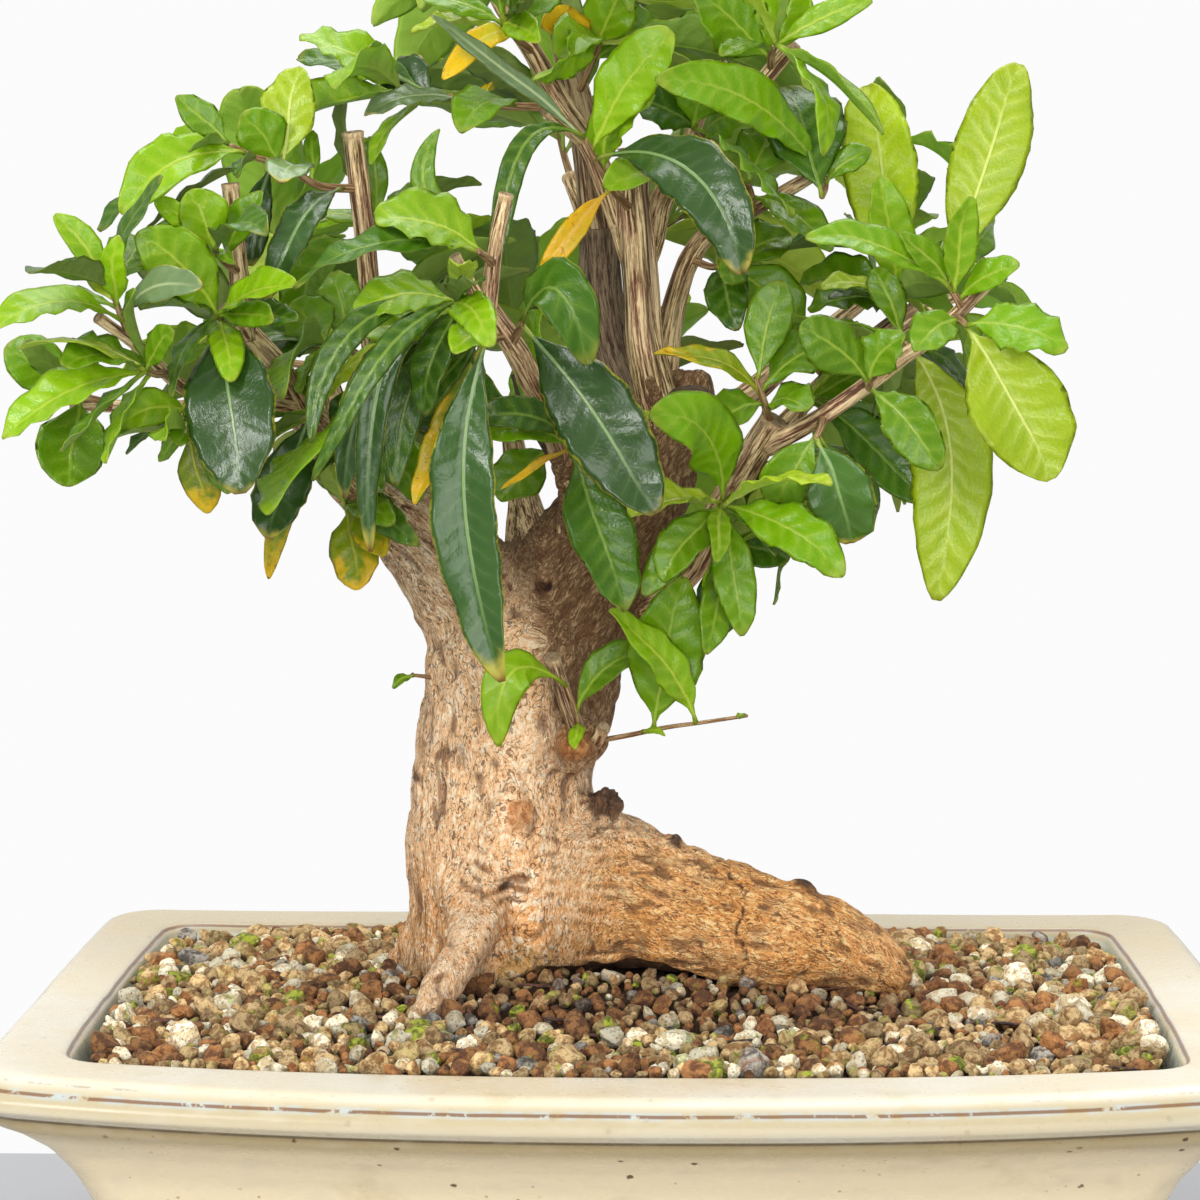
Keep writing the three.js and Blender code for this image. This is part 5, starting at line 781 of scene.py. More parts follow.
def cut_round_hole(mesh, x, radius):
    """Cuts an upright round hole through the pot's floor."""
    sides = 32
    angle = np.linspace(0, 2 * math.pi, sides + 1)[:-1]
    rings = []
    for z in DRAIN_CUT:
        ring = np.stack([x + radius * np.cos(angle), radius * np.sin(angle), np.full(sides, z)], axis=1)
        rings.append(ring)
    points = np.vstack(rings + [[[x, 0, z]] for z in DRAIN_CUT])
    lower = fan_faces(np.arange(sides), 2 * sides, flip=True)
    upper = fan_faces(np.arange(sides, 2 * sides), 2 * sides + 1)
    cutter_mesh = mesh_of("cutter", points, [ring_faces(2, sides), lower, upper])
    cutter = put("cutter", cutter_mesh)
    result = changed_by(mesh, "BOOLEAN", {"operation": "DIFFERENCE", "solver": "EXACT", "object": cutter})
    bpy.data.objects.remove(cutter)
    bpy.data.meshes.remove(cutter_mesh)
    return result


def foot_block(x, y):
    """A foot with eased edges: its points and faces."""
    ring = []
    r = FOOT_CORNER
    for z, inset in FOOT_SECTION:
        for k in range(4):
            cx = (FOOT_HALF[0] - inset - r) * (1 if k in (0, 3) else -1)
            cy = (FOOT_HALF[1] - inset - r) * (1 if k in (0, 1) else -1)
            for angle in np.radians(np.linspace(90 * k, 90 * k + 90, 5)):
                ring.append([x + cx + r * math.cos(angle), y + cy + r * math.sin(angle), z])
    count = len(ring)
    sides = count // len(FOOT_SECTION)
    bottom = fan_faces(np.arange(sides), count, flip=True)
    top = fan_faces(np.arange(count - sides, count), count + 1)
    points = np.vstack([ring, [[x, y, 0.0]], [[x, y, FOOT_SECTION[-1][0]]]])
    return points, [ring_faces(len(FOOT_SECTION), sides), bottom, top]


def pot_mesh():
    """The pot: a lofted wall and rim, a floor with drain holes, and four feet."""
    section, run, marks = fine_section()
    keep = [0]
    for k in range(1, len(section)):
        sharp = marks[LIP] - 3 < run[k] < marks[RIM_TOP] + 2 or abs(run[k] - marks[INNER_EDGE]) < 3.5
        if run[k] - run[keep[-1]] > (0.5 if sharp else 2.0) or k == len(section) - 1:
            keep.append(k)
    rings = []
    for inset, z, lift, bow in section[keep]:
        x, y, rise = pot_outline(inset, lift, bow)
        rings.append(np.stack([x, y, z + rise], axis=1))
    sides = len(rings[0])
    points = np.vstack(rings)
    profile = np.repeat(run[keep], sides)
    count = len(points)
    points = np.vstack([points, [[0, 0, FLOOR_UNDERSIDE]], [[0, 0, FLOOR_TOP]]])
    under = fan_faces(np.arange(sides), count, flip=True)
    floor = fan_faces(np.arange(count - sides, count), count + 1)
    mesh = mesh_of("pot_body", points, [ring_faces(len(keep), sides), under, floor])
    give(mesh, "profile", np.concatenate([profile, [0, run[-1]]]))
    for side in (-1, 1):
        mesh = cut_round_hole(mesh, side * DRAIN_X, DRAIN_RADIUS)
    body = places_of(mesh)
    stored = np.zeros(len(body), np.float32)
    mesh.attributes["profile"].data.foreach_get("value", stored)
    faces = {}
    for polygon in mesh.polygons:
        faces.setdefault(len(polygon.vertices), []).append(list(polygon.vertices))
    shapes = [(body, [np.array(rows) for rows in faces.values()])]
    for sx in (-1, 1):
        for sy in (-1, 1):
            shapes.append(foot_block(sx * FOOT_PLACE[0], sy * FOOT_PLACE[1]))
    bpy.data.meshes.remove(mesh)
    points, faces = joined(shapes)
    pot = mesh_of("glazed_pot", points, faces)
    give(pot, "profile", np.concatenate([stored, np.zeros(len(points) - len(body))]))
    return pot, marks


def glaze_finish(settings, marks):
    """Cream glaze that breaks to brown and pale blue along its edges, with iron specks."""
    f = Finish("Cream glaze")
    place = f.place()
    profile = f.read("profile", "Fac")
    x, y, height = f.parts(place)
    lip, arris, inner = (float(marks[k]) for k in (LIP, ARRIS, INNER_EDGE))
    broad = f.noise(place, 22.0, 3.0, 0.6)
    cloudy = f.noise(f.stretch(place, (1, 1, 2.2)), 95.0, 3.0, 0.55)
    wander = (f.noise(place, 60.0, 2.0) - 0.5) * 2.0
    rim = f.step(profile, lip - 1.0, lip + 1.0)
    band = rim * f.step(profile, arris + 3.6, arris + 0.4) * f.step(profile, lip + 2.0, lip + 6.5)
    colour = f.blend(f.step(broad, 0.35, 0.7), settings.warm_colour, settings.body_colour)
    # painted shade: the glaze darkens towards the pot's back
    colour = f.blend(f.step(y, -0.02, 0.09) * 0.9, colour, paint(178, 164, 132))
    # painted shade darkens the rim's front band
    colour = f.blend(band * 0.9, colour, paint(176, 163, 130))
    # painted shade on the wall under the rim's overhang, deepest just under the lip
    wall = f.blend(f.step(profile, lip - 15.0, lip - 1.5), settings.wall_colour, paint(184, 165, 124))
    wall = f.blend(f.step(profile, lip - 3.5, lip - 0.6) * 0.5, wall, paint(130, 110, 76))
    colour = f.blend(1 - rim, colour, wall)
    # painted shadow: a thin dark line just under the lip
    lip_shadow = f.step(abs(profile - (lip - 0.3)), 0.9, 0.25)
    colour = f.blend(lip_shadow * 0.8, colour, paint(84, 68, 42))
    colour = f.blend(f.step(cloudy, 0.5, 0.78) * 0.28, colour, paint(206, 197, 176))
    stains = f.step(f.noise(place, 38.0, 4.0, 0.65), 0.54, 0.74)
    colour = f.blend(stains * 0.4, colour, paint(194, 172, 130))
    ends = f.step(abs(x), 0.03, 0.13)
    sides = f.step(abs(x), 0.118, 0.128)
    # break lines: a thin brown line that comes and goes, in a bluish halo
    lines = (
        (arris, 1.0, 1.7, 0.4, 0.38, 0.7),
        (arris + 2.9, ends * 0.4, 1.5, 0.26, 0.5, 0.7),
        (inner + 1.0, 1.0, 1.6, 0.42, 0.22, 0.2 + sides * 0.35),
    )
    for mark, strength, reach, thin, gaps, blue in lines:
        gap = abs(profile - (wander * 0.3 + mark))
        halo = f.step(gap, reach, 0.2) * f.step(f.noise(place, 210.0, 3.0), 0.36, 0.6)
        colour = f.blend(halo * strength * blue, colour, paint(176, 190, 196))
        comes = f.step(f.noise(f.stretch(place, (1, 1, 0.3)), 130.0, 4.0, 0.75), gaps, gaps + 0.08)
        line = f.step(gap, thin * 1.7, thin * 0.6) * comes
        colour = f.blend(line * strength * 0.9, colour, settings.edge_colour)
    inside = f.step(profile, inner + 2.2, inner + 4.0)
    basin = f.blend(f.step(cloudy, 0.4, 0.6), paint(182, 192, 176), paint(206, 206, 188))
    colour = f.blend(inside * 0.85, colour, basin)
    # iron specks and pits, in loose swarms
    swarm = f.step(f.noise(place, 30.0, 2.0), 0.4, 0.5)
    ragged = f.cells(place, 115.0) + (f.noise(place, 1100.0, 2.0) - 0.5) * 0.16
    specks = f.step(ragged, 0.12, 0.06) * swarm
    dots = f.step(f.cells(place, 240.0), 0.13, 0.07) * f.step(f.noise(place, 55.0, 2.0), 0.48, 0.6)
    colour = f.blend(dots * (0.6 - rim * 0.45), colour, paint(150, 104, 50))
    specks = specks * (1 - rim * 0.8)
    colour = f.blend(specks * 0.9, colour, paint(84, 52, 24))
    raw = f.step(height, 0.0016, 0.0009)
    colour = f.blend(raw, colour, settings.clay_colour)
    rough = 0.26 + f.step(cloudy, 0.4, 0.8) * 0.14 + raw * 0.5 + specks * 0.3
    normal = f.relief(f.noise(place, 55.0, 3.0), 0.0002, 0.6)
    return f.done(f.surface(colour, rough, normal, 0.3))


def plastic_finish():
    """Dull dark plastic for the screens over the drain holes."""
    f = Finish("Screen plastic")
    grain = f.noise(f.place(), 900.0, 2.0)
    colour = f.blend(grain, paint(44, 48, 46), paint(58, 62, 59))
    return f.done(f.surface(colour, 0.6, f.relief(grain, 0.0001, 0.5)))


# ---- soil ----


def soil_level(x, y):
    """Height of the soil's surface under its lumps: mounded round the tree."""
    mound = np.exp(-1.6 * (((x + 5) / 120) ** 2 + ((y - 15) / 75) ** 2))
    return SOIL_EDGE_LEVEL + (MOUND_LEVEL - SOIL_EDGE_LEVEL) * mound


def soil_place(u, v, inset):
    """The point at shares u, v in -1..1 of the soil's length and depth."""
    half_x = RIM_HALF_LENGTH - inset
    half_y = RIM_HALF_DEPTH - inset
    shrink = half_x / RIM_HALF_LENGTH
    pull = 0.03 * (u * v) ** 4
    x = u * half_x * (1 - pull)
    y = v * half_y * (1 - pull * 1.6)
    bow_x = SHORT_SIDE_BOW * shrink * (1 - v * v) * u
    bow_y = INNER_BOW * shrink * (1 - u * u) * v
    return x + bow_x, y + bow_y


def soil_mesh():
    """The fine soil between the lumps: a crumbly surface closed down to the pot's floor."""
    long_cells, deep_cells = SOIL_CELLS
    u, v = np.meshgrid(*(np.linspace(-1, 1, cells + 1) for cells in SOIL_CELLS), indexing="ij")
    x, y = soil_place(u.ravel(), v.ravel(), SOIL_INSET)
    flat = np.stack([x, y, np.zeros(len(x))], axis=1)
    crumb = 0.9 * noise(flat, 5.5, 3) + 0.6 * noise(flat, 2.6, 4)
    edge = smooth(np.maximum(np.abs(u), np.abs(v)).ravel(), 0.985, 1.0)
    z = soil_level(x, y) - SOIL_DROP + crumb - 1.0 * edge
    points = [np.stack([x, y, z], axis=1)]
    stride = deep_cells + 1
    i = np.arange(long_cells)[:, None]
    j = np.arange(deep_cells)[None, :]
    a = i * stride + j
    top = np.stack([a, a + stride, a + stride + 1, a + 1], axis=-1).reshape(-1, 4)
    border = [k * stride for k in range(long_cells)]
    border += [long_cells * stride + k for k in range(deep_cells)]
    border += [k * stride + deep_cells for k in range(long_cells, 0, -1)]
    border += list(range(deep_cells, 0, -1))
    border = np.array(border)
    faces = [top]
    above = border
    count = len(x)
    for inset, level in SOIL_SIDE:
        bx, by = soil_place(u.ravel()[border], v.ravel()[border], inset)
        points.append(np.stack([bx, by, np.full(len(bx), level)], axis=1))
        below = np.arange(count, count + len(border))
        ahead = np.roll(np.arange(len(border)), -1)
        faces.append(np.stack([below, below[ahead], above[ahead], above], axis=-1))
        above = below
        count += len(border)
    points.append([[0, 0, SOIL_SIDE[-1][1]]])
    faces.append(fan_faces(above, count, flip=True))
    return mesh_of("fine_soil", np.vstack(points), faces)


def ball(levels=2):
    """Points of a ball of radius 1 and its triangles, from an octahedron."""
    points = [(1, 0, 0), (-1, 0, 0), (0, 1, 0), (0, -1, 0), (0, 0, 1), (0, 0, -1)]
    faces = [(0, 2, 4), (2, 1, 4), (1, 3, 4), (3, 0, 4), (2, 0, 5), (1, 2, 5), (3, 1, 5), (0, 3, 5)]
    points = [np.array(p, float) for p in points]
    for _ in range(levels):
        middles = {}
        finer = []
        for a, b, c in faces:
            cut = []
            for p, q in ((a, b), (b, c), (c, a)):
                key = (min(p, q), max(p, q))
                if key not in middles:
                    middles[key] = len(points)
                    points.append(unit(points[p] + points[q]))
                cut.append(middles[key])
            ab, bc, ca = cut
            finer += [(a, ab, ca), (ab, b, bc), (ca, bc, c), (ab, bc, ca)]
        faces = finer
    return np.array(points), np.array(faces)


def lump_shapes():
    """Shapes of soil lumps: balls cut by random planes with their edges a little worn."""
    directions, faces = ball()
    rng = np.random.default_rng(41)
    shapes = []
    for _ in range(LUMP_SHAPES):
        planes = unit(rng.normal(size=(LUMP_PLANES, 3)))
        depth = rng.uniform(0.62, 1.0, LUMP_PLANES)
        facing = np.maximum(directions @ planes.T, 1e-3)
        reach = np.minimum((depth / facing).min(axis=1), 1.18)
        worn = 0.95 * reach + 0.05 * 0.85
        rough = 1 + 0.05 * noise(directions * 10, 4.0, int(rng.integers(99)))
        proportions = rng.uniform((0.8, 0.72, 0.6), (1.35, 1.0, 0.9))
        shapes.append(directions * (worn * rough)[:, None] * proportions)
    return shapes, faces


def spread_lumps(settings):
    """Where the lumps lie and how big they are, thrown down without crowding."""
    rng = np.random.default_rng(17)
    places = np.zeros((0, 2))
    sizes = np.zeros(0)
    wanted = settings.lump_count
    roots = wood_capsules()
    for big in (True, False):
        limit = wanted // BIG_SHARE if big else wanted
        misses = 0
        while len(sizes) < limit and misses < LUMP_MISSES:
            if big:
                size = rng.uniform(*BIG_LUMP)
            else:
                size = rng.choice([rng.uniform(*SMALL_LUMP), rng.uniform(*MIDDLE_LUMP)])
            edge = 1 - 0.55 * size / np.array([131.0, 78.0])
            u, v = rng.uniform(-1, 1, 2) * edge
            x, y = soil_place(u, v, SOIL_INSET)
            gap = (places[:, 0] - x) ** 2 + (places[:, 1] - y) ** 2
            crowded = np.any(gap < (LUMP_SPACING * (sizes + size)) ** 2)
            if crowded or depth_in_wood(np.array([[x, y, soil_level(x, y) + 1]]), roots)[0] > LUMP_SINK:
                misses += 1
                continue
            misses = 0
            places = np.vstack([places, [x, y]])
            sizes = np.append(sizes, size)
    return places, sizes, rng


def lump_meshes(settings):
    """One mesh of lumps for each kind."""
    shapes, faces = lump_shapes()
    places, sizes, rng = spread_lumps(settings)
    shares = np.array([kind[1] for kind in LUMP_KINDS])
    picks = rng.choice(len(shares), len(sizes), p=shares / shares.sum())
    # the long root and the tree stand in darker, finer soil
    near_root = smooth(-np.hypot((places[:, 0] - 5) / 75, (places[:, 1] + 12) / 30), -1.3, -0.7)
    darker = rng.random(len(sizes)) < 0.45 * near_root
    picks[darker & (picks < 3)] = 0
    meshes = []
    for number, (name, *_) in enumerate(LUMP_KINDS):
        flake = name == "dark_flakes"
        points = []
        kinds = []
        underside_shade = []
        for k in np.flatnonzero(picks == number):
            size = min(sizes[k], 2.8) if flake else sizes[k] * (1 - 0.25 * near_root[k])
            turn = np.array(Euler(rng.uniform(0, 6.28, 3)).to_matrix())
            shape = shapes[rng.integers(len(shapes))]
            if flake:
                shape = shape * FLAKE_SHAPE
                tilt = (rng.uniform(-0.2, 0.2), rng.uniform(-0.2, 0.2), rng.uniform(0, 6.28))
                turn = np.array(Euler(tilt).to_matrix())
            shape = shape @ turn.T * size
            shape[:, 2] *= 0.9
            x, y = places[k]
            lift = (0.6 if flake else rng.uniform(-0.1, 0.42)) * size
            edge = max(abs(x) / 131, abs(y) / 84)
            points.append(shape + [x, y, soil_level(x, y) + lift + 0.9 * smooth(edge, 0.85, 1.0)])
            # painted shade, darker towards each lump's underside
            underside_shade.append(smooth(-shape[:, 2] / size, -0.3, 0.5))
            kinds.append(np.tile([rng.random(), rng.random(), near_root[k]], (len(shape), 1)))
        starts = len(shapes[0]) * np.arange(len(points))
        all_faces = (faces[None] + starts[:, None, None]).reshape(-1, 3)
        mesh = mesh_of(name, np.vstack(points), [all_faces])
        shade_faces(mesh, False)
        give(mesh, "lump", np.vstack(kinds))
        give(mesh, "underside_shade", np.concatenate(underside_shade))
        meshes.append(mesh)
    return meshes


def crumb_finish(settings):
    """Dark reddish fine soil, darkened further as painted shade for the gaps between the lumps."""
    f = Finish("Fine soil")
    place = f.place()
    grain = f.noise(place, 900.0, 3.0, 0.7)
    patch = f.noise(place, 60.0, 2.0)
    colour = f.blend(f.step(grain, 0.3, 0.7), paint(62, 40, 26), settings.crumb_colour)
    colour = f.blend(f.step(patch, 0.45, 0.7) * 0.5, colour, paint(84, 74, 48))
    return f.done(f.surface(colour, 0.95, f.relief(grain, 0.0012)))


def lump_finish(name, light, dark, moss, pits):
    """A porous lump: two tones, pits, and moss on some."""
    f = Finish(name.replace("_", " ").capitalize())
    place = f.place()
    odd, other, deep = f.parts(f.read("lump"))
    mottle = f.noise(place, 330.0, 3.0, 0.65)
    colour = f.blend(f.step(mottle, 0.4, 0.57), paint(*dark), paint(*light))
    # painted shade darkens each lump towards its underside
    colour = f.shade(colour, (0.48 + odd * 0.74) * (1 - f.read("underside_shade", "Fac") * 0.55))
    rust = f.step(f.noise(place, 520.0, 2.0, 0.6) + (odd - 0.5) * 0.3, 0.6, 0.72)
    colour = f.blend(rust * 0.5, colour, paint(146, 90, 46))
    colour = f.blend(deep * 0.3, colour, paint(92, 54, 32))
    pit = f.step(f.cells(place, 900.0), 0.38, 0.12) * pits
    colour = f.shade(colour, 1 - pit * 0.55)
    spread = f.noise(place, 230.0, 3.0, 0.6) + (other - 0.5) * 0.34
    green = f.step(spread, 0.7 - 0.2 * moss, 0.77 - 0.2 * moss)
    tint = f.blend(f.step(f.noise(place, 620.0, 2.0), 0.4, 0.6), paint(84, 96, 16), paint(158, 172, 44))
    colour = f.blend(green * (0.55 + 0.35 * moss), colour, tint)
    height = f.noise(place, 780.0, 3.0, 0.7)
    return f.done(f.surface(colour, 0.9, f.relief(height, 0.001)))


# ---- trunk, roots and branches ----

# the limbs under the old bark, and the last of each one's points that it covers
ALL = 99
THICK_WOOD = {
    "trunk": ALL, "right_root": ALL, "toe_root": ALL, "left_root": ALL, "back_root": ALL, "burl": ALL,
    "root_knob": ALL, "root_ridge": ALL, "left_limb": 6, "right_limb": ALL,
}
COLLAR_RADIUS = 5.5  # a younger limb with a thicker foot gets a collar of old bark
EASING_PASSES = 90
EASE_IN = 0.5
EASE_OUT = -0.47  # a little less, so that edges round off and little shrinks
# how dead and dark some of the younger wood is; the grey stem's darkness is partly painted shade
DEAD_WOOD = {"dead_wood": 1.0, "dead_twig": 1.0, "grey_stem": 0.85, "top_stem": 0.4, "burl_stub": 0.35}
# marks on the trunk's front: x, z, radius, height (below 0 for a hollow), darkness (below 0 for orange);
# the darkness in a hollow is painted shade
KNOTS = [
    (-23.6, 190.8, 3.0, -2.4, 1.0), (-23.6, 190.8, 6.5, 1.0, 0.1), (-53.8, 183.6, 2.6, 1.2, -0.25),
    (-57.7, 139.9, 2.6, 0.8, 0.8), (-29.5, 132.2, 4.6, 2.2, -0.7), (-32.1, 113.6, 1.7, -1.6, 1.0),
    (-6.5, 134.5, 6.5, 1.6, 1.3), (11.5, 123, 2.2, 1.8, 0.9), (45, 114.5, 3.4, 1.4, 0.9),
    # the mark of height 0 is only painted shade, under the burl
    (-15, 150.7, 6.0, 0.6, -0.5), (-9, 143.5, 4.0, 0.0, 0.5),
]
# a crack down the long root's front, and the edge of the hollow under it, which is darkened as painted
# shadow (x, z)
ROOT_CRACK = [(25.6, 119), (28.6, 112.5), (27.4, 105), (30.6, 98.5), (29.6, 91)]
HOLLOW_EDGE = [(-41, 83), (-34, 88), (-25, 92), (-10, 94), (8, 92.5), (20, 89.5), (30, 84)]
# younger wood that has no plain solid: two sawn stubs on the burl and a thin dead twig in the crotch
SMALL_WOOD = [
    ("burl_stub", 0, [[-13, 10, 150, 3.0], [-15, 1, 157, 2.4], [-17.5, -6, 166, 2.1],
        [-20, -12, 175.5, 2.0]]),
    ("burl_nub", 0, [[-11, 8, 149, 2.6], [-8.5, 0, 153, 1.9], [-7, -4, 156, 1.6]]),
    ("dead_twig", 0, [[-18, 14, 212, 1.0], [-19, 12, 221, 0.8], [-23, 10, 228, 0.7], [-28, 8, 237, 0.6],
        [-31, 6, 247, 0.45]]),
]


def wood_capsules():
    """Short straight lengths of every limb with their radii, for keeping things out of the wood."""
    starts = []
    ends = []
    for _, _, points in WOOD:
        pieces = 2 * (len(points) - 1)
        line = along(points, np.arange(pieces + 1) / pieces)
        starts.append(line[:-1])
        ends.append(line[1:])
    a = np.vstack(starts)
    b = np.vstack(ends)
    return a[:, :3], b[:, :3], 1.04 * np.maximum(a[:, 3], b[:, 3])


def depth_in_wood(points, capsules):
    """How deep each point lies in the wood, below 0 outside it."""
    a, b, radius = capsules
    run = b - a
    length2 = (run * run).sum(axis=1)
    rel = points[:, None, :] - a[None]
    t = np.clip((rel * run[None]).sum(axis=2) / length2[None], 0, 1)
    gap = np.linalg.norm(rel - t[..., None] * run[None], axis=2)
    return (radius[None] - gap).max(axis=1)


def tube(points, step, sides, seed, ridges=0.0, cut=True, flutes=0.0):
    """A limb's skin: points, faces, grain, how far each point is sawn wood, and its ridges."""
    points = np.asarray(points, float)
    length = np.linalg.norm(np.diff(points[:, :3], axis=0), axis=1).sum()
    count = max(int(length / step), 4)
    t = np.linspace(0, 1, count + 1)
    line = along(points, t)
    heading = unit(np.gradient(line[:, :3], axis=0))
    guess = np.array([1.0, 0, 0]) if abs(heading[0, 2]) > 0.8 else np.array([0, 0, 1.0])
    angle = 2 * math.pi * np.arange(sides) / sides
    rings = []
    grains = []
    for r in range(count + 1):
        across = unit(guess - heading[r] * (guess @ heading[r]))
        other = np.cross(heading[r], across)
        guess = across
        round_ = np.cos(angle)[:, None] * across + np.sin(angle)[:, None] * other
        spread = np.full((sides, 1), t[r] * length)
        base = max(line[r, 3], 1.2)
        grain = np.hstack([np.cos(angle)[:, None] * base, np.sin(angle)[:, None] * base, spread])
        grains.append(grain + seed * 31.0)
        rings.append((line[r, :3], round_, line[r, 3]))
    grain = np.vstack(grains)
    stretched = grain * [1, 1, 0.07]
    ridge = 1 - np.abs(noise(stretched, 1.5, seed)) * 2
    lump = noise(grain * [1, 1, 0.35], 5.0, seed + 3)
    wobble = 0.36 * np.sin(3 * np.tile(angle, count + 1) + seed + 2.2 * np.repeat(t, sides))
    height = ridges * ridge + 0.6 * ridges * lump
    place = []
    for r, (middle, round_, radius) in enumerate(rings):
        rows = slice(r * sides, (r + 1) * sides)
        reach = radius * (1 + flutes * wobble[rows]) + height[rows] * min(1, radius / 3)
        if cut and r == count:
            reach = reach * 1.08
        place.append(middle + round_ * reach[:, None])
    sawn = np.zeros(len(grain))
    if cut:
        sawn[-sides:] = 1.0
        sawn[-2 * sides:-sides] = 0.8
    faces = [ring_faces(count + 1, sides)]
    place = np.vstack(place)
    middle, round_, radius = rings[-1]
    if cut:
        rim = place[-sides:]
        for share, ahead in ((0.86, 0.25), (0.45, 0.32)):
            ring = middle + (rim - middle) * share + heading[-1] * ahead
            place = np.vstack([place, ring])
            grain = np.vstack([grain, grain[-sides:] * [share, share, 1]])
            sawn = np.append(sawn, np.ones(sides))
        faces = [ring_faces(count + 3, sides)]
    last = len(place)
    place = np.vstack([place, [middle + heading[-1] * 0.35], [line[0, :3]]])
    grain = np.vstack([grain, [seed * 31.0 + np.array([0, 0, length])], [grain[0]]])
    sawn = np.append(sawn, [1.0 if cut else 0.0, 0.0])
    faces.append(fan_faces(np.arange(last - sides, last), last))
    faces.append(fan_faces(np.arange(sides), last + 1, flip=True))
    return place, faces, grain, sawn, ridge


def remeshed(points, faces, size):
    """The outer skin of overlapping closed shapes, in even squares of a size."""
    rough = mesh_of("rough_wood", points, faces)
    return changed_by(rough, "REMESH", {"mode": "VOXEL", "voxel_size": size * MM})


def eased(mesh, places, passes, share):
    """The places after smoothing along the mesh's edges, by a share for each point."""
    edges = np.zeros(2 * len(mesh.edges), np.int32)
    mesh.edges.foreach_get("vertices", edges)
    a, b = edges.reshape(-1, 2).T
    n = len(places)
    degree = np.maximum(np.bincount(a, minlength=n) + np.bincount(b, minlength=n), 1)
    for turn in range(passes):
        weight = EASE_IN if turn % 2 == 0 else EASE_OUT
        mean = np.empty_like(places)
        for k in range(3):
            total = np.bincount(a, places[b, k], n) + np.bincount(b, places[a, k], n)
            mean[:, k] = total / degree
        places = places + (mean - places) * (weight * share)[:, None]
    return places


def centre_line(names, values, by):
    """Where the limbs' middle line runs at each value, read along one axis."""
    points = np.vstack([points for name, _, points in WOOD if name in names])
    order = np.argsort(points[:, by])
    points = points[order]
    return [np.interp(values, points[:, by], points[:, k]) for k in range(3)]


def near_line(x, z, line):
    """How far each place x, z is from a line of points."""
    p = np.stack([x, z], axis=1)
    best = np.full(len(x), 1e3)
    for a, b in zip(np.array(line[:-1], float), np.array(line[1:], float)):
        run = b - a
        t = np.clip((p - a) @ run / (run @ run), 0, 1)
        best = np.minimum(best, np.linalg.norm(p - a - t[:, None] * run, axis=1))
    return best


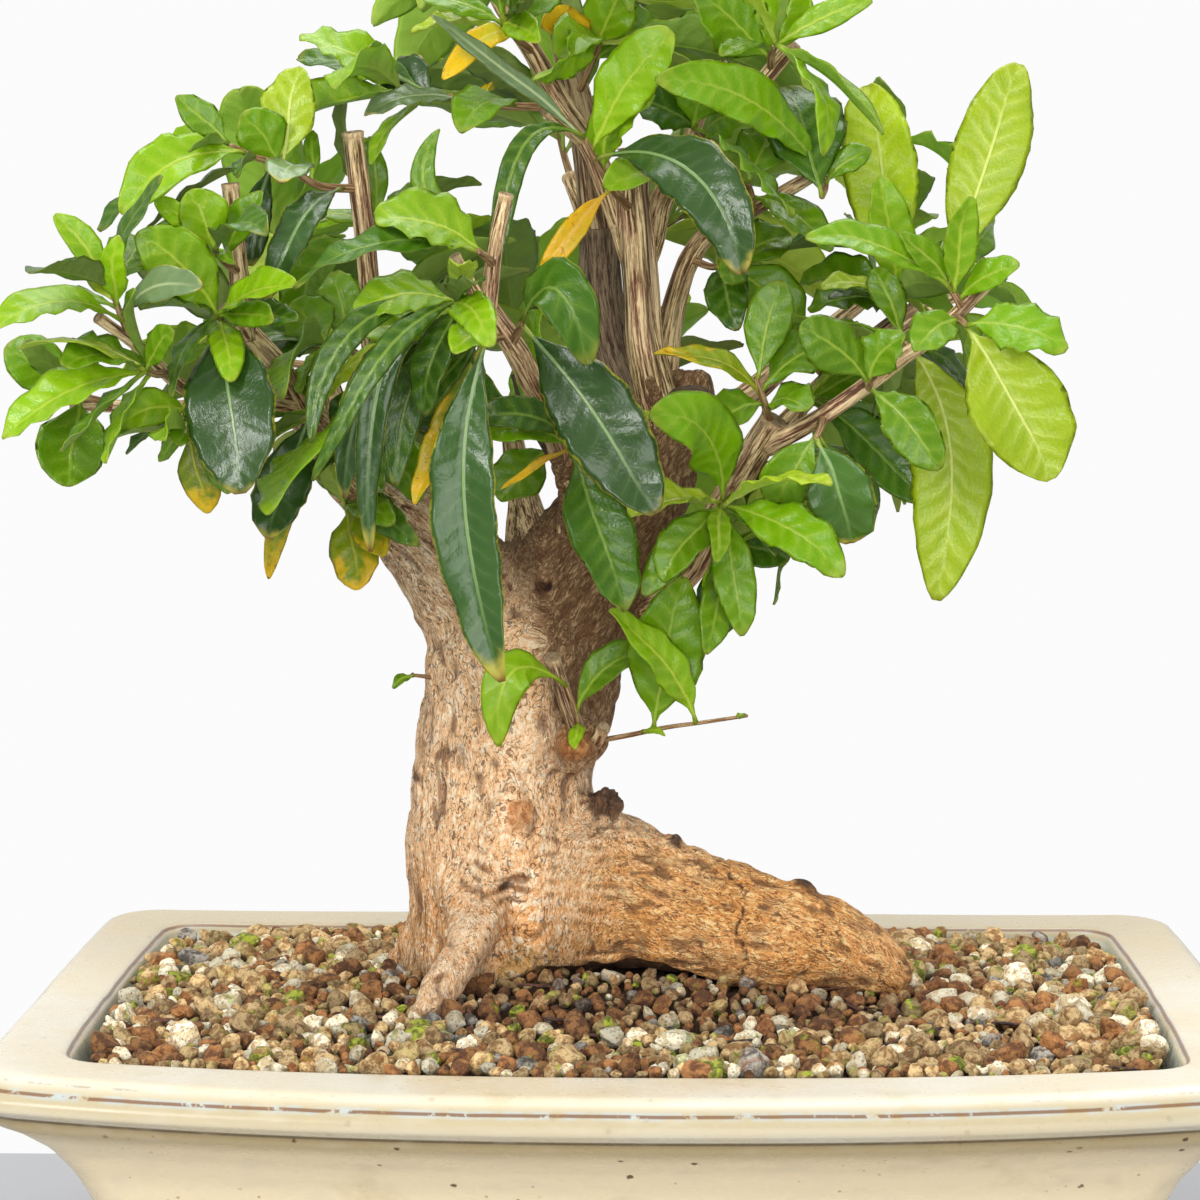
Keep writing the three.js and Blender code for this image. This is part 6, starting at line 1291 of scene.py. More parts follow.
def trunk_mesh(settings):
    """The old wood as one skin: trunk, roots and the two great limbs, with bark relief."""
    shapes = []
    for seed, (name, roughness, points) in enumerate(WOOD):
        if name in THICK_WOOD:
            points = np.array(points, float)[:THICK_WOOD[name] + 1]
            if name == "left_limb":
                points[-2:, 3] *= (0.9, 0.7)  # it ends inside the young bark
        elif points[0][3] > COLLAR_RADIUS:
            points = along(points, np.linspace(0, 0.4, 5))
            points[:, 3] *= np.linspace(1.12, 0.75, 5)
        else:
            continue
        shapes.append(tube(points, 1.6, 40, seed, cut=False, flutes=roughness * 2)[:2])
    mesh = remeshed(*joined(shapes), settings.skin_step)
    places = places_of(mesh)
    # less easing keeps the toe root and the roots' low edges from shrinking
    stout = smooth(places[:, 2], 86, 100) * smooth(-places[:, 1], 6, -8)
    places = eased(mesh, places, EASING_PASSES, 0.35 + 0.65 * stout)
    move_points(mesh, places)
    normals = normals_of(mesh)

    # places measured from the middle line of the limbs (up) and of the long root (out)
    x, y, z = places.T
    left_x, left_y, _ = centre_line(("left_limb",), z, 2)
    right_x, right_y, _ = centre_line(("right_limb",), z, 2)
    split = smooth(x - (left_x + right_x) / 2, -9, 9)
    mid_x = left_x + (right_x - left_x) * split
    mid_y = left_y + (right_y - left_y) * split
    up = np.stack([x - mid_x, y - mid_y, z], axis=1)
    _, root_y, root_z = centre_line(("right_root",), x, 0)
    out = np.stack([x, y - root_y, z - root_z], axis=1)
    root = smooth(x, -24, 0) * smooth(-z, -133, -115)
    toe = smooth(-y, 4, 12) * smooth(-x, 33, 38) * smooth(-z, -114, -104)

    warp = 1.2 * np.stack([noise(places, 6, s) for s in (21, 22, 23)], axis=1)

    def mixed(size, seed, long=0.3):
        first = noise((up + warp) * [1, 1, long], size, seed)
        second = noise((out + warp) * [long + 0.12, 1, 1], size, seed)
        return first * (1 - root) + second * root

    # the bark's lumps, flakes, fibres and furrows
    lumps = noise(places, 17, 1)
    knobs = noise(places, 8, 2)
    flakes = np.tanh(2.4 * mixed(2.6, 5))
    fibres = mixed(1.8, 6)
    furrow = 1 - smooth(np.abs(mixed(4.6, 9, 0.26)), 0.02, 0.13)
    furrow = furrow * smooth(noise(places, 7, 31), -0.15, 0.35)
    # the swelling over the root is rippled
    ripple = smooth(z, 99, 107) * smooth(-z, -134, -122) * smooth(x, -58, -40) * smooth(-x, -12, 16)
    phase = (z + 0.16 * x + 3.4 * noise(places, 12, 41)) / 3.5
    wave = np.sin(2 * math.pi * phase) * smooth(noise(places, 9, 43), -0.6, 0.1)
    calm = 1 - 0.3 * toe - 0.3 * ripple
    relief = (0.42 * flakes + 0.36 * fibres - 0.6 * furrow) * calm + 0.26 * ripple * wave
    # knots and scars, with painted shade in the hollows and under the burl
    dark = np.zeros(len(x))
    push = np.zeros(len(x))
    front = smooth(-y, -30, -15)
    crumb = noise(places, 2.4, 51) + 0.7 * noise(places, 1.2, 52)
    for knot_x, knot_z, radius, height, darkness in KNOTS:
        gap = ((x - knot_x) ** 2 + (z - knot_z) ** 2) / (radius * radius)
        near = np.exp(-1.6 * gap * (1 + 0.5 * crumb)) * front
        push += height * near
        dark += darkness * near
        if radius > 4 and darkness:
            push += (2.4 if darkness > 0.6 else 1.4) * crumb * near
    # the root's crack, the hollow under it with painted shadow, and darker patches on the wood just above
    # the soil
    crack_x = x + 2.2 * noise(places, 4, 61)
    crack = (1 - smooth(near_line(crack_x, z, ROOT_CRACK), 0.2, 0.9)) * front
    crack = crack * smooth(noise(places, 3, 63), -0.35, 0.1)
    hollow_x, hollow_z = np.array(HOLLOW_EDGE, float).T
    hollow = smooth(np.interp(x, hollow_x, hollow_z, 80, 80) + 1.6 * knobs - z, 0, 3) * front * (1 - toe)
    push -= 1.0 * crack + 2.6 * hollow
    # painted shadow darkens the hollow under the root
    dark += 0.8 * crack + 0.7 * hollow * (1 + 0.4 * crumb)
    darker_base = smooth(-z, -95, -89) * (1 - toe) * smooth(noise(places, 9, 71), -0.5, 0.3)
    dark += 0.45 * darker_base
    move = 0.8 * lumps + 0.45 * knobs * (1 - 0.5 * toe) + relief + push
    places = places + normals * move[:, None]
    move_points(mesh, places)
    shade_faces(mesh, True)
    # painted shade on the limbs' inner sides and the trunk's right flank, partly also darker bark; how grey
    # the left limb and how pale the worn bark
    shady = smooth(z - 0.55 * x, 172, 200) * smooth(x - left_x, 6, 26)
    flank = smooth(x + 2.5 * lumps + 0.24 * np.clip(z - 150, 0, 40), -24, -13) * smooth(z, 138, 152)
    grey = smooth(z, 165, 190) * (1 - shady) * smooth(-x, 30, 48)
    pale = np.exp(-((x + 27) / 5) ** 2 - ((z - 148) / 10) ** 2)
    pale = np.clip(0.8 * pale + 0.5 * toe + 0.5 * ripple * smooth(wave, -0.2, 0.8), 0, 1)
    # the bark's grain runs up the trunk and out along the root; the shift makes them meet
    upward = (up + warp * 0.5) * [1, 1, 0.38]
    outward = (out + warp * 0.5) * [0.42, 1, 1] + [29, -5, 29]
    give(mesh, "grain", upward + (outward - upward) * root[:, None])
    give(mesh, "bark", np.stack([root, np.clip(np.maximum(shady, flank), 0, 1), grey], axis=1))
    # wear holds how deep the relief lies, painted as shade in the furrows, the dark marks with their
    # painted shade, and the pale worn bark
    give(mesh, "wear", np.stack([np.clip(0.5 + relief / 1.8, 0, 1), np.clip(dark, -1, 1), pale], axis=1))
    mesh.name = "old_wood"
    return mesh


def branch_mesh():
    """The younger wood: striped tubes that grow out of the old wood, with sawn ends."""
    shapes = []
    grains = []
    kinds = []
    for seed, (name, _, points) in enumerate(WOOD + SMALL_WOOD):
        if name in THICK_WOOD and name != "left_limb":
            continue
        points = np.array(points, float)
        if name == "left_limb":
            points = points[3:]
        widest = points[len(points) // 2:, 3].max()
        sides = int(np.clip(2 * math.pi * widest / 0.8, 14, 44))
        strength = 0.16 + 0.05 * widest
        place, faces, grain, sawn, ridge = tube(points, 1.3, sides, seed, strength, flutes=0.03)
        shapes.append((place, faces))
        grains.append(grain)
        full = np.concatenate([ridge, np.zeros(len(place) - len(ridge))])
        kinds.append(np.stack([sawn, np.full(len(place), DEAD_WOOD.get(name, 0.0)), full], axis=1))
    mesh = mesh_of("young_wood", *joined(shapes))
    give(mesh, "grain", np.vstack(grains))
    give(mesh, "branch", np.vstack(kinds))
    return mesh


def bark_finish(settings):
    """Old bark: fibrous pale flakes over tan, orange on the root, grey and brown on the limbs, with painted
    shade on the right limb's inner side and the trunk's right flank.
    """
    f = Finish("Old bark")
    root, shady, grey = f.parts(f.read("bark"))
    # the second of these holds dark and orange marks, and painted shade in the hollows and under the burl
    groove, stain_and_shade, pale = f.parts(f.read("wear"))
    place = f.place()
    _, _, level = f.parts(place)
    grain = f.read("grain")
    streak = f.noise(grain, 0.36, 3.0, 0.6, 0.4)
    flake = f.noise(grain, 1.15, 4.0, 0.7, 0.5)
    fibre = f.noise(grain, 2.1, 3.0, 0.75)
    patch = f.noise(place, 46.0, 2.0, 0.6)
    tone = flake * 0.52 + streak * 0.18 + fibre * 0.3
    brown = f.blend(root, settings.brown_colour, paint(140, 76, 30))
    orange = root * f.step(patch + (flake - 0.5) * 0.5, 0.26, 0.6)
    main = f.blend(orange, settings.tan_colour, settings.root_colour)
    light = f.blend(root, settings.pale_colour, paint(255, 220, 156))
    low = f.step(level, 0.135, 0.1) * (1 - pale)
    main = f.blend(low * 0.7, main, settings.root_colour)
    main = f.blend(grey * 0.5, main, paint(190, 168, 130))
    # painted shade: shaded copies of the bark's colours on the right limb's inner side and the trunk's
    # right flank
    main = f.blend(shady * 0.9, main, settings.dark_colour)
    light = f.blend(shady * 0.9, light, paint(196, 156, 108))
    brown = f.blend(shady * 0.95, brown, paint(48, 30, 14))
    colour = f.blend(f.step(tone, 0.375, 0.445), brown, main)
    colour = f.blend(f.step(tone, 0.5, 0.57) * 0.92, colour, light)
    colour = f.blend(pale * f.step(tone, 0.4, 0.52) * 0.75, colour, paint(250, 226, 192))
    # short dark cracks between the flakes
    thread = abs(f.noise(grain, 0.62, 2.0, 0.5, 0.9) - 0.5)
    crack = f.step(thread, 0.034, 0.012) * f.step(f.noise(place, 260.0, 2.0), 0.38, 0.48)
    deep = f.blend(root, paint(90, 50, 20), paint(84, 40, 16))
    colour = f.blend(crack * (0.78 - pale * 0.35), colour, deep)
    # the flakes' own edges, here and there
    flake_edge = f.step(abs(flake - 0.45), 0.026, 0.01) * f.step(fibre, 0.56, 0.5)
    colour = f.blend(flake_edge * (0.7 + root * 0.2) * (1 - pale * 0.6), colour, paint(92, 52, 24))
    # painted shade in the furrows, where the relief lies deep
    colour = f.blend(f.step(groove, 0.42, 0.1) * 0.75, colour, paint(104, 64, 34))
    moss = f.step(level, 0.108, 0.09) * (1 - root) * f.step(patch, 0.5, 0.66)
    colour = f.blend(moss * 0.4, colour, paint(134, 124, 62))
    rust = f.blend(f.step(flake, 0.4, 0.6), paint(170, 100, 44), paint(216, 150, 84))
    colour = f.blend(f.step(-stain_and_shade, 0.08, 0.4) * 0.75, colour, rust)
    # dark marks: dark bark, and painted shade in the hollows and under the burl
    black = f.blend(f.step(flake, 0.46, 0.62), paint(52, 30, 18), paint(110, 66, 38))
    colour = f.blend(f.step(stain_and_shade, 0.18, 0.75) * 0.92, colour, black)
    height = flake * 0.9 + fibre * 0.5
    return f.done(f.surface(colour, 0.8, f.relief(height, 0.0015)))


def branch_finish(settings):
    """Young bark: tan brown with pale lengthwise strips, and pale sawn ends."""
    f = Finish("Young bark")
    sawn, dead, ridge = f.parts(f.read("branch"))
    grain = f.read("grain")
    place = f.place()
    strip = f.noise(f.stretch(grain, (1, 1, 0.045)), 1.15, 3.0, 0.65)
    fibre = f.noise(f.stretch(grain, (1, 1, 0.08)), 2.6, 3.0, 0.75)
    patch = f.noise(f.stretch(grain, (1, 1, 0.3)), 0.16, 2.0)
    tone = strip + (fibre - 0.5) * 0.6
    low = f.blend(f.step(patch, 0.4, 0.62), paint(96, 64, 32), paint(104, 66, 44))
    middle = f.blend(f.step(patch, 0.4, 0.62), settings.young_colour, paint(198, 154, 118))
    colour = f.blend(f.step(tone, 0.4, 0.47), low, middle)
    colour = f.blend(f.step(tone, 0.5, 0.56) * 0.92, colour, settings.strip_colour)
    colour = f.blend(f.step(ridge + (fibre - 0.5), 0.2, -0.7) * 0.62, colour, paint(70, 46, 24))
    char = f.blend(f.step(fibre, 0.42, 0.62), paint(30, 22, 18), paint(96, 76, 62))
    # charred dead wood; on the grey stem partly painted shade
    colour = f.blend(dead * 0.95, colour, char)
    sawdust = f.step(f.noise(place, 900.0, 2.0), 0.35, 0.65)
    wood = f.blend(sawdust, paint(236, 208, 164), paint(196, 156, 112))
    colour = f.blend(sawn * (1 - dead), colour, wood)
    return f.done(f.surface(colour, 0.75, f.relief(strip + fibre * 0.6, 0.0009)))


# ---- where the leaves grow ----


def midrib(blade, t):
    """Points on a blade's midrib, a curve from its base past a control point to its tip."""
    t = np.atleast_1d(np.asarray(t, float))[:, None]
    return (1 - t) ** 2 * blade["base"] + 2 * t * (1 - t) * blade["control"] + t * t * blade["tip"]


def blade_frame(blade, t):
    """The midrib's points with the side and the face direction at each."""
    t = np.atleast_1d(np.asarray(t, float))
    heading = unit(midrib(blade, np.minimum(t + 0.02, 1)) - midrib(blade, np.maximum(t - 0.02, 0)))
    side = unit(np.cross(heading, blade["facing"]))
    return midrib(blade, t), side, np.cross(side, heading)


def plain_half_width(blade, t):
    """Half width of a blade's plain solid."""
    s = np.maximum(t - PETIOLE_SHARE, 0) / BLADE_SHARE
    outline = np.maximum(np.sin(math.pi * s ** 0.92), 0) ** 0.75
    return np.maximum(0.5 * blade["width"] * outline, np.where(t < 0.5, PETIOLE_HALF_WIDTH, 0))


def blade_of(base, tip, width, arch, facing, tone, via=None):
    chord = tip - base
    span = float(np.linalg.norm(chord))
    ahead = unit(chord)
    upward = np.array([0, 0, 0.8]) + 0.6 * facing
    rise = unit(upward - ahead * (upward @ ahead))
    middle = (base + tip) / 2
    control = middle + rise * (2 * arch * span) if via is None else 2 * via - middle
    return {"base": base, "tip": tip, "control": control, "width": width, "facing": facing, "tone": tone,
            "span": span}


def facing_of(outward, roll):
    """Where a blade's face looks: outwards, rolled upwards by some degrees."""
    turn = math.radians(roll)
    return unit(outward * math.cos(turn) + np.array([0, 0, 1.0]) * math.sin(turn))


def samples_of(blade):
    """Points spread over a blade, with how far along it each lies."""
    steps = math.ceil(blade["span"] * 1.1 / SAMPLE_STEP)
    t = np.arange(1, steps + 1) / steps
    point, side, face = blade_frame(blade, t)
    half = plain_half_width(blade, t)
    across = np.ceil(half / SAMPLE_STEP)
    k = np.arange(-8, 9)[None, :]
    used = np.abs(k) <= across[:, None]
    offset = half[:, None] * k / np.maximum(across, 1)[:, None]
    at = point[:, None] + side[:, None] * offset[..., None]
    at = at + face[:, None] * (BLADE_FOLD * np.abs(offset))[..., None]
    return np.broadcast_to(t[:, None], used.shape)[used], at[used]


class Room:
    """What is already in the crown: twigs, blades and wood, which new blades keep clear of."""

    def __init__(self):
        self.taken = []
        self.wood = wood_capsules()
        self.clearance = LEAF_CLEARANCE

    def take(self, t, at, owner):
        self.taken.append((t, at, owner, at.min(axis=0), at.max(axis=0)))

    def root_of(self, path):
        """The twig's line with its root moved to the middle of the nearest limb."""
        path = np.array(path, float)
        a, b, _ = self.wood
        run = b - a
        t = np.clip(((path[0] - a) * run).sum(axis=1) / (run * run).sum(axis=1), 0, 1)
        at = a + run * t[:, None]
        gap = np.linalg.norm(path[0] - at, axis=1)
        best = int(np.argmin(gap))
        if gap[best] < ROOT_REACH:
            path[0] = at[best]
        return path

    def is_clear(self, blade, owner, own):
        t, at = samples_of(blade)
        if np.any(np.abs(at[:, 0]) > REACH[0]) or np.any(np.abs(at[:, 1]) > REACH[1]):
            return False
        if at[:, 2].max() > REACH[2] or at[:, 2].min() < LOWEST_LEAF:
            return False
        free = t * blade["span"] > 3.5
        if np.any(depth_in_wood(at[free], self.wood) > -WOOD_CLEARANCE):
            return False
        low = at.min(axis=0) - self.clearance
        high = at.max(axis=0) + self.clearance
        for other_t, other_at, other_owner, other_low, other_high in self.taken:
            if np.any(other_low > high) or np.any(other_high < low):
                continue
            same = other_owner == owner
            mine = at[t >= own] if same else at
            theirs = other_at[other_t >= own] if same else other_at
            if not len(mine) or not len(theirs):
                continue
            least = min(OWN_SHOOT_CLEARANCE, self.clearance) if same else self.clearance
            gap = mine[:, None] - theirs[None]
            if (gap * gap).sum(axis=2).min() < least * least:
                return False
        return True


def seen_in_crown(p):
    """Whether a viewer in front of the tree sees the point inside the crown's outline."""
    shrink = VIEWER[1] / (VIEWER[1] - p[1])
    x = VIEWER[0] + (p[0] - VIEWER[0]) * shrink
    z = VIEWER[2] + (p[2] - VIEWER[2]) * shrink
    inside = False
    for k, (x1, z1) in enumerate(CROWN_OUTLINE):
        x2, z2 = CROWN_OUTLINE[(k + 1) % len(CROWN_OUTLINE)]
        if (z1 > z) != (z2 > z) and x < x1 + (x2 - x1) * (z - z1) / (z2 - z1):
            inside = not inside
    return inside


def placed_by_hand(plan, twig, owner, room):
    """A leaf at its own place, swung a little to the front or the back where that is taken."""
    t, tip, width, arch, roll, tone, *bends = plan
    base = along(twig, t)[0]
    facing = facing_of(np.array([0, -1.0, 0]), roll)
    for share in SLIMMER:
        for shift, lift in NUDGES:
            end = np.array(tip) + [0, shift, 0]
            via = np.array(bends[0]) + [0, shift * 0.7, 0] if bends else None
            blade = blade_of(base, end, share * width, arch + lift, facing, tone, via)
            if room.is_clear(blade, owner, OWN_FREE_HAND):
                return blade
    return None


def placed_by_rule(index, twig, owner, room, least=40, spread=26, seed=1000):
    """A leaf by rule: opposite pairs down the twig, each pair at a right angle to the last."""
    random = random_from(seed + 97 * owner + 13 * index)
    t = max(1 - PAIR_STEP * (index // 2), LOWEST_PAIR)
    base = along(twig, t)[0]
    heading = unit(along(twig, min(t + 0.05, 1))[0] - along(twig, max(t - 0.05, 0))[0])
    across = unit(np.cross(heading, [1, 0, 0] if abs(heading[2]) > 0.9 else [0, 0, 1]))
    other = np.cross(heading, across)
    outward = unit([base[0] - TREE_AXIS[0], base[1] - TREE_AXIS[1], 0])
    start = random() * math.pi
    size = least + spread * random()
    slim = 0.23 + 0.1 * random()
    roll = 20 + 50 * random()
    arch = 0.05 + 0.09 * random()
    tone = RULE_TONES[int(random() * len(RULE_TONES))]
    for attempt in range(RULE_ATTEMPTS):
        angle = start + (index // 2) * math.pi / 2 + (index % 2) * math.pi + attempt * TURN_STEP
        sideways = across * math.cos(angle) + other * math.sin(angle)
        aim = unit(heading * 0.5 + sideways + outward * 0.4 + [0, 0, -0.12])
        span = size * (1 - SHORTER_STEP * attempt)
        blade = blade_of(base, base + aim * span, span * slim, arch, facing_of(outward, roll), tone)
        seen = all(seen_in_crown(midrib(blade, at)[0]) for at in (0.4, 0.7, 1))
        if seen and room.is_clear(blade, owner, OWN_FREE_RULE):
            return blade
    return None


def grown_shoots():
    """Every shoot's twig and blades, in the order in which they find their places."""
    room = Room()
    twigs = [room.root_of(path) for _, path, _, _ in SHOOTS]
    for owner, twig in enumerate(twigs):
        room.take(np.zeros(14), along(twig, np.arange(1, 15) / 14), owner)
    blades = [[] for _ in SHOOTS]

    def keep(blade, owner):
        if blade is not None:
            room.take(*samples_of(blade), owner)
            blades[owner].append(blade)

    for owner, (_, _, _, leaves) in enumerate(SHOOTS):
        for plan in leaves:
            keep(placed_by_hand(plan, twigs[owner], owner, room), owner)
    for owner, (_, _, more, _) in enumerate(SHOOTS):
        for index in range(more):
            keep(placed_by_rule(index, twigs[owner], owner, room), owner)
    # small young leaves that have no plain solids fill the shoots
    room.clearance = YOUNG_CLEARANCE
    for owner, (name, _, _, _) in enumerate(SHOOTS):
        for index in range(0 if name in OPEN_SHOOTS else YOUNG_LEAVES):
            keep(placed_by_rule(index, twigs[owner], owner, room, 20, 20, 7000), owner)
    return twigs, blades


# ---- leaves ----

# how each tone of leaf looks: record slot, upper face, veins, and how far it has yellowed
TONES = {
    "dark": ("leaf_dark", paint(50, 82, 28), paint(146, 174, 110), 0.0),
    "deep": ("leaf_deep", paint(66, 106, 14), paint(148, 178, 70), 0.0),
    "glossy": ("leaf_deep", paint(72, 112, 34), paint(148, 182, 100), 0.0),
    "grey": ("leaf_mid", paint(112, 136, 86), paint(178, 192, 140), 0.0),
    "mid": ("leaf_mid", paint(104, 146, 6), paint(176, 200, 70), 0.0),
    "fresh": ("leaf_bright", paint(116, 160, 6), paint(190, 210, 80), 0.0),
    "bright": ("leaf_bright", paint(136, 176, 10), paint(206, 220, 80), 0.0),
    "lime": ("leaf_lime", paint(172, 194, 34), paint(230, 236, 136), 0.0),
    "olive": ("leaf_olive", paint(126, 146, 12), paint(204, 200, 76), 0.35),
    "yellow": ("leaf_olive", paint(196, 186, 30), paint(224, 212, 100), 0.6),
    "half_yellow": ("leaf_olive", paint(110, 138, 30), paint(228, 200, 80), 0.8),
    "orange": ("leaf_olive", paint(226, 170, 36), paint(238, 200, 96), 0.8),
}
OLD_TONES = ("dark", "glossy", "grey")
# how strongly a kind of leaf shows its soft veins, side veins, midrib, margin and worn tip, how rough it
# is, how deep its relief is in metres, and how much light comes through
OLD_LEAF = (0.03, 0.08, 0.7, 0.7, 0.85, 0.19, 0.00022, 0.14)
LIME_LEAF = (0.16, 0.27, 0.85, 0.1, 0.3, 0.22, 0.0006, 0.3)
GREEN_LEAF = (0.14, 0.18, 0.6, 0.4, 0.3, 0.22, 0.0004, 0.3)


def leaf_outline(s, widest, blunt, drawn):
    """A blade's half width as a share of its most: a wedge-shaped base and a drawn-out tip."""
    base = np.sin(0.5 * math.pi * np.clip(s / widest, 0, 1)) ** 1.1
    past = np.clip((s - widest) / (1 - widest), 0, 1)
    return base * np.maximum(1 - past ** blunt, 0) ** drawn


def leaf_skin(blade, settings, rng):
    """A blade's closed skin: points, faces, and what its finish reads."""
    span = blade["span"]
    old = blade["tone"] in OLD_TONES
    rows = int(np.clip(span / 2.0, 10, 36))
    half_columns = 5 if blade["width"] > 8 else 4 if blade["width"] > 5 else 3
    # rows along the blade, closest at its tip
    t = np.linspace(0, 1, rows + 1) ** 0.94
    t = np.sort(np.append(t[:-1], [0.97, 0.99]))
    t = t[np.insert(np.diff(t) > 0.005, 0, True)]
    s = np.clip((t - PETIOLE_SHARE) / (1 - PETIOLE_SHARE), 0, 1)
    slim = blade["width"] / span
    widest = rng.uniform(0.4, 0.52) if slim < 0.2 else rng.uniform(0.42, 0.56)
    shape = leaf_outline(s, widest, rng.uniform(1.9, 2.6), rng.uniform(0.58, 0.78))
    half = 0.5 * 1.1 * blade["width"] * shape
    stalk = 0.5 + 0.3 * (1 - np.clip(t / PETIOLE_SHARE, 0, 1))
    half = np.maximum(half, np.where(t < 0.2, stalk, 0))
    point, side, face = blade_frame(blade, t)
    # the blade twists a little
    turn = rng.normal(0, 0.3) * (s - 0.3) + rng.normal(0, 0.1)
    side, face = (side * np.cos(turn)[:, None] + face * np.sin(turn)[:, None],
                  face * np.cos(turn)[:, None] - side * np.sin(turn)[:, None])
    # the midrib swings a little from side to side and the tip curls
    swing = 0.35 * settings.wave * np.sin(math.pi * s * rng.uniform(1.2, 2.4) + rng.uniform(0, 6.28))
    tip_curl = rng.normal(-0.2, 1.0) * 0.045 * span * smooth(s, 0.55, 1.0) ** 2
    ends = smooth(s, 0.0, 0.25) * (1 - smooth(s, 0.75, 1.0))
    point = point + side * (swing * ends)[:, None] + face * (tip_curl * (1 - (s > 0.999)))[:, None]
    # columns across the blade, closest at its edges
    c = np.linspace(-1, 1, 2 * half_columns + 1)
    c = np.sign(c) * np.abs(c) ** 0.85
    fold = rng.uniform(0.0, 0.4)
    curl = rng.uniform(-0.22, 0.2)
    size = settings.wave * np.clip(half.max() / 6, 0.3, 1.25) * rng.uniform(0.5, 1.2)
    waves = rng.uniform(2.2, 4.6, 2)
    phases = rng.uniform(0, 6.28, 2)
    body = smooth(s, 0.0, 0.15) * (1 - 0.6 * smooth(s, 0.88, 1.0))
    left = np.sin(2 * math.pi * waves[0] * s + phases[0] + 0.9 * np.sin(5 * s + phases[1]))
    right = np.sin(2 * math.pi * waves[1] * s + phases[1] + 0.9 * np.sin(6 * s + phases[0]))
    wave = np.where(c[None] < 0, left[:, None], right[:, None]) * body[:, None]
    ragged = 0.035 if old else 0.02
    # small nicks in the edges
    left = np.sin(2 * math.pi * waves[1] * 2.1 * s + phases[0])
    right = np.sin(2 * math.pi * waves[0] * 2.4 * s + phases[1])
    nibble = 1 + ragged * np.where(c[None] < 0, left[:, None], right[:, None])
    offset = half[:, None] * nibble * c[None]
    # pillows between the side veins
    vein = t[:, None] * span / VEIN_SPACING - np.abs(offset) * VEIN_SLANT
    pillow = (0.05 if old else 0.09) * np.cos(2 * math.pi * vein)
    pillow = pillow * smooth(np.abs(offset), 0.8, 2.5) * (1 - np.abs(c[None]) ** 4) * body[:, None]
    height = fold * np.abs(offset) - curl * half[:, None] * c[None] ** 2
    height = height + size * wave * np.abs(c[None]) ** 1.7
    height = height + pillow - 0.22 * np.exp(-(offset / 0.8) ** 2) * body[:, None]
    thick = settings.thickness * (1 - 0.45 * np.abs(c[None]) ** 2) * np.ones_like(offset)
    thick = np.where(t[:, None] < PETIOLE_SHARE * 1.3, 1.2 * (1 - 0.5 * c[None] ** 2), thick)
    rib = 0.75 * (1 - 0.75 * s)[:, None] * np.exp(-(offset / 0.9) ** 2) * body[:, None]
    upper = point[:, None] + side[:, None] * offset[..., None]
    upper = upper + face[:, None] * (height + thick / 2)[..., None]
    lower = upper - face[:, None] * (thick + rib)[..., None]
    # each row is a ring: over the upper face and back under the lower one
    columns = len(c)
    inner = columns - 2
    ring = np.concatenate([upper, lower[:, -2:0:-1]], axis=1)
    ring[:, 0] = (upper[:, 0] + lower[:, 0]) / 2
    ring[:, columns - 1] = (upper[:, -1] + lower[:, -1]) / 2
    sides = columns + inner
    points = ring.reshape(-1, 3)
    order = np.concatenate([np.arange(columns), np.arange(columns - 2, 0, -1)])
    across = offset[:, order]
    under = np.concatenate([np.zeros(columns), np.ones(inner)])
    chance = rng.random()

    def rows_of(*columns):
        full = [np.broadcast_to(column, across.shape) for column in columns]
        return np.stack(full, axis=-1).reshape(-1, 3)

    place = rows_of((t * span)[:, None], across, under)
    share = rows_of(s[:, None], c[order], chance)
    last = len(points)
    end = point[-1] + face[-1] * height[-1].mean()
    points = np.vstack([points, [end], [blade["base"]]])
    place = np.vstack([place, [span, 0, 0.5], [0, 0, 0.5]])
    share = np.vstack([share, [1, 0, chance], [0, 0, chance]])
    # rings run from the left edge over the upper face to the right, seen with the tip ahead
    faces = [ring_faces(len(t), sides)[:, ::-1]]
    faces.append(fan_faces(np.arange(last - sides, last), last, flip=True))
    faces.append(fan_faces(np.arange(sides), last + 1))
    return points, faces, place, share


def shoot_mesh(name, twig, blades, settings, rng):
    """A shoot's twig with its leaves as one mesh, its faces sorted by finish, and those finishes."""
    slim = 0.62 if name in BARE_SHOOTS else 1.0
    path = np.hstack([twig, slim * np.linspace(1.2, 0.7, len(twig))[:, None]])
    seed = int(rng.integers(200, 900))
    points, faces, grain, _, _ = tube(path, 1.5, 10, seed, 0.06, False)
    shapes = [(points, faces)]
    numbers = [np.zeros(sum(len(f) for f in faces), int)]
    places = [grain]
    shares = [np.zeros((len(grain), 3))]
    used = ["twig"]
    for blade in blades:
        points, faces, place, share = leaf_skin(blade, settings, rng)
        if blade["tone"] not in used:
            used.append(blade["tone"])
        shapes.append((points, faces))
        numbers.append(np.full(sum(len(f) for f in faces), used.index(blade["tone"])))
        places.append(place)
        shares.append(share)
    mesh = mesh_of(name, *joined(shapes))
    mesh.polygons.foreach_set("material_index", np.concatenate(numbers).astype(np.int32))
    give(mesh, "blade_place", np.vstack(places))
    give(mesh, "blade_share", np.vstack(shares))
    return mesh, used


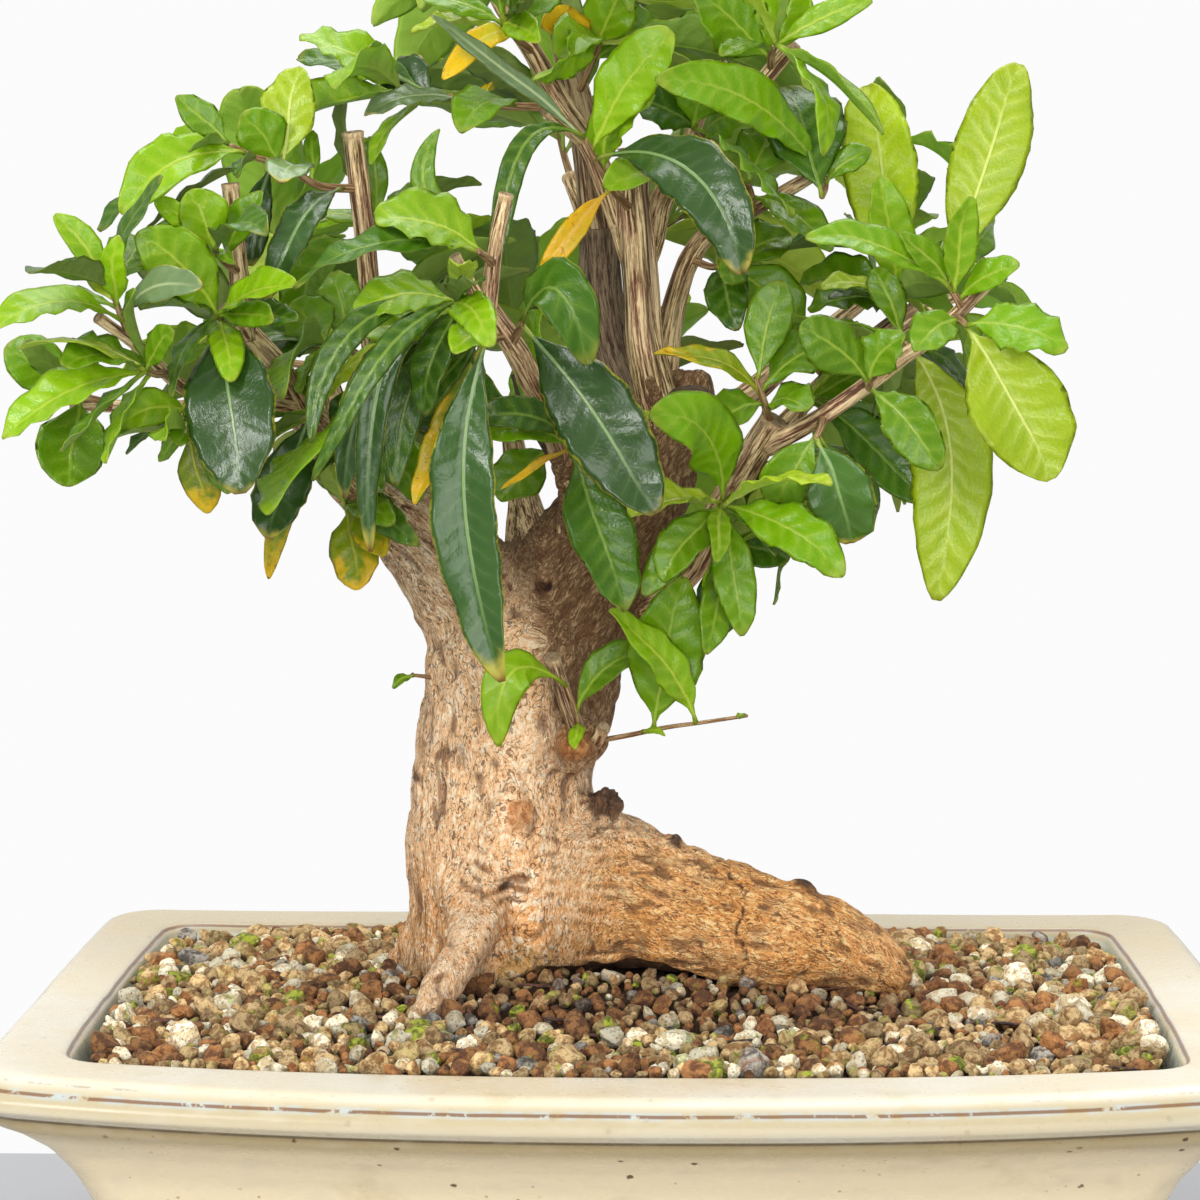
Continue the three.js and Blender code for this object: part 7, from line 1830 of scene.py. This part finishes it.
def leaf_finish(tone):
    """A leaf: glossy above with a pale midrib and side veins, dull and paler beneath, lit through."""
    _, colour_of_face, colour_of_veins, age = TONES[tone]
    kind = OLD_LEAF if tone in OLD_TONES else LIME_LEAF if tone == "lime" else GREEN_LEAF
    veil, side_veins, middle_vein, edging, wear, polish, depth, through_share = kind
    f = Finish(f"Leaf {tone}")
    run, across, under = f.parts(f.read("blade_place"))
    s, c, chance = f.parts(f.read("blade_share"))
    flat = f.join(run, across, chance * 50.0)
    aside = abs(across)
    edge = abs(c)
    mottle = f.noise(flat, 0.16, 2.0, 0.6)
    fine = f.noise(flat, 1.1, 2.0, 0.6)
    # side veins leave the midrib by turns and curve towards the tip
    turns = f.math("SIGN", across) * 0.27
    phase = run / VEIN_SPACING - aside * VEIN_SLANT + aside * aside * 0.006 + turns + (mottle - 0.5) * 0.9
    near = abs(f.math("FRACT", phase) - 0.5)
    veins = f.step(near, 0.09, 0.015) * f.step(aside, 8.0, 1.0) * f.step(edge, 1.0, 0.6)
    midrib_line = f.step(aside, 0.55, 0.2) * f.step(s, 1.02, 0.5)
    bright = 0.78 + chance * 0.44 + (mottle - 0.5) * 0.5
    darker = (colour_of_face[0] * 0.66, colour_of_face[1] * 0.74, colour_of_face[2] * 0.8)
    colour = f.blend(f.step(mottle, 0.4, 0.66) * 0.6, colour_of_face, darker)
    colour = f.shade(colour, bright)
    soft = f.step(near, 0.42, 0.1) * f.step(aside, 9.0, 1.0)
    colour = f.blend(soft * veil, colour, colour_of_veins)
    colour = f.blend(veins * side_veins, colour, colour_of_veins)
    colour = f.blend(midrib_line * middle_vein, colour, colour_of_veins)
    colour = f.blend(f.step(s, 0.03, 0.0) * 0.8, colour, paint(160, 176, 60))
    ragged = f.noise(flat, 0.5, 2.0, 0.7)
    margin = f.step(edge + (ragged - 0.5) * 0.16, 0.93, 1.0)
    colour = f.blend(margin * edging, colour, paint(196, 190, 60))
    wander = (f.noise(flat, 0.22, 2.0, 0.65) - 0.5) * 1.2
    worn = f.step(s + edge * 0.04 + wander * 0.1 + chance * 0.07, 0.97, 1.05)
    tip_colour = f.blend(f.step(s, 0.95, 1.0), paint(190, 178, 66), paint(140, 92, 48))
    colour = f.blend(worn * wear, colour, tip_colour)
    if age:
        yellow = f.step(s * 1.1 + edge * 0.3 + wander, 1.0 - 0.8 * age, 1.4 - 0.8 * age)
        gold = f.blend(f.step(mottle, 0.4, 0.62), paint(238, 190, 26), paint(214, 186, 36))
        colour = f.blend(yellow * 0.92, colour, gold)
        brown = f.step(ragged, 0.6, 0.68) * yellow
        colour = f.blend(brown * 0.7, colour, paint(150, 84, 30))
    spots = f.step(f.cells(flat, 0.26) + (fine - 0.5) * 0.1, 0.1, 0.05) * f.step(mottle, 0.5, 0.58)
    colour = f.blend(spots * 0.6, colour, paint(120, 84, 34))
    pale = f.blend(0.5, colour, paint(170, 188, 104))
    colour = f.blend(under, colour, pale)
    rough = polish + fine * 0.12 + under * 0.3 + worn * 0.2
    quilt = f.math("COSINE", (phase - 0.5) * 6.2832)
    height = fine * 0.6 - quilt * 0.22 - midrib_line * 0.5
    normal = f.relief(height, depth, 0.7)
    shader = f.surface(colour, rough, normal, 0.45)
    through = tuple(min(v * k, 1) for v, k in zip(colour_of_face, (2.0, 1.9, 0.5)))
    glow = f.output("ShaderNodeBsdfTranslucent", {}, {"Color": solid(through)})
    return f.done(f.output("ShaderNodeMixShader", {}, {0: through_share, 1: shader, 2: glow}))


def twig_finish():
    """A brown twig with pale strips."""
    f = Finish("Twig bark")
    grain = f.read("blade_place")
    strip = f.noise(f.stretch(grain, (1, 1, 0.08)), 1.6, 3.0, 0.6)
    colour = f.blend(f.step(strip, 0.42, 0.6), paint(120, 84, 50), paint(188, 156, 112))
    return f.done(f.surface(colour, 0.7, f.relief(strip, 0.0005)))


# ---- stage ----

CAMERA_LENS = 98.8
CAMERA_PLACE = (0.0154, -0.851, 0.2777)  # in metres
CAMERA_TIP = 84.05  # degrees up from straight down
CAMERA_TURN = 1.58
TABLE_FRONT = -1500.0
TABLE_HALF_WIDTH = 1600.0
TABLE_THICKNESS = 30.0
TABLE_GAP = 0.05  # the table lies this far under the feet
TREE_MIDDLE = (0.0, 0.0, 0.18)  # in metres, as the lights' places and sizes
# each light: its name, place, size, and its power as a share of the main light's
LIGHTS = [
    ("Key", (-0.7, -1.0, 0.95), 0.55, 1.0),
    ("Front", (0.25, -1.45, 0.42), 1.0, 0.75),
    ("Right", (1.0, -0.55, 0.6), 0.8, 0.3),
    ("Top", (0.1, 0.35, 1.2), 0.8, 0.5),
]


def stage_world(settings):
    """Soft white light all round, brightest behind the tree."""
    f = Finish("Studio", "worlds")
    bpy.context.scene.world = f.owner
    _, back, up = f.parts(f.output("ShaderNodeTexCoord", {}, {}, "Generated"))
    behind = f.step(back, 0.72, 0.93)
    above = f.step(up, 0.0, 0.9)
    strength = (settings.fill + above * 0.25) * (1 - behind) + behind * settings.back
    sockets = {"Color": solid((1, 1, 1)), "Strength": strength}
    light = f.output("ShaderNodeBackground", {}, sockets)
    f.node("ShaderNodeOutputWorld", {}, {"Surface": light})


def stage_floor(settings):
    """A plain pale table that ends not far behind the pot."""
    near, far, half = TABLE_FRONT, settings.table_back, TABLE_HALF_WIDTH
    corners = [(-half, near), (half, near), (half, far), (-half, far)]
    points = np.array([[x, y, z - TABLE_GAP] for z in (0.0, -TABLE_THICKNESS) for x, y in corners])
    faces = np.array([[0, 1, 2, 3], [7, 6, 5, 4], [4, 5, 1, 0], [5, 6, 2, 1], [6, 7, 3, 2], [7, 4, 0, 3]])
    mesh = mesh_of("table", points, [faces])
    shade_faces(mesh, False)
    f = Finish("Pale table")
    mesh.materials.append(f.done(f.surface(tuple(settings.table_colour), 0.55)))
    table = put("table", mesh)


def stage_light(name, place, size, power):
    """A square soft light turned to the tree's middle."""
    data = bpy.data.lights.new(name, "AREA")
    data.size = size
    data.energy = power
    lamp = put(name, data)
    lamp.location = place
    aim = unit(np.array(TREE_MIDDLE) - np.array(place))
    lamp.rotation_euler = (math.acos(-aim[2]), 0, math.pi - math.atan2(aim[0], -aim[1]))


def stage_camera():
    """The camera in front of the tree, a little above its middle and tipped down."""
    data = bpy.data.cameras.new("Camera")
    data.lens = CAMERA_LENS
    data.sensor_width = 36
    data.clip_start = 0.01
    data.clip_end = 50
    camera = put("Camera", data)
    camera.location = CAMERA_PLACE
    camera.rotation_euler = (math.radians(CAMERA_TIP), 0, math.radians(CAMERA_TURN))
    bpy.context.scene.camera = camera


# ---- add-on ----


def colour_setting(name, about, chart):
    return FloatVectorProperty(name=name, description=about, subtype="COLOR", size=3, default=paint(*chart),
                               min=0, max=1)


class PotSettings(bpy.types.PropertyGroup):
    """Colours of the pot's glaze."""

    body_colour: colour_setting("Glaze", "Main colour of the rim's glaze", (217, 210, 193))
    warm_colour: colour_setting("Warm glaze", "Colour where the glaze lies thicker", (216, 203, 174))
    wall_colour: colour_setting("Wall glaze", "Colour of the glaze on the wall", (236, 219, 183))
    edge_colour: colour_setting("Edges", "Colour where the glaze breaks over an edge", (122, 88, 60))
    clay_colour: colour_setting("Clay", "Colour of the bare clay under the feet", (140, 96, 66))


class SoilSettings(bpy.types.PropertyGroup):
    """How many lumps cover the soil, and its colour."""

    lump_count: IntProperty(name="Lumps", description="Most lumps on the soil", default=2700, min=200,
                            max=4000)
    crumb_colour: colour_setting("Fine soil", "Colour of the soil between the lumps", (70, 42, 24))


class WoodSettings(bpy.types.PropertyGroup):
    """Colours of the bark and how fine its skin is."""

    skin_step: FloatProperty(name="Skin step", description="Size of the old bark's faces, in millimetres",
                             default=0.85, min=0.7, max=3.0)
    tan_colour: colour_setting("Tan bark", "Main colour of the old bark", (253, 203, 150))
    pale_colour: colour_setting("Pale bark", "Colour of the bark's pale streaks", (255, 240, 210))
    brown_colour: colour_setting("Brown bark", "Colour between the old bark's flakes", (164, 100, 46))
    root_colour: colour_setting("Root", "Colour of the long root", (232, 160, 82))
    dark_colour: colour_setting("Dark bark", "Colour of the right limb's shaded side", (112, 80, 46))
    young_colour: colour_setting("Young bark", "Main colour of the branches", (192, 160, 112))
    strip_colour: colour_setting("Strips", "Colour of the young bark's pale strips", (253, 226, 176))


class LeafSettings(bpy.types.PropertyGroup):
    """Size of the leaves' details."""

    thickness: FloatProperty(name="Thickness", description="Thickness of a blade, in millimetres",
                             default=0.5, min=0.2, max=1.2)
    wave: FloatProperty(name="Waves", description="How far a blade's edges wave, in millimetres",
                        default=0.95, min=0.0, max=2.5)


class StageSettings(bpy.types.PropertyGroup):
    """The table and the studio light."""

    table_colour: colour_setting("Table", "Colour of the table", (161, 162, 165))
    table_back: FloatProperty(name="Table's back", description="Where the table ends behind the pot",
                              default=146.0, min=130.0, max=5000.0)
    fill: FloatProperty(name="Fill light", description="Brightness of the light all round", default=0.5,
                        min=0.0)
    back: FloatProperty(name="Back light", description="Brightness of what is seen behind the tree",
                        default=0.97, min=0.0)
    key: FloatProperty(name="Key light", description="Power of the main light", default=19.6, min=0.0,
                       subtype="POWER", unit="POWER")


class BONSAI_OT_pot(bpy.types.Operator):
    """Makes the glazed pot and dresses the drain screens"""

    bl_idname = "bonsai.pot"
    bl_label = "Pot"

    def execute(self, context):
        mesh, marks = pot_mesh()
        mesh.materials.append(glaze_finish(context.scene.bonsai_pot, marks))
        add_piece("glazed_pot", mesh, "pot")
        plastic = plastic_finish()
        for node in ("drain_screen_left", "drain_screen_right"):
            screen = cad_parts[node]
            screen.data.materials.clear()
            screen.data.materials.append(plastic)
        return {"FINISHED"}


class BONSAI_OT_soil(bpy.types.Operator):
    """Fills the pot with fine soil and spreads lumps over it"""

    bl_idname = "bonsai.soil"
    bl_label = "Soil"

    def execute(self, context):
        settings = context.scene.bonsai_soil
        mesh = soil_mesh()
        mesh.materials.append(crumb_finish(settings))
        add_piece("fine_soil", mesh, "soil")
        for mesh, (name, _, *looks) in zip(lump_meshes(settings), LUMP_KINDS):
            mesh.materials.append(lump_finish(name, *looks))
            add_piece(name, mesh, "soil")
        return {"FINISHED"}


class BONSAI_OT_wood(bpy.types.Operator):
    """Grows the trunk with its roots and great limbs, and the branches"""

    bl_idname = "bonsai.wood"
    bl_label = "Trunk and branches"

    def execute(self, context):
        settings = context.scene.bonsai_wood
        mesh = trunk_mesh(settings)
        mesh.materials.append(bark_finish(settings))
        add_piece("old_wood", mesh, "trunk")
        mesh = branch_mesh()
        mesh.materials.append(branch_finish(settings))
        add_piece("young_wood", mesh, "trunk")
        return {"FINISHED"}


class BONSAI_OT_leaves(bpy.types.Operator):
    """Grows every shoot with its leaves"""

    bl_idname = "bonsai.leaves"
    bl_label = "Leaves"

    def execute(self, context):
        finishes = {tone: leaf_finish(tone) for tone in TONES}
        finishes["twig"] = twig_finish()
        twigs, blades = grown_shoots()
        for owner, (name, _, _, _) in enumerate(SHOOTS):
            rng = np.random.default_rng(300 + owner)
            mesh, used = shoot_mesh(name, twigs[owner], blades[owner], context.scene.bonsai_leaves, rng)
            for finish in used:
                mesh.materials.append(finishes[finish])
            tones = [blade["tone"] for blade in blades[owner]]
            main = max(dict.fromkeys(tones), key=tones.count)
            add_piece(f"leaves_{name}", mesh, f"shoot_{name}")
        return {"FINISHED"}


class BONSAI_OT_stage(bpy.types.Operator):
    """Sets up the table, the studio light and the camera"""

    bl_idname = "bonsai.stage"
    bl_label = "Table, light and camera"

    def execute(self, context):
        settings = context.scene.bonsai_stage
        context.scene.view_settings.view_transform = "Standard"
        stage_world(settings)
        stage_floor(settings)
        for name, place, size, share in LIGHTS:
            stage_light(name, place, size, settings.key * share)
        stage_camera()
        return {"FINISHED"}


class BONSAI_PT_panel(bpy.types.Panel):
    """The bonsai's pieces and their settings"""

    bl_label = "Pomegranate bonsai"
    bl_space_type = "VIEW_3D"
    bl_region_type = "UI"
    bl_category = "Bonsai"

    def draw(self, context):
        for operator, group in PARTS:
            self.layout.operator(operator.bl_idname)
            settings = getattr(context.scene, group)
            for name in type(settings).__annotations__:
                self.layout.prop(settings, name)


PARTS = [
    (BONSAI_OT_pot, "bonsai_pot"),
    (BONSAI_OT_soil, "bonsai_soil"),
    (BONSAI_OT_wood, "bonsai_wood"),
    (BONSAI_OT_leaves, "bonsai_leaves"),
    (BONSAI_OT_stage, "bonsai_stage"),
]
SETTINGS = {
    "bonsai_pot": PotSettings,
    "bonsai_soil": SoilSettings,
    "bonsai_wood": WoodSettings,
    "bonsai_leaves": LeafSettings,
    "bonsai_stage": StageSettings,
}
CLASSES = [*SETTINGS.values(), *(operator for operator, _ in PARTS), BONSAI_PT_panel]


def register():
    for each in CLASSES:
        bpy.utils.register_class(each)
    for name, group in SETTINGS.items():
        setattr(bpy.types.Scene, name, PointerProperty(type=group))


def unregister():
    for name in SETTINGS:
        delattr(bpy.types.Scene, name)
    for each in reversed(CLASSES):
        bpy.utils.unregister_class(each)


def main():
    register()
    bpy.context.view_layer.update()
    bpy.ops.bonsai.pot()
    bpy.ops.bonsai.soil()
    bpy.ops.bonsai.wood()
    bpy.ops.bonsai.leaves()
    bpy.ops.bonsai.stage()
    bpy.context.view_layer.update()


if __name__ == "__main__":
    main()
